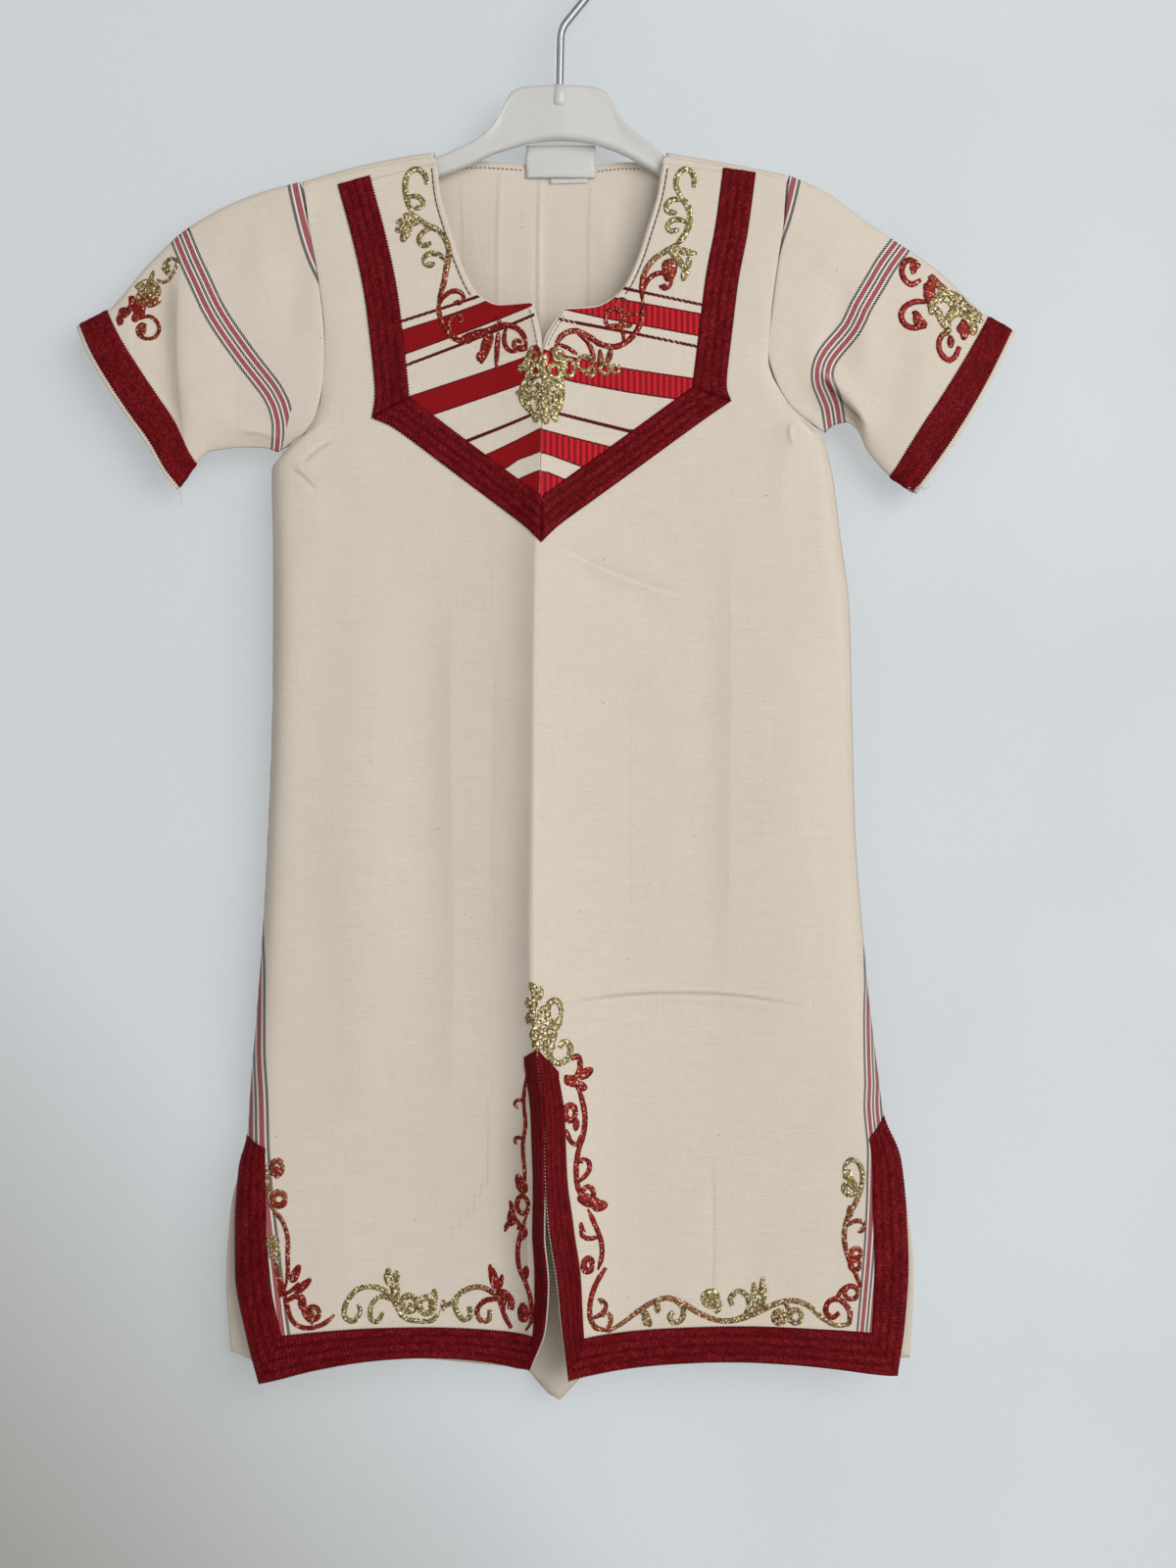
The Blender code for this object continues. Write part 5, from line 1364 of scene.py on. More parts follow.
def braid_profile(q, run, ribs=4, strong=1.0):
    """Height of the braid at part q of its width and length run along it, and a crest tone, which the braid's colour
    turns into painted shade in the grooves and painted highlights on the crests.
    """
    phase = q * ribs
    rib = np.abs(np.sin(math.pi * phase)) ** 0.75
    number = np.floor(np.clip(phase, 0, ribs - 1e-6))
    scallop = 0.5 + 0.5 * np.cos(2 * math.pi * run / PICOT + math.pi * number
                                 + 2.2 * np.abs(phase - number - 0.5))
    margin = np.minimum(q, 1 - q)
    edge = smooth01(margin / 0.035)
    worn = 1 + 0.35 * unevenness(run, number * 37.0 + 5.0, 7.0, 51) + 0.2 * unevenness(
        run, number * 11.0, 2.3, 52)
    faint = 0.45 * (1 - strong)
    return (0.22 + 0.44 * strong * worn * rib * (0.42 + 0.58 * scallop) + 0.5 * faint
            + 0.10 * scallop) * edge, (
        (rib * strong + 1 - strong) * (0.35 + 0.65 * scallop) * worn)


def braid_places():
    return np.concatenate([[0.0, 0.018], np.linspace(0.05, 0.95, 25), [0.982, 1.0]])


def braid_on_front(name, legs, lift, turned):
    """legs are pairs of lines (outer edge, inner edge), joined at mitres."""
    q = braid_places()
    xs, zs, runs, joins = [], [], [], []
    so_far = 0.0
    for number, (outer, inner) in enumerate(legs):
        outer, inner = np.asarray(outer, float), np.asarray(inner, float)
        length = 0.5 * (line_length(outer) + line_length(inner))
        n = max(4, int(round(length / (PICOT / 2))))
        t = np.linspace(0, 1, n + 1)
        a, b = resample(outer, t), resample(inner, t)
        if number:
            joins.append(so_far)
            a, b, t = a[1:], b[1:], t[1:]
        run = so_far + t * length
        picot = 0.42 * np.cos(2 * math.pi * run / PICOT)
        wide = np.linalg.norm(b - a, axis=1)
        qq = np.broadcast_to(q[None], (len(a), len(q))).copy()
        push = (picot / np.maximum(wide, 1.0))[:, None]
        qq[:, :1] -= push
        qq[:, -1:] += push
        xs.append(a[:, :1] + (b - a)[:, :1] * qq)
        zs.append(a[:, 1:] + (b - a)[:, 1:] * qq)
        runs.append(np.broadcast_to(run[:, None], qq.shape))
        so_far += length
    x, z, run = np.concatenate(xs), np.concatenate(zs), np.concatenate(runs)
    base, normal = front_points(x, z)
    qq = np.broadcast_to(q[None], x.shape)
    height, tone = braid_profile(qq, run)
    joined = 1.0
    for place in joins:         # a dark line where the braid is turned
        joined = joined - turned * np.exp(-((run - place) / 0.8) ** 2)
    height, tone = height * np.clip(joined, 0.1, 1), tone * joined - 0.3 * (1 - joined)
    build = Build()
    cloth = np.stack([qq * BRAID_WIDTH, run, tone], -1)
    strip(build, base, normal, height, lift, 0.45, cloth=cloth)
    obj = build.make(name, BRAID, sharp=62)
    return obj, so_far


def section_line(side, p0, p1, edge, step=2.0):
    """A line down the front at a fraction or band: 'in', 'out' or the
    columns that bound the bands, from section p0 to p1."""
    p = np.linspace(p0, p1, max(3, int(abs(p1 - p0) * 14)))
    x_in, x_out = value(side, "x_in", p), value(side, "x_out", p)
    sign = -1.0 if side == "left" else 1.0
    if edge == "in":
        x = x_in
    elif edge == "out":
        x = x_out
    elif edge == "band_in":
        x = x_in + sign * value(side, "band_in", p)
    else:
        x = x_out - sign * value(side, "band_out", p)
    return np.stack([x, section_height(side, p, x)], -1)


def row_line(side, p, start, end, count=60):
    """A line across the front on one section, between two x."""
    x = np.linspace(start, end, count)
    return np.stack([x, section_height(side, np.full(count, float(p)), x)], -1)


def hem_legs(side):
    hem, band = ROW["hem"], ROW["hem_band"]
    slit = ROW["slit_point"]
    top = ROW["side_slit_top"]
    in_outer = section_line(side, slit, hem, "in")
    in_inner = section_line(side, slit, band, "band_in")
    out_outer = section_line(side, hem, top, "out")
    out_inner = section_line(side, band, top, "band_out")
    in_outer[0][1] += 2.2
    in_inner[0][1] += 2.2
    hem_outer = row_line(side, hem, in_outer[-1][0], out_outer[0][0])
    hem_inner = row_line(side, band, in_inner[-1][0], out_inner[0][0])
    return [(in_outer, in_inner), (hem_outer, hem_inner), (out_outer, out_inner)]


def build_hem_braid(side):
    legs = hem_legs(side)
    if side == "left":      # keep the faces outward: swap the two edges
        legs = [(b, a) for a, b in legs]
    return braid_on_front("hem_braid_weave_" + side, legs, 0.30, 0.35)


def build_bib_braid():
    path = np.array(BIB_BRAID, float)
    corners = [0, 5, 6, 7, len(path) - 1]
    pieces = [spline(path[a:b + 1], 3.0) for a, b in zip(corners, corners[1:])]
    ways = []
    for piece in pieces:
        d = np.gradient(piece, axis=0)
        d /= np.linalg.norm(d, axis=1, keepdims=True)
        ways.append(d)
    legs = []
    half = BRAID_WIDTH / 2
    for number, (piece, way) in enumerate(zip(pieces, ways)):
        side = np.stack([-way[:, 1], way[:, 0]], -1)     # to the left of the way
        left, right = piece + side * half, piece - side * half
        tips = []
        for end, other in ((0, number - 1), (-1, number + 1)):
            if 0 <= other < len(pieces):
                other_way = ways[other][-1 if end == 0 else 0]
                mean = way[end] + other_way
                mean /= np.linalg.norm(mean)
                out = np.array([-mean[1], mean[0]])
                stretch = half / max(float(mean @ way[end]), 0.4)
                left[end] = piece[end] + out * stretch
                right[end] = piece[end] - out * stretch
                tip = -out * (3.4 if {number, other} != {1, 2} else 2.6)
                if {number, other} == {2, 3}:
                    tip = tip + np.array([1.6, 4.4])
                tips.append((end, tip))
        # points that the mitre has passed are left out
        def tidy(line, way):
            keep = [line[0]]
            for k in range(1, len(line) - 1):
                if (line[k] - line[0]) @ way[0] > 0.5 and (line[-1] - line[k]) @ way[-1] > 0.5:
                    keep.append(line[k])
            keep.append(line[-1])
            return np.array(keep)
        right, left = tidy(right, way), tidy(left, way)
        fine = np.linspace(0, 1, 80)
        right = resample(right, fine)
        for end, tip in tips:           # the turned corners poke out
            far = np.linalg.norm(right - right[end], axis=1)
            right = right + tip * np.exp(-(far / 6.5) ** 1.4)[:, None]
        legs.append((right, left))

    return braid_on_front("bib_braid_weave", legs, 0.65, 0.95)


def build_cuff_braid(side):
    s, loop = sleeve_loop(side)
    q = braid_places()
    lo, hi = 0.845, 0.982
    total = line_length(np.concatenate([loop[-3], loop[-3][:1]]))
    n = int(round(total / PICOT)) * 2
    fine = []
    for row in range(len(s)):
        closed = np.concatenate([loop[row], loop[row][:1]])
        fine.append(resample(closed, np.linspace(0, 1, n + 1))[:-1])
    fine = np.array(fine)                       # stations x n x 3
    normals = loop_normals(fine, side)
    where = lo + (hi - lo) * q
    position = np.interp(where, s, np.arange(len(s)))
    i = np.minimum(position.astype(int), len(s) - 2)
    f = (position - i)[:, None, None]
    base = fine[i] * (1 - f) + fine[i + 1] * f
    normal = normals[i] * (1 - f) + normals[i + 1] * f
    normal /= np.linalg.norm(normal, axis=-1, keepdims=True)
    base, normal = base.transpose(1, 0, 2), normal.transpose(1, 0, 2)   # n x places
    run = np.arange(n)[:, None] * (PICOT / 2) + 0 * q[None]
    picot = 0.42 * np.cos(2 * math.pi * run[:, 0] / PICOT)
    across = base[:, -1] - base[:, 0]
    across /= np.linalg.norm(across, axis=1, keepdims=True)
    base[:, 0] -= across * picot[:, None]
    base[:, -1] += across * picot[:, None]
    height, tone = braid_profile(np.broadcast_to(q[None], run.shape), run, 4, 0.45)
    height = height * 0.9
    build = Build()
    cloth = np.stack([np.broadcast_to(q[None] * BRAID_WIDTH, run.shape), run, tone], -1)
    if side == "left":
        base, normal, height, cloth = base[::-1], normal[::-1], height[::-1], cloth[::-1]
    strip(build, base, normal, height, 0.30, 0.45, wrap=True, cloth=cloth)
    return build.make("cuff_braid_weave_" + side, BRAID, sharp=62), total


# ---------------------------------------------------------------- the bib
# Stripes of each half: kind, upper edge and lower edge in the photograph.
BIB_STRIPES = {
    "left": (
        ("line", ((400, 329), (484, 302.5), (560, 279)), ((400, 332.6), (484, 306), (560, 282.5))),
        ("band", ((400, 339.5), (440, 327), (484, 312), (560, 284)),
                 ((400, 366.5), (414, 362), (543, 315.5), (560, 309))),
        ("line", ((400, 376.5), (545, 322.5), (560, 317)), ((400, 380), (545, 326), (560, 320.5))),
        ("band", ((400, 409), (418, 404), (533, 367), (560, 359)),
                 ((400, 440), (445, 423), (535, 393.5), (560, 386))),
        ("line", ((470, 451), (537, 426), (556, 419)), ((470, 455), (537, 429.6), (556, 422))),
        ("band", ((480, 470), (499, 463), (548, 441), (556, 438)),
                 ((490, 489), (518, 479), (530, 471), (556, 463))),
        ("band", ((510, 499), (534, 488), (548, 483), (556, 481)), ((510, 560), (556, 560))),
    ),
    "right": (
        ("line", ((545, 281), (640, 294), (715, 309)), ((545, 284.5), (640, 297.6), (715, 312.5))),
        ("band", ((545, 290), (632, 305.5), (714, 319.5)),
                 ((545, 316), (575, 319), (610, 326), (712, 343.5))),
        ("line", ((545, 322), (568, 326.5), (640, 338.5), (710, 352)),
                 ((545, 325.5), (568, 330), (640, 342), (710, 355.5))),
        ("band", ((545, 357), (580, 365.5), (640, 377), (714, 387)),
                 ((545, 382), (583, 392), (640, 402), (700, 410))),
        ("line", ((545, 417), (570, 422.5), (642, 439)), ((545, 420.5), (570, 426.3), (642, 443))),
        ("band", ((545, 438), (560, 442), (620, 456), (640, 460)),
                 ((545, 463.5), (560, 467), (596, 479.5), (620, 486))),
        ("band", ((545, 482), (560, 484), (580, 492), (600, 500)), ((545, 560), (600, 560))),
    ),
}


def stripe_fields(side, x, z):
    """mm inside the nearest band and line of the bib, less than 0 outside."""
    band = np.full(x.shape, -9.0)
    line = np.full(x.shape, -9.0)
    for kind, upper, lower in BIB_STRIPES[side]:
        top = np.array([at(*p) for p in upper])
        low = np.array([at(*p) for p in lower])
        inside = np.minimum(np.interp(x, top[:, 0], top[:, 1]) - z,
                            z - np.interp(x, low[:, 0], low[:, 1]))
        if kind == "band":
            band = np.maximum(band, inside)
        else:
            line = np.maximum(line, inside)
    return band, line


BIB_LIFT = 0.42


def build_bib(side):
    table = BIB_LEFT if side == "left" else BIB_RIGHT
    n = 150
    reach = np.concatenate([[0], np.cumsum([max(
        math.hypot(b[0] - a[0], b[1] - a[1]), math.hypot(b[2] - a[2], b[3] - a[3]))
        for a, b in zip(table, table[1:])])])
    position = np.interp(np.linspace(0, reach[-1], n), reach, np.arange(len(table)))
    rows = {k: curve_with_corner([row[i] for row in table], position, 6)
            for i, k in enumerate(BIB_COLUMNS)}
    columns = 48 if side == "left" else 92
    t = np.linspace(0, 1, columns + 1)[None]
    x = rows["x_in"][:, None] * (1 - t) + rows["x_out"][:, None] * t
    z = rows["z_in"][:, None] * (1 - t) + rows["z_out"][:, None] * t
    band, line = stripe_fields(side, x, z)
    across = np.hypot(x - x[:, :1], z - z[:, :1])
    roll = 0.34 * np.exp(-((across - 0.8) / 0.9) ** 2) - 0.14 * np.exp(-((across - 2.5) / 0.6) ** 2)
    # near the point the two halves join, with no turned edge
    open_edge = smooth01((z[:, :1] + 228.0) / 8.0)
    height = BIB_LIFT + roll * open_edge + 0.16 * smooth01(band / 0.8)
    if side == "right":
        height = height + 0.20 * smooth01(band / 0.8) * np.sin(2 * math.pi * x / 3.0)
    points, _ = front_points(x, z, height)
    build = Build()
    build.grid(points, flip=(side == "left"),
               cloth=np.stack([x + (1900 if side == "left" else 2100) * 1.0, z, 0 * x], -1),
               stripe=np.stack([band, line, 0 * x], -1))
    return build.make("bib_cloth_" + side, BIB_CLOTH[side], wall=0.45)


# ------------------------------------------------------------- glitter scroll
# Curls, vines, leaves and drops of the builder's own drawing, placed where
# the ornament lies.  Places are in the photograph's frame.
def curl(px, py, heading, length, turns, width=2.3, tone=(0.0, 0.0), bead=1.0):
    """A line that sets off at heading (degrees, 90 is up) and winds in."""
    n = max(14, int(length / 2.2))
    s = (np.arange(n) + 0.5) / n
    pace = length / n * (1.35 - 1.0 * s)
    turn = np.radians(heading) + 2 * math.pi * turns * s ** 1.55
    x = px + np.concatenate([[0], np.cumsum(np.cos(turn) * pace)])
    y = py - np.concatenate([[0], np.cumsum(np.sin(turn) * pace)])
    t = np.linspace(0, 1, n + 1)
    half = width / 2 * (0.62 + 0.38 * np.sin(math.pi * np.clip(t * 1.2, 0, 1)))
    half = half + bead * 0.85 * np.exp(-((t - 0.97) / 0.07) ** 2)
    return np.stack([x, y], -1), half, tone


def vine(*points, width=2.3, tone=(0.0, 0.0), ends=0.45):
    line = spline(points, 2.2)
    t = np.linspace(0, 1, len(line))
    half = width / 2 * (ends + (1 - ends) * smooth01(np.minimum(t, 1 - t) / 0.16))
    return line, half, tone


def leaf(px, py, heading, length, width, tone=(0.0, 0.0), bend=0.3):
    n = max(8, int(length / 1.6))
    s = (np.arange(n) + 0.5) / n
    turn = np.radians(heading) + bend * s
    x = px + np.concatenate([[0], np.cumsum(np.cos(turn) * length / n)])
    y = py - np.concatenate([[0], np.cumsum(np.sin(turn) * length / n)])
    t = np.linspace(0, 1, n + 1)
    half = width / 2 * (0.30 + 0.70 * np.sin(math.pi * t ** 0.75) ** 0.6)
    return np.stack([x, y], -1), half, tone


def petals(px, py, radius, count, width, tone=(0.0, 0.0), turned=0.0, sweep=360.0):
    out = []
    for k in range(count):
        a = turned + sweep * k / count
        out.append(leaf(px + 0.25 * radius * math.cos(math.radians(a)),
                        py - 0.25 * radius * math.sin(math.radians(a)),
                        a, radius, width, tone, 0.25))
    return out


def ring(px, py, r, width=2.2, tone=(0.0, 0.0), tall=1.0):
    a = np.linspace(0.0, 2 * math.pi * 0.985, 9)
    return vine(*[(px + r * math.cos(k), py - tall * r * math.sin(k)) for k in a],
                width=width, tone=tone, ends=0.8)


def ball(px, py, r, tone=(0.0, 0.0)):
    return leaf(px - r, py, 0, 2 * r, 2.0 * r, tone, 0.0)


RED, DEEP, GOLD, COPPER = (0.95, 0.95), (1.0, 1.0), (0.0, 0.0), (0.45, 0.45)
NECK_SCROLL = [
    # left side of the neck, down to the bib
    vine((435, 187), (433, 177), (424, 171), (415, 178), (413, 191), (416, 206), (422, 218),
         width=3.0, ends=0.7),
    vine((422, 218), (434, 228), (446, 234), (454, 243), (458, 256), (456, 270), (453, 288),
         (448, 304), width=3.0, tone=(0.0, 0.75), ends=0.7),
    curl(415, 200, 14, 36, -0.78, 2.8, GOLD, 1.7),
    curl(441, 232, 196, 42, 0.80, 2.8, GOLD, 1.6),
    curl(457, 268, 128, 54, 0.95, 2.8, (0.1, 0.3), 1.5),
    leaf(428, 226, 172, 24, 5.0), leaf(420, 228, 196, 18, 5.4), leaf(418, 230, 236, 18, 5.0),
    leaf(424, 224, 146, 14, 3.8),
    # into the bib, left
    vine((448, 302), (448, 318), (453, 333), (463, 345), (476, 349), (488, 343), (500, 337),
         (514, 333), (528, 337), (536, 347), (538, 360), width=2.9, tone=(0.8, 1.0)),
    curl(448, 311, 64, 56, -0.92, 2.6, (0.9, 0.9), 1.2),
    curl(462, 343, 118, 46, -0.85, 2.3, (0.75, 0.7), 1.0),
    vine((470, 347), (482, 342), (497, 338), width=3.4, tone=DEEP),
    leaf(499, 340, 248, 33, 3.6, DEEP, 0.3), leaf(503, 342, 256, 30, 2.6, DEEP, -0.2),
    leaf(509, 340, 264, 38, 2.8, DEEP, 0.1), ball(489, 365, 2.6, DEEP),
    curl(517, 336, 252, 46, 0.62, 2.6, DEEP, 2.8),
    curl(539, 358, 196, 34, -0.95, 2.4, (0.9, 0.7), 1.0),
    curl(508, 335, 60, 14, 0.4, 2.2, DEEP, 0.4),
    # right side of the neck
    vine((708, 190), (708, 178), (700, 171), (692, 177), (690, 189), (696, 202), width=2.8, ends=0.7),
    vine((696, 202), (703, 212), (704, 224), (700, 237), (692, 248), width=3.2, ends=0.8),
    vine((692, 248), (680, 256), (668, 264), (659, 276), (655, 290), (655, 305), width=2.9,
         tone=(0.05, 0.95), ends=0.7),
    curl(702, 205, 158, 48, 0.82, 3.0, GOLD, 1.4),
    curl(702, 227, 152, 46, 0.92, 2.9, GOLD, 1.7),
    leaf(684, 252, -22, 28, 4.0), leaf(682, 254, -46, 34, 3.6, (0.0, 0.1), -0.2),
    ball(703, 268, 3.0), ball(698, 281, 3.2, (0.1, 0.1)),
    leaf(684, 264, -95, 24, 8.0, (0.65, 0.9), 0.0), ring(682, 279, 4.4, 1.8, (0.6, 0.8), 1.3),
    curl(655, 302, 78, 74, -0.96, 2.7, RED, 1.4),
    # into the bib, right
    vine((655, 303), (656, 318), (652, 334), (643, 347), (629, 355), (613, 353), (600, 345),
         (587, 340), (575, 344), (568, 354), (567, 366), width=3.0, tone=(0.95, 0.6)),
    ring(626, 327, 8.5, 2.2, (0.85, 0.8), 1.2), curl(652, 322, 170, 40, 0.85, 2.3, (0.8, 0.7), 1.2),
    curl(636, 350, 86, 32, 0.5, 2.3, (0.8, 0.8), 1.0), ring(634, 312, 6, 1.8, (0.7, 0.7)),
    vine((588, 341), (599, 350), (605, 364), (604, 374), width=2.6, tone=(0.9, 0.6)),
    vine((570, 354), (580, 358), (589, 364), width=2.2, tone=DEEP),
    ring(597, 373, 8.0, 2.4, (0.55, 0.3), 0.9), curl(604, 374, 300, 26, -0.9, 2.2, (0.4, 0.3), 1.0),
    ring(617, 378, 5.0, 2.2, (0.3, 0.3)), ring(628, 378, 4.2, 2.0, (0.3, 0.3)),
    leaf(612, 376, 82, 18, 3.2, (0.7, 0.6)), leaf(619, 372, 66, 16, 3.2, (0.7, 0.6)),
    ring(580, 378, 6.5, 2.4, (0.2, 0.1), 1.3),
]
# the gold ornament over the chest: loops about a stem, open between them
NECK_SCROLL += [
    vine((545, 360), (538, 372), (540, 386), (534, 398), (534, 410), (541, 420), (546, 428), width=3.6, tone=(0.2, 0.0)),
    vine((566, 362), (576, 374), (572, 388), (573, 402), (571, 416), (566, 428), width=3.6, tone=(0.1, 0.0)),
    vine((556, 364), (553, 378), (558, 392), (554, 406), (557, 428), width=4.2, ends=0.8),
    ring(547, 381, 5.6, 2.6), ring(566, 382, 5.8, 2.6, tall=1.2), ring(545, 401, 6.0, 2.6, tall=1.2),
    ring(565, 400, 5.6, 2.4), ring(555, 414, 5.4, 2.6), ring(544, 366, 5.0, 2.2, (0.6, 0.2)),
    ring(570, 366, 5.2, 2.2, (0.5, 0.2)), ball(556, 371, 3.2), ball(541, 413, 3.0), ball(566, 412, 3.0),
    ball(556, 398, 3.4), leaf(548, 420, 262, 14, 4.4), leaf(556, 420, 268, 16, 4.8),
    leaf(564, 418, 276, 16, 4.6), curl(548, 392, 200, 26, 0.8, 2.4), curl(564, 392, -20, 26, -0.8, 2.4),
    curl(551, 362, 112, 14, 0.5, 2.4, (0.9, 0.4), 1.0), curl(561, 364, 66, 14, -0.5, 2.4, (0.9, 0.4), 1.0),
    leaf(536, 372, 230, 12, 3.4, (0.4, 0.2)), leaf(536, 404, 160, 9, 4.0),
]

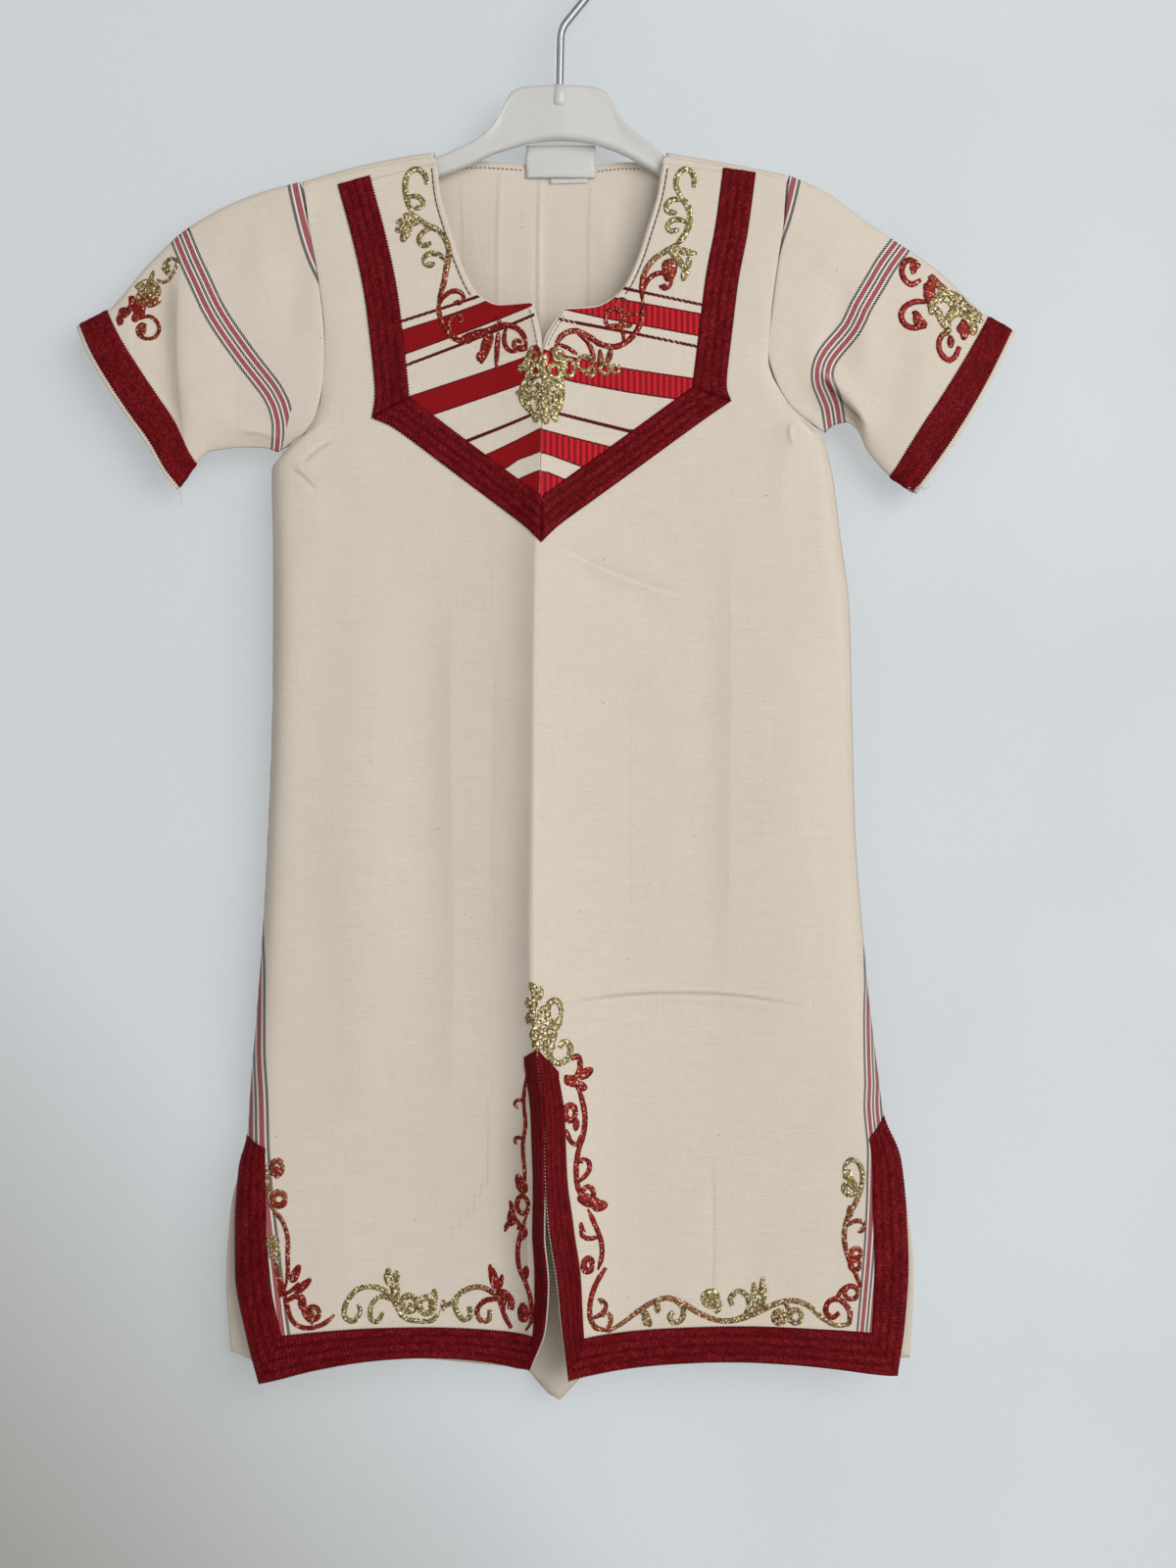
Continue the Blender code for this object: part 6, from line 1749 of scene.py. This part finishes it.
HEM_SCROLL = [
    # gold ornament over the middle slit, half of it lost in the crease
    vine((544, 1002), (547, 1016), (544, 1030), (548, 1046), (546, 1066), width=3.6, ends=0.6),
    ring(566, 1030, 7.2, 3.2, tall=1.6), ring(556, 1032, 4.6, 2.6, tall=1.4), leaf(548, 1020, 66, 18, 4.0),
    vine((546, 1044), (556, 1040), (568, 1046), (573, 1036), width=3.0), ring(562, 1050, 5.0, 2.8),
    ring(549, 1052, 5.2, 2.8), leaf(548, 1012, 110, 14, 4.0), ball(541, 1036, 3.4), ball(540, 1020, 2.8),
    vine((545, 1058), (556, 1056), (568, 1058)), vine((545, 1066), (556, 1064), (567, 1066)),
    vine((549, 1054), (550, 1072), width=2.6), vine((557, 1054), (557, 1072), width=2.6),
    vine((565, 1054), (563, 1070), width=2.6), ball(549, 1070, 2.8), ball(566, 1052, 3.0),
    # a gold curl and red ones beside it
    vine((562, 1062), (562, 1076), (571, 1082), (580, 1077), (582, 1066), (576, 1060), (571, 1066),
         width=3.2, tone=(0.0, 0.15), ends=0.8),
    vine((576, 1096), (587, 1097), (592, 1087), (590, 1076), (583, 1078), width=3.0, tone=(0.8, 1.0), ends=0.8),
    leaf(590, 1097, 22, 17, 5.4, DEEP), leaf(576, 1098, -28, 22, 4.6, DEEP), leaf(588, 1104, -30, 12, 5.0, DEEP),
    # the vine down the right of the slit
    vine((589, 1104), (594, 1120), (597, 1138), (595, 1156), (590, 1172), (588, 1190), (590, 1208),
         (598, 1224), width=2.8, tone=RED, ends=0.7),
    ring(582, 1132, 5.4, 3.4, DEEP, 1.4), vine((578, 1148), (582, 1160), (589, 1164), (595, 1152), width=2.4, tone=RED),
    ball(588, 1144, 3.4, DEEP), curl(590, 1202, 30, 44, 0.72, 2.8, RED, 1.4),
    curl(604, 1224, 70, 34, 0.75, 2.8, RED, 2.6), leaf(590, 1216, -32, 28, 6.6, RED), leaf(604, 1228, 4, 16, 6.0, RED, 0.0),
    vine((600, 1230), (607, 1246), (613, 1262), (614, 1278), (610, 1292), width=2.6, tone=RED),
    curl(612, 1258, 198, 34, -0.55, 2.6, RED, 3.4), ring(600, 1286, 4.4, 3.4, DEEP, 1.5),
    vine((618, 1290), (609, 1304), (603, 1320), (602, 1338), (608, 1350), (620, 1354), width=2.8,
         tone=(0.95, 0.6), ends=0.7),
    curl(605, 1340, 14, 34, 0.62, 2.7, (0.8, 0.6), 1.6), curl(618, 1354, 50, 34, 0.70, 2.7, (0.7, 0.4), 1.4),
    # left of the slit, narrow beside the crease
    vine((538, 1092), (535, 1120), (537, 1144), (534, 1166), (536, 1190), (537, 1210), width=2.0, tone=(0.9, 0.8)),
    curl(536, 1120, 170, 22, 0.7, 2.0, RED, 0.8), curl(536, 1160, 150, 20, 0.7, 2.0, RED, 0.8),
    leaf(536, 1214, 112, 20, 6.0, RED, 0.0), ring(534, 1226, 6.0, 2.6, RED, 1.5), ball(523, 1240, 4.6, DEEP),
    leaf(524, 1236, 96, 14, 2.6, DEEP), leaf(520, 1244, 240, 12, 2.6, DEEP), leaf(526, 1240, 300, 12, 2.6, DEEP),
    vine((538, 1236), (533, 1252), (529, 1270), (530, 1290), (537, 1306), (542, 1322), (543, 1342), (537, 1354),
         width=2.6, tone=DEEP),
    curl(532, 1262, 40, 26, 0.75, 2.2, DEEP, 1.4), leaf(535, 1302, 70, 14, 4.0, DEEP), leaf(534, 1346, 84, 20, 6.4, RED, 0.2),
    # left side of the hem
    ring(283, 1191, 5.6, 3.2, (0.55, 0.75), 1.25), ball(283, 1196, 3.4, (0.6, 0.8)), ring(285, 1223, 6.6, 3.6, (0.5, 0.8)),
    vine((271, 1186), (273, 1204), (274, 1222), (280, 1234), (289, 1246), (294, 1262), (294, 1280), (294, 1300),
         (291, 1316), width=2.4, tone=(0.45, 0.8)),
    ring(279, 1267, 5.0, 2.6, (0.35, 0.35)), ring(281, 1279, 4.4, 2.4, (0.3, 0.4)), ball(279, 1273, 4.0, (0.3, 0.4)),
    vine((282, 1286), (284, 1300), (290, 1314), width=2.6, tone=(0.5, 0.9)), ball(288, 1315, 4.0, (0.8, 0.9)),
    leaf(298, 1308, 68, 20, 4.6, RED, -0.1), leaf(301, 1318, 32, 22, 4.4, RED), vine((290, 1320), (298, 1316), (306, 1308), width=2.2, tone=RED),
    vine((291, 1316), (294, 1334), (300, 1348), (312, 1354), (326, 1352), (336, 1346), (342, 1340), width=2.6, tone=(0.9, 0.7)),
    vine((293, 1328), (301, 1322), (309, 1326), (311, 1338), (316, 1348), width=2.8, tone=RED), ball(309, 1328, 4.2, RED),
    ring(320, 1339, 6.4, 3.0, (0.7, 0.75)), curl(318, 1350, 60, 26, 0.8, 2.4, (0.6, 0.7), 1.4),
    # gold arches along the left hem
    vine((404, 1330), (394, 1317), (380, 1312), (365, 1315), (354, 1328), (352, 1342), (361, 1347), (368, 1338),
         (366, 1330), width=2.8, ends=0.8),
    vine((400, 1325), (388, 1322), (379, 1332), (379, 1345), (386, 1347), (391, 1338), width=2.6, ends=0.8),
    vine((404, 1334), (402, 1318), (398, 1306), width=2.6), ball(397, 1302, 4.6), vine((405, 1332), (406, 1316), (405, 1306), width=2.4),
    ball(405, 1302, 3.4), ring(418, 1329, 7.6, 3.4), ring(436, 1331, 8.0, 3.4), ball(419, 1334, 3.0), leaf(440, 1336, 72, 22, 4.4),
    vine((404, 1334), (414, 1344), (428, 1347), (442, 1346), (449, 1336), width=2.6), ball(453, 1331, 3.0),
    vine((453, 1332), (462, 1328), (472, 1317), (488, 1312), (502, 1317), (511, 1326), (515, 1340), (522, 1353),
         width=2.8, tone=(0.05, 1.0), ends=0.8),
    vine((466, 1322), (465, 1334), (472, 1345), (480, 1342), (479, 1332), width=2.8, tone=(0.1, 0.2), ends=0.9),
    vine((508, 1324), (495, 1326), (487, 1336), (491, 1346), (499, 1345), (500, 1335), width=2.8, tone=(0.9, 0.4), ends=0.8),
    leaf(505, 1314, 104, 26, 3.4, RED, -0.1), leaf(508, 1318, 92, 26, 3.0, RED), leaf(509, 1314, 68, 16, 3.0, RED),
    vine((508, 1318), (516, 1318), (522, 1326), (521, 1334), width=3.8, tone=RED, ends=0.9), ball(513, 1326, 4.4, RED),
    # right hem: a wave with curls under it
    vine((620, 1355), (634, 1348), (648, 1338), (664, 1328), (680, 1323), (696, 1328), (712, 1338), (732, 1346),
         (752, 1346), (772, 1339), (790, 1330), (808, 1326), (824, 1331), (838, 1343), (852, 1351), (866, 1350),
         width=2.8, tone=(0.55, 0.30), ends=0.8),
    vine((654, 1334), (660, 1342), (663, 1352), width=3.4, tone=(0.5, 0.4)), ball(659, 1343, 4.0, (0.4, 0.4)),
    vine((670, 1326), (671, 1338), width=3.2, tone=(0.3, 0.3)),
    vine((690, 1326), (697, 1334), (695, 1345), (687, 1348), (683, 1342), (687, 1337), width=2.9, tone=(0.2, 0.2), ends=0.9),
    ring(725, 1324, 6.2, 4.4), ball(724, 1325, 4.0), ball(732, 1331, 4.2),
    vine((742, 1347), (756, 1344), (764, 1334), (762, 1322), (753, 1317), (745, 1324), (747, 1331), width=2.9, ends=0.9),
    leaf(771, 1338, 98, 30, 3.8, (0.2, 0.15), -0.15), leaf(776, 1334, 82, 32, 4.4, (0.3, 0.2), 0.15),
    ring(795, 1343, 6.0, 3.0, (0.35, 0.4)), ring(811, 1342, 6.4, 3.0, (0.3, 0.4)), ball(796, 1345, 3.2, (0.5, 0.5)),
    vine((800, 1328), (806, 1338), (804, 1348), width=2.4, tone=(0.4, 0.5)),
    vine((866, 1350), (866, 1336), (856, 1325), (845, 1327), (842, 1337), (849, 1343), (856, 1338), width=2.9,
         tone=(0.6, 0.95), ends=0.8),
    ring(868, 1318, 6.8, 2.7, (0.7, 0.75)), vine((852, 1326), (858, 1316), (866, 1310), width=2.4, tone=RED),
    # right side, going up to gold
    vine((878, 1312), (872, 1298), (865, 1282), (861, 1264), (863, 1246), (870, 1232), (877, 1216), (880, 1200),
         (876, 1187), (868, 1183), (862, 1190), (862, 1202), width=2.7, tone=(0.85, 0.05), ends=0.8),
    ring(867, 1212, 6.0, 3.4, (0.35, 0.25)), ball(866, 1200, 4.0, (0.1, 0.1)), ball(869, 1206, 3.4, (0.2, 0.2)),
    curl(864, 1250, 40, 36, -0.80, 2.6, (0.6, 0.6), 1.8), ring(873, 1278, 5.0, 2.8, (0.75, 0.8)),
    ring(872, 1290, 5.0, 2.8, (0.8, 0.8)), ball(867, 1236, 3.4, (0.6, 0.5)), ball(869, 1284, 3.0, RED),
]

BROWN = (0.30, 0.30)
SLEEVE_SCROLL = {
    "left": [
        # a small spiral, a shell with slits, and a limb with a round curl
        vine((158, 282), (163, 285), (170, 283), (176, 275), (179, 265), (174, 261), (167, 264),
             (164, 271), (168, 276), width=2.0, tone=(0.50, 0.25), ends=0.7), ball(169, 272, 3.2, (0.3, 0.3)),
        leaf(150, 284, 64, 12, 2.6, (0.25, 0.3)),
        leaf(140, 306, 78, 19, 5.6, (0.60, 0.25), -0.1), leaf(141, 306, 56, 23, 5.8, (0.62, 0.25), -0.1),
        leaf(143, 306, 36, 22, 5.6, (0.65, 0.30), -0.1), leaf(144, 307, 14, 18, 5.4, (0.70, 0.45), -0.1),
        vine((136, 291), (142, 286), (150, 285), (156, 289), (159, 296), width=4.0, tone=(0.22, 0.45), ends=0.7),
        vine((138, 297), (139, 304), (144, 308), (152, 307), (158, 301), width=3.2, tone=(0.45, 0.6), ends=0.7),
        leaf(142, 299, -50, 9, 1.9, (0.5, 0.55)), leaf(146, 296, -50, 10, 1.9, (0.4, 0.55)),
        vine((131, 299), (132, 307), (128, 315), (121, 321), width=3.6, tone=(0.85, 1.0), ends=0.8),
        leaf(131, 308, -22, 16, 4.6, (0.85, 0.9), 0.3), leaf(138, 309, -80, 15, 6.0, (0.85, 0.95)),
        ball(120, 323, 3.8, DEEP), leaf(118, 315, 10, 10, 3.4, DEEP), leaf(138, 318, 235, 9, 4.4, DEEP),
        vine((141, 322), (150, 320), (157, 325), (160, 333), (156, 341), (148, 343.5), (140, 340),
             (138, 333), (142, 328), (147, 330), width=2.1, tone=(0.85, 0.6), ends=0.8),
        ball(143.5, 334, 3.4, (0.75, 0.6)),
    ],
    "right": [
        vine((938, 264), (930, 262), (924, 266), (921.5, 275), (925, 284), (932, 288), (941, 283),
             width=3.2, tone=(0.8, 0.95), ends=0.7), ball(934, 270, 4.0, RED), leaf(934, 269, 12, 8, 3.4, (0.7, 0.8)),
        vine((951, 278), (956, 284), (962, 290), (968, 294), width=4.4, tone=(0.8, 0.4), ends=0.8),
        leaf(950, 282, -78, 12, 3.8, (0.75, 0.8)), ball(950, 297, 6.2, (0.97, 0.97)), leaf(944, 293, 20, 14, 6.0, RED),
        vine((946, 306), (935, 306), (925, 311), (920.5, 320), (924, 329), (933, 333), (946, 331),
             width=3.1, tone=(0.9, 0.95), ends=0.8),
        vine((947, 331), (941, 325), (937, 319), (932, 317), width=3.0, tone=RED), ball(937, 323, 4.2, RED),
        vine((970, 338), (963, 340), (959, 349), (961, 359), (969, 366), (976, 362), (980.5, 352),
             width=3.0, tone=(0.6, 0.95), ends=0.8), ball(971.5, 347, 3.6, (0.9, 0.8)), leaf(964, 337, 10, 9, 3.6, BROWN),
        # gold loops about an opening, with two arms towards the cuff
        vine((956, 302), (963, 297), (973, 297), (982, 301), (988, 308), (996, 314), (1004, 320),
             width=4.0, tone=(0.15, 0.2), ends=0.8),
        vine((949, 312), (955, 305), (964, 302), (972, 306), (975, 313), (970, 321), (965, 331), (971, 328),
             width=3.8, tone=(0.15, 0.3), ends=0.8),
        vine((949, 312), (957, 314), (961, 322), (965, 331), width=4.0, tone=(0.2, 0.3), ends=0.8),
        vine((966, 330), (972, 321), (979, 317), (987, 320), (992, 328), width=3.8, tone=(0.1, 0.3), ends=0.8),
        ring(981, 309, 5.0, 3.0), leaf(957, 308, 60, 9, 4.4, (0.1, 0.1)), leaf(988, 316, -35, 20, 4.6, (0.1, 0.2)),
        ball(952, 313, 3.6, (0.25, 0.25)), leaf(984, 304, -80, 13, 4.0, (0.1, 0.1)),
        ball(986, 334, 5.4, (0.9, 0.8)), leaf(980, 338, 60, 14, 4.6, (0.75, 0.9)), leaf(994, 340, 75, 15, 4.6, (0.45, 0.3)),
    ],
}
SCROLL_RISE = 0.42


def build_scroll(name, strokes, surface, sink=0.10):
    """Raised strokes on a surface, which gives points and directions."""
    build = Build()
    q = np.array([-1.0, -0.72, -0.3, 0.3, 0.72, 1.0])
    for number, (line, half, tone) in enumerate(strokes):
        path = np.array([at(px, py) for px, py in line])
        reach = line_length(path)
        n = max(6, int(reach / 0.85))
        t = np.linspace(0, 1, n + 1)
        path = resample(path, t)
        wide = np.interp(t, np.linspace(0, 1, len(half)), half)
        way = np.gradient(path, axis=0)
        way /= np.linalg.norm(way, axis=1, keepdims=True) + 1e-9
        side = np.stack([-way[:, 1], way[:, 0]], -1)
        rough = 1 + 0.10 * unevenness(path[:, 0] * 3 + number * 7, path[:, 1] * 3, 2.4, 61)
        place = path[:, None] + side[:, None] * (wide * rough)[:, None, None] * -q[None, :, None]
        x, z = place[..., 0], place[..., 1]
        base, normal, good = surface(x, z)
        if not good.all():
            rows = good.all(axis=1)
            if rows.sum() < 6:
                continue
            start = np.argmax(rows)
            stop = start
            while stop < len(rows) and rows[stop]:
                stop += 1
            if stop - start < 6:
                continue
            base, normal, x, z = base[start:stop], normal[start:stop], x[start:stop], z[start:stop]
            t, wide = t[start:stop], wide[start:stop]
        rise = SCROLL_RISE * np.sqrt(np.clip(1 - np.abs(q) ** 2.4, 0, 1))[None]
        rise = rise * np.clip(wide / 0.9, 0.35, 1.35)[:, None]
        rise = rise * (1 + 0.22 * unevenness(x * 2.0, z * 2.0, 1.3, 62))
        tones = (tone[0] + (tone[1] - tone[0]) * t)[:, None]
        strip(build, base, normal, rise, 0.03 + 0.012 * (number % 5), sink + 0.1,
              cloth=np.stack([x, z, 0 * x], -1), tone=np.broadcast_to(tones, x.shape))
    return build.make(name, GLITTER)


def front_surface(lift):
    def surface(x, z):
        base, normal = front_points(x, z, np.full(np.shape(x), lift))
        return base, normal, np.ones(np.shape(x), bool)
    return surface


def ray_surface(obj, from_y=-60.0):
    tree = BVHTree.FromPolygons([v.co[:] for v in obj.data.vertices],
                                [p.vertices[:] for p in obj.data.polygons])

    def surface(x, z):
        base = np.zeros(x.shape + (3,))
        normal = np.zeros(x.shape + (3,))
        normal[..., 1] = -1
        good = np.zeros(x.shape, bool)
        for i in np.ndindex(x.shape):
            spot, facing, _, _ = tree.ray_cast(
                Vector((x[i] * MM, from_y * MM, z[i] * MM)), Vector((0, 1, 0)), 0.2)
            if spot is not None:
                base[i] = np.array(spot) / MM
                facing = np.array(facing)
                normal[i] = facing if facing[1] < 0 else -facing
                good[i] = True
        return base, normal, good
    return surface


# ----------------------------------------------------------- threads, label
def stitches(build, line, heights, length=2.3, gap=0.9, radius=0.26):
    """Dashes of thread along a line in the front view."""
    total = line_length(line)
    count = int(total / (length + gap))
    for k in range(count):
        a, b = k * (length + gap) / total, (k * (length + gap) + length) / total
        t = np.linspace(a, b, 5)
        xz = resample(line, t)
        lift = heights + 0.20 * np.sin(math.pi * np.linspace(0, 1, 5)) - 0.10
        points, _ = front_points(xz[:, 0], xz[:, 1], lift)
        tube(build, points, radius, 6)


def neck_line(side, inset, start=0.15, end=7.1):
    table = BIB_LEFT if side == "left" else BIB_RIGHT
    position = np.linspace(start, end, 120)
    rows = {k: curve_with_corner([row[i] for row in table], position, 6)
            for i, k in enumerate(BIB_COLUMNS)}
    inner = np.stack([rows["x_in"], rows["z_in"]], -1)
    way = np.gradient(inner, axis=0)
    way /= np.linalg.norm(way, axis=1, keepdims=True)
    out = np.stack([way[:, 1], -way[:, 0]], -1)
    if side == "right":
        out = -out
    line = inner + out * inset
    keep = [line[0]]
    for point in line[1:]:
        if np.linalg.norm(point - keep[-1]) > 0.8:
            keep.append(point)
    return np.array(keep)


def build_topstitch():
    build = Build()
    for side, stop in (("left", 304), ("right", 303)):
        line = neck_line(side, 2.5)
        low = int(np.argmax(line[:, 1] < at(600, stop)[1]))
        stitches(build, line[:low], BIB_LIFT + 0.26, 2.5, 0.5, 0.27)
        stitches(build, neck_line(side, 1.7, 6.12, 6.98), BIB_LIFT + 0.20, 1.9, 0.6, 0.16)
    return build.make("neck_topstitch", DARK_THREAD)


def build_label():
    t = np.linspace(0, 1, 19)
    build = Build()
    rows = []
    for z in np.linspace(LABEL["z_high"], LABEL["z_low"], 12):
        w = (z - LABEL["z_low"]) / (LABEL["z_high"] - LABEL["z_low"])
        x = LABEL["x_low"] + (LABEL["x_high"] - LABEL["x_low"]) * t + 0.35 * np.sin(9 * w)
        bow = 0.75 * np.sin(math.pi * t) + 0.3 * np.sin(5.0 * t + 3.0 * w) * w
        rows.append(np.stack([x, LABEL["y"] - bow, np.full_like(x, z)], -1))
    rows = np.array(rows)
    build.grid(rows, cloth=rows[..., [0, 2, 1]])
    # the edge of a second, narrower label shows under it
    rows = []
    for z in np.linspace(-124.6, -128.2, 5):
        x = np.linspace(-4.6, 14.8, 12)
        rows.append(np.stack([x, np.full_like(x, 5.15) - 0.1 * np.sin(x), np.full_like(x, z) + 0.03 * x], -1))
    rows = np.array(rows)
    build.grid(rows, cloth=rows[..., [0, 2, 1]])
    return build.make("bare_label", LABEL_CLOTH, wall=0.35)


def build_back_neck_stitch():
    build = Build()
    for x0, x1 in ((-52.0, -18.5), (20.0, 50.0)):
        x = np.linspace(x0, x1, 60)
        z = np.interp(x, [p[0] for p in BACK_NECK], [p[1] for p in BACK_NECK]) - 3.4
        for k in range(0, 57, 4):
            tube(build, np.stack([x[k:k + 3], np.full(3, 5.15) , z[k:k + 3]], -1), 0.22, 6)
    return build.make("back_neck_stitch", DARK_THREAD)


def build_loose_threads():
    build = Build()
    k = [((934, 499), (940, 494), (947, 497), (952, 492)), ((938, 503), (936, 497), (942, 494), (945, 500)),
         ((930, 505), (933, 500), (929, 496), (934, 494))]
    for number, points in enumerate(k):
        line = spline([at(*p) for p in points], 0.8)
        y = -3.2 - 1.4 * np.sin(np.linspace(0, 2.4, len(line)) + number)
        tube(build, np.stack([line[:, 0], y, line[:, 1]], -1), 0.16, 6)
    line = spline([at(*p) for p in ((181, 494), (179, 502), (182, 508), (178, 514))], 0.8)
    tube(build, np.stack([line[:, 0], np.full(len(line), -1.0), line[:, 1]], -1), 0.16, 6)
    return build.make("loose_threads", PALE_THREAD)


# ------------------------------------------------------------------ hanger
def build_hanger():
    reach = np.array([row[0] for row in HANGER])
    x = np.concatenate([[-146.0], np.linspace(-145.2, 145.2, 210), [146.0]])
    position = np.interp(x, reach, np.arange(len(reach)))
    top, low, half = (curve_through([row[k] for row in HANGER], position) for k in (1, 2, 3))
    rings = []
    count = 36
    a = np.linspace(0, 2 * math.pi, count, endpoint=False)
    for xi, t, l, h in zip(x, top, low, half):
        middle, tall = 0.5 * (t + l), 0.5 * (t - l)
        c, s = np.cos(a), np.sin(a)
        z = middle + tall * np.sign(s) * np.abs(s) ** 0.35
        edge = np.minimum(t - z, z - l)
        rim = 0.55 * np.exp(-((edge - 2.2) / 1.5) ** 2) if tall > 4 else 0
        y = (h - 0.5 + rim) * np.sign(c) * np.abs(c) ** 0.42
        rings.append(np.stack([np.full(count, xi), y, z], -1))
    rings = np.array(rings)
    build = Build()
    index = build.grid(rings, wrap=True)
    build.ngons.append(list(index[0]))
    build.ngons.append(list(index[-1][::-1]))
    # socket collar for the hook
    z = np.array([-80.4, -80.2, -80.6, -86.6, -89.6, -90.8, -91.2])
    r = np.array([2.2, 3.4, 4.0, 4.3, 4.3, 3.6, 2.0])
    path = np.stack([np.full(7, 0.4), np.zeros(7), z], -1)
    angle = np.linspace(0, 2 * math.pi, 24, endpoint=False)
    collar = np.stack([0.4 + r[:, None] * np.cos(angle), r[:, None] * np.sin(angle) * 1.08,
                       np.broadcast_to(z[:, None], (7, 24))], -1)
    index = build.grid(collar, wrap=True)
    build.ngons.append(list(index[0]))
    build.ngons.append(list(index[-1][::-1]))
    return build.make("hanger_plastic", PLASTIC, sharp=75)


def hook_path():
    foot = np.array([0.3, 0.0, HOOK_FOOT_Z])
    kink = np.array([1.0, 0.0, HOOK_KINK_Z])
    centre = np.array([0.0, 0.0, HOOK_CENTRE_Z])
    to_centre = centre - kink
    size = np.linalg.norm(to_centre)
    lean = math.asin(HOOK_RADIUS / size)
    heading = math.atan2(to_centre[0], to_centre[2]) + lean
    reach = math.sqrt(size ** 2 - HOOK_RADIUS ** 2)
    touch = kink + np.array([math.sin(heading), 0.0, math.cos(heading)]) * reach
    down = (foot - kink) / np.linalg.norm(foot - kink)
    up = (touch - kink) / np.linalg.norm(touch - kink)
    points = [foot + down * 1.2 * 0]
    points += [foot * (1 - t) + (kink + down * 5) * t for t in (0.25, 0.5, 0.75)]
    for t in np.linspace(0, 1, 9):
        points.append((kink + down * 5 * (1 - t)) * (1 - t) + (kink + up * 5 * t) * t)
    points += [kink * (1 - t) + touch * t for t in (0.4, 0.6, 0.8)]
    start = math.atan2(touch[2] - centre[2], touch[0] - centre[0])
    sweep = math.radians(186.0) - start
    for k in range(61):
        angle = start + sweep * k / 60
        points.append(centre + np.array([math.cos(angle), 0.0, math.sin(angle)]) * HOOK_RADIUS)
    return np.array(points)


def build_hook():
    build = Build()
    path = hook_path()
    radius = np.full(len(path), WIRE_RADIUS)
    radius[-1], radius[-2] = 1.2, 1.8
    tube(build, path, radius, 20)
    return build.make("hook_wire", STEEL, sharp=60)


# --------------------------------------------------------------------- make
def declare(obj, node):
    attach(obj, ROOT)
    if node:
        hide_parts(node)
    return obj


front = declare(build_front(), "front_panel")
back = declare(build_back(), "back_panel")
hanger = declare(build_hanger(), "hanger_body")
hook = declare(build_hook(), "hook")
topstitch = declare(build_topstitch(), None)
back_stitch = declare(build_back_neck_stitch(), None)
threads = declare(build_loose_threads(), None)
label = declare(build_label(), "neck_label")

sleeves, cuffs, bibs, hems = {}, {}, {}, {}
for side in ("left", "right"):
    sleeves[side] = declare(build_sleeve(side), "sleeve_" + side)
    cuffs[side], cuff_length = build_cuff_braid(side)
    declare(cuffs[side], "cuff_braid_" + side)
    bibs[side] = declare(build_bib(side), "bib_" + side)
    hems[side] = build_hem_braid(side)
    declare(hems[side][0], "hem_braid_" + side)
bib_braid, bib_braid_length = build_bib_braid()
declare(bib_braid, "bib_braid")

neck_scroll = declare(build_scroll("neck_scroll_print", NECK_SCROLL,
                                   front_surface(BIB_LIFT + 0.14)), None)
hem_scroll = declare(build_scroll("hem_scroll_print", HEM_SCROLL, front_surface(0.0)),
                     None)
for side in ("left", "right"):
    declare(build_scroll(
        "sleeve_scroll_print_" + side, SLEEVE_SCROLL[side], ray_surface(sleeves[side])),
        None)

# -------------------------------------------------------------------- stage
def plane(name, corners, material):
    mesh = bpy.data.meshes.new(name)
    mesh.from_pydata(corners, [], [(0, 1, 2, 3)])
    mesh.materials.append(material)
    obj = bpy.data.objects.new(name, mesh)
    bpy.context.scene.collection.objects.link(obj)
    return obj


WALL_Y, FLOOR_Z = 0.0175, -0.98
wall = plane("wall", [(-4, WALL_Y, FLOOR_Z), (4, WALL_Y, FLOOR_Z), (4, WALL_Y, 2.6),
                      (-4, WALL_Y, 2.6)], wall_material())
wall.visible_shadow = False
wall.visible_diffuse = False
wall.visible_glossy = False
floor = plane("floor", [(-6, -6, FLOOR_Z), (6, -6, FLOOR_Z), (6, 6, FLOOR_Z), (-6, 6, FLOOR_Z)],
              plain_material("pale_floor", (0.66, 0.66, 0.65), 0.8, 0.04))


def area_light(name, place, target, size, energy, colour):
    data = bpy.data.lights.new(name, "AREA")
    data.shape = "RECTANGLE"
    data.size, data.size_y = size
    data.energy = energy
    data.color = colour
    obj = bpy.data.objects.new(name, data)
    obj.location = place
    obj.rotation_mode = "QUATERNION"
    obj.rotation_quaternion = (Vector(target) - Vector(place)).to_track_quat("-Z", "Y")
    bpy.context.scene.collection.objects.link(obj)
    return obj


area_light("window", (1.65, -2.45, 0.35), (0.0, 0.0, -0.42), (2.6, 2.3), 75.0, (1.0, 0.985, 0.965))
area_light("room", (-1.8, -2.4, 0.7), (0.0, 0.0, -0.45), (2.2, 2.2), 11.0, (1.0, 0.975, 0.95))
area_light("behind", (-0.9, 2.2, 0.6), (0.0, 0.0, -0.45), (1.6, 1.6), 34.0, (1.0, 0.98, 0.96))

world = bpy.data.worlds.new("soft_room")
world.use_nodes = True
world.node_tree.nodes["Background"].inputs[0].default_value = (0.80, 0.86, 0.92, 1.0)
world.node_tree.nodes["Background"].inputs[1].default_value = 0.29
bpy.context.scene.world = world
bpy.context.scene.view_settings.view_transform = "Standard"

camera_data = bpy.data.cameras.new("camera")
camera_data.sensor_fit = "VERTICAL"
camera_data.sensor_height = 36.0
camera_data.sensor_width = 36.0
camera_data.lens = 45.0
camera = bpy.data.objects.new("camera", camera_data)
camera.location = (0.015, -1.0, -0.436)
camera.rotation_euler = (math.pi / 2, 0.0, 0.0)
bpy.context.scene.collection.objects.link(camera)
bpy.context.scene.camera = camera
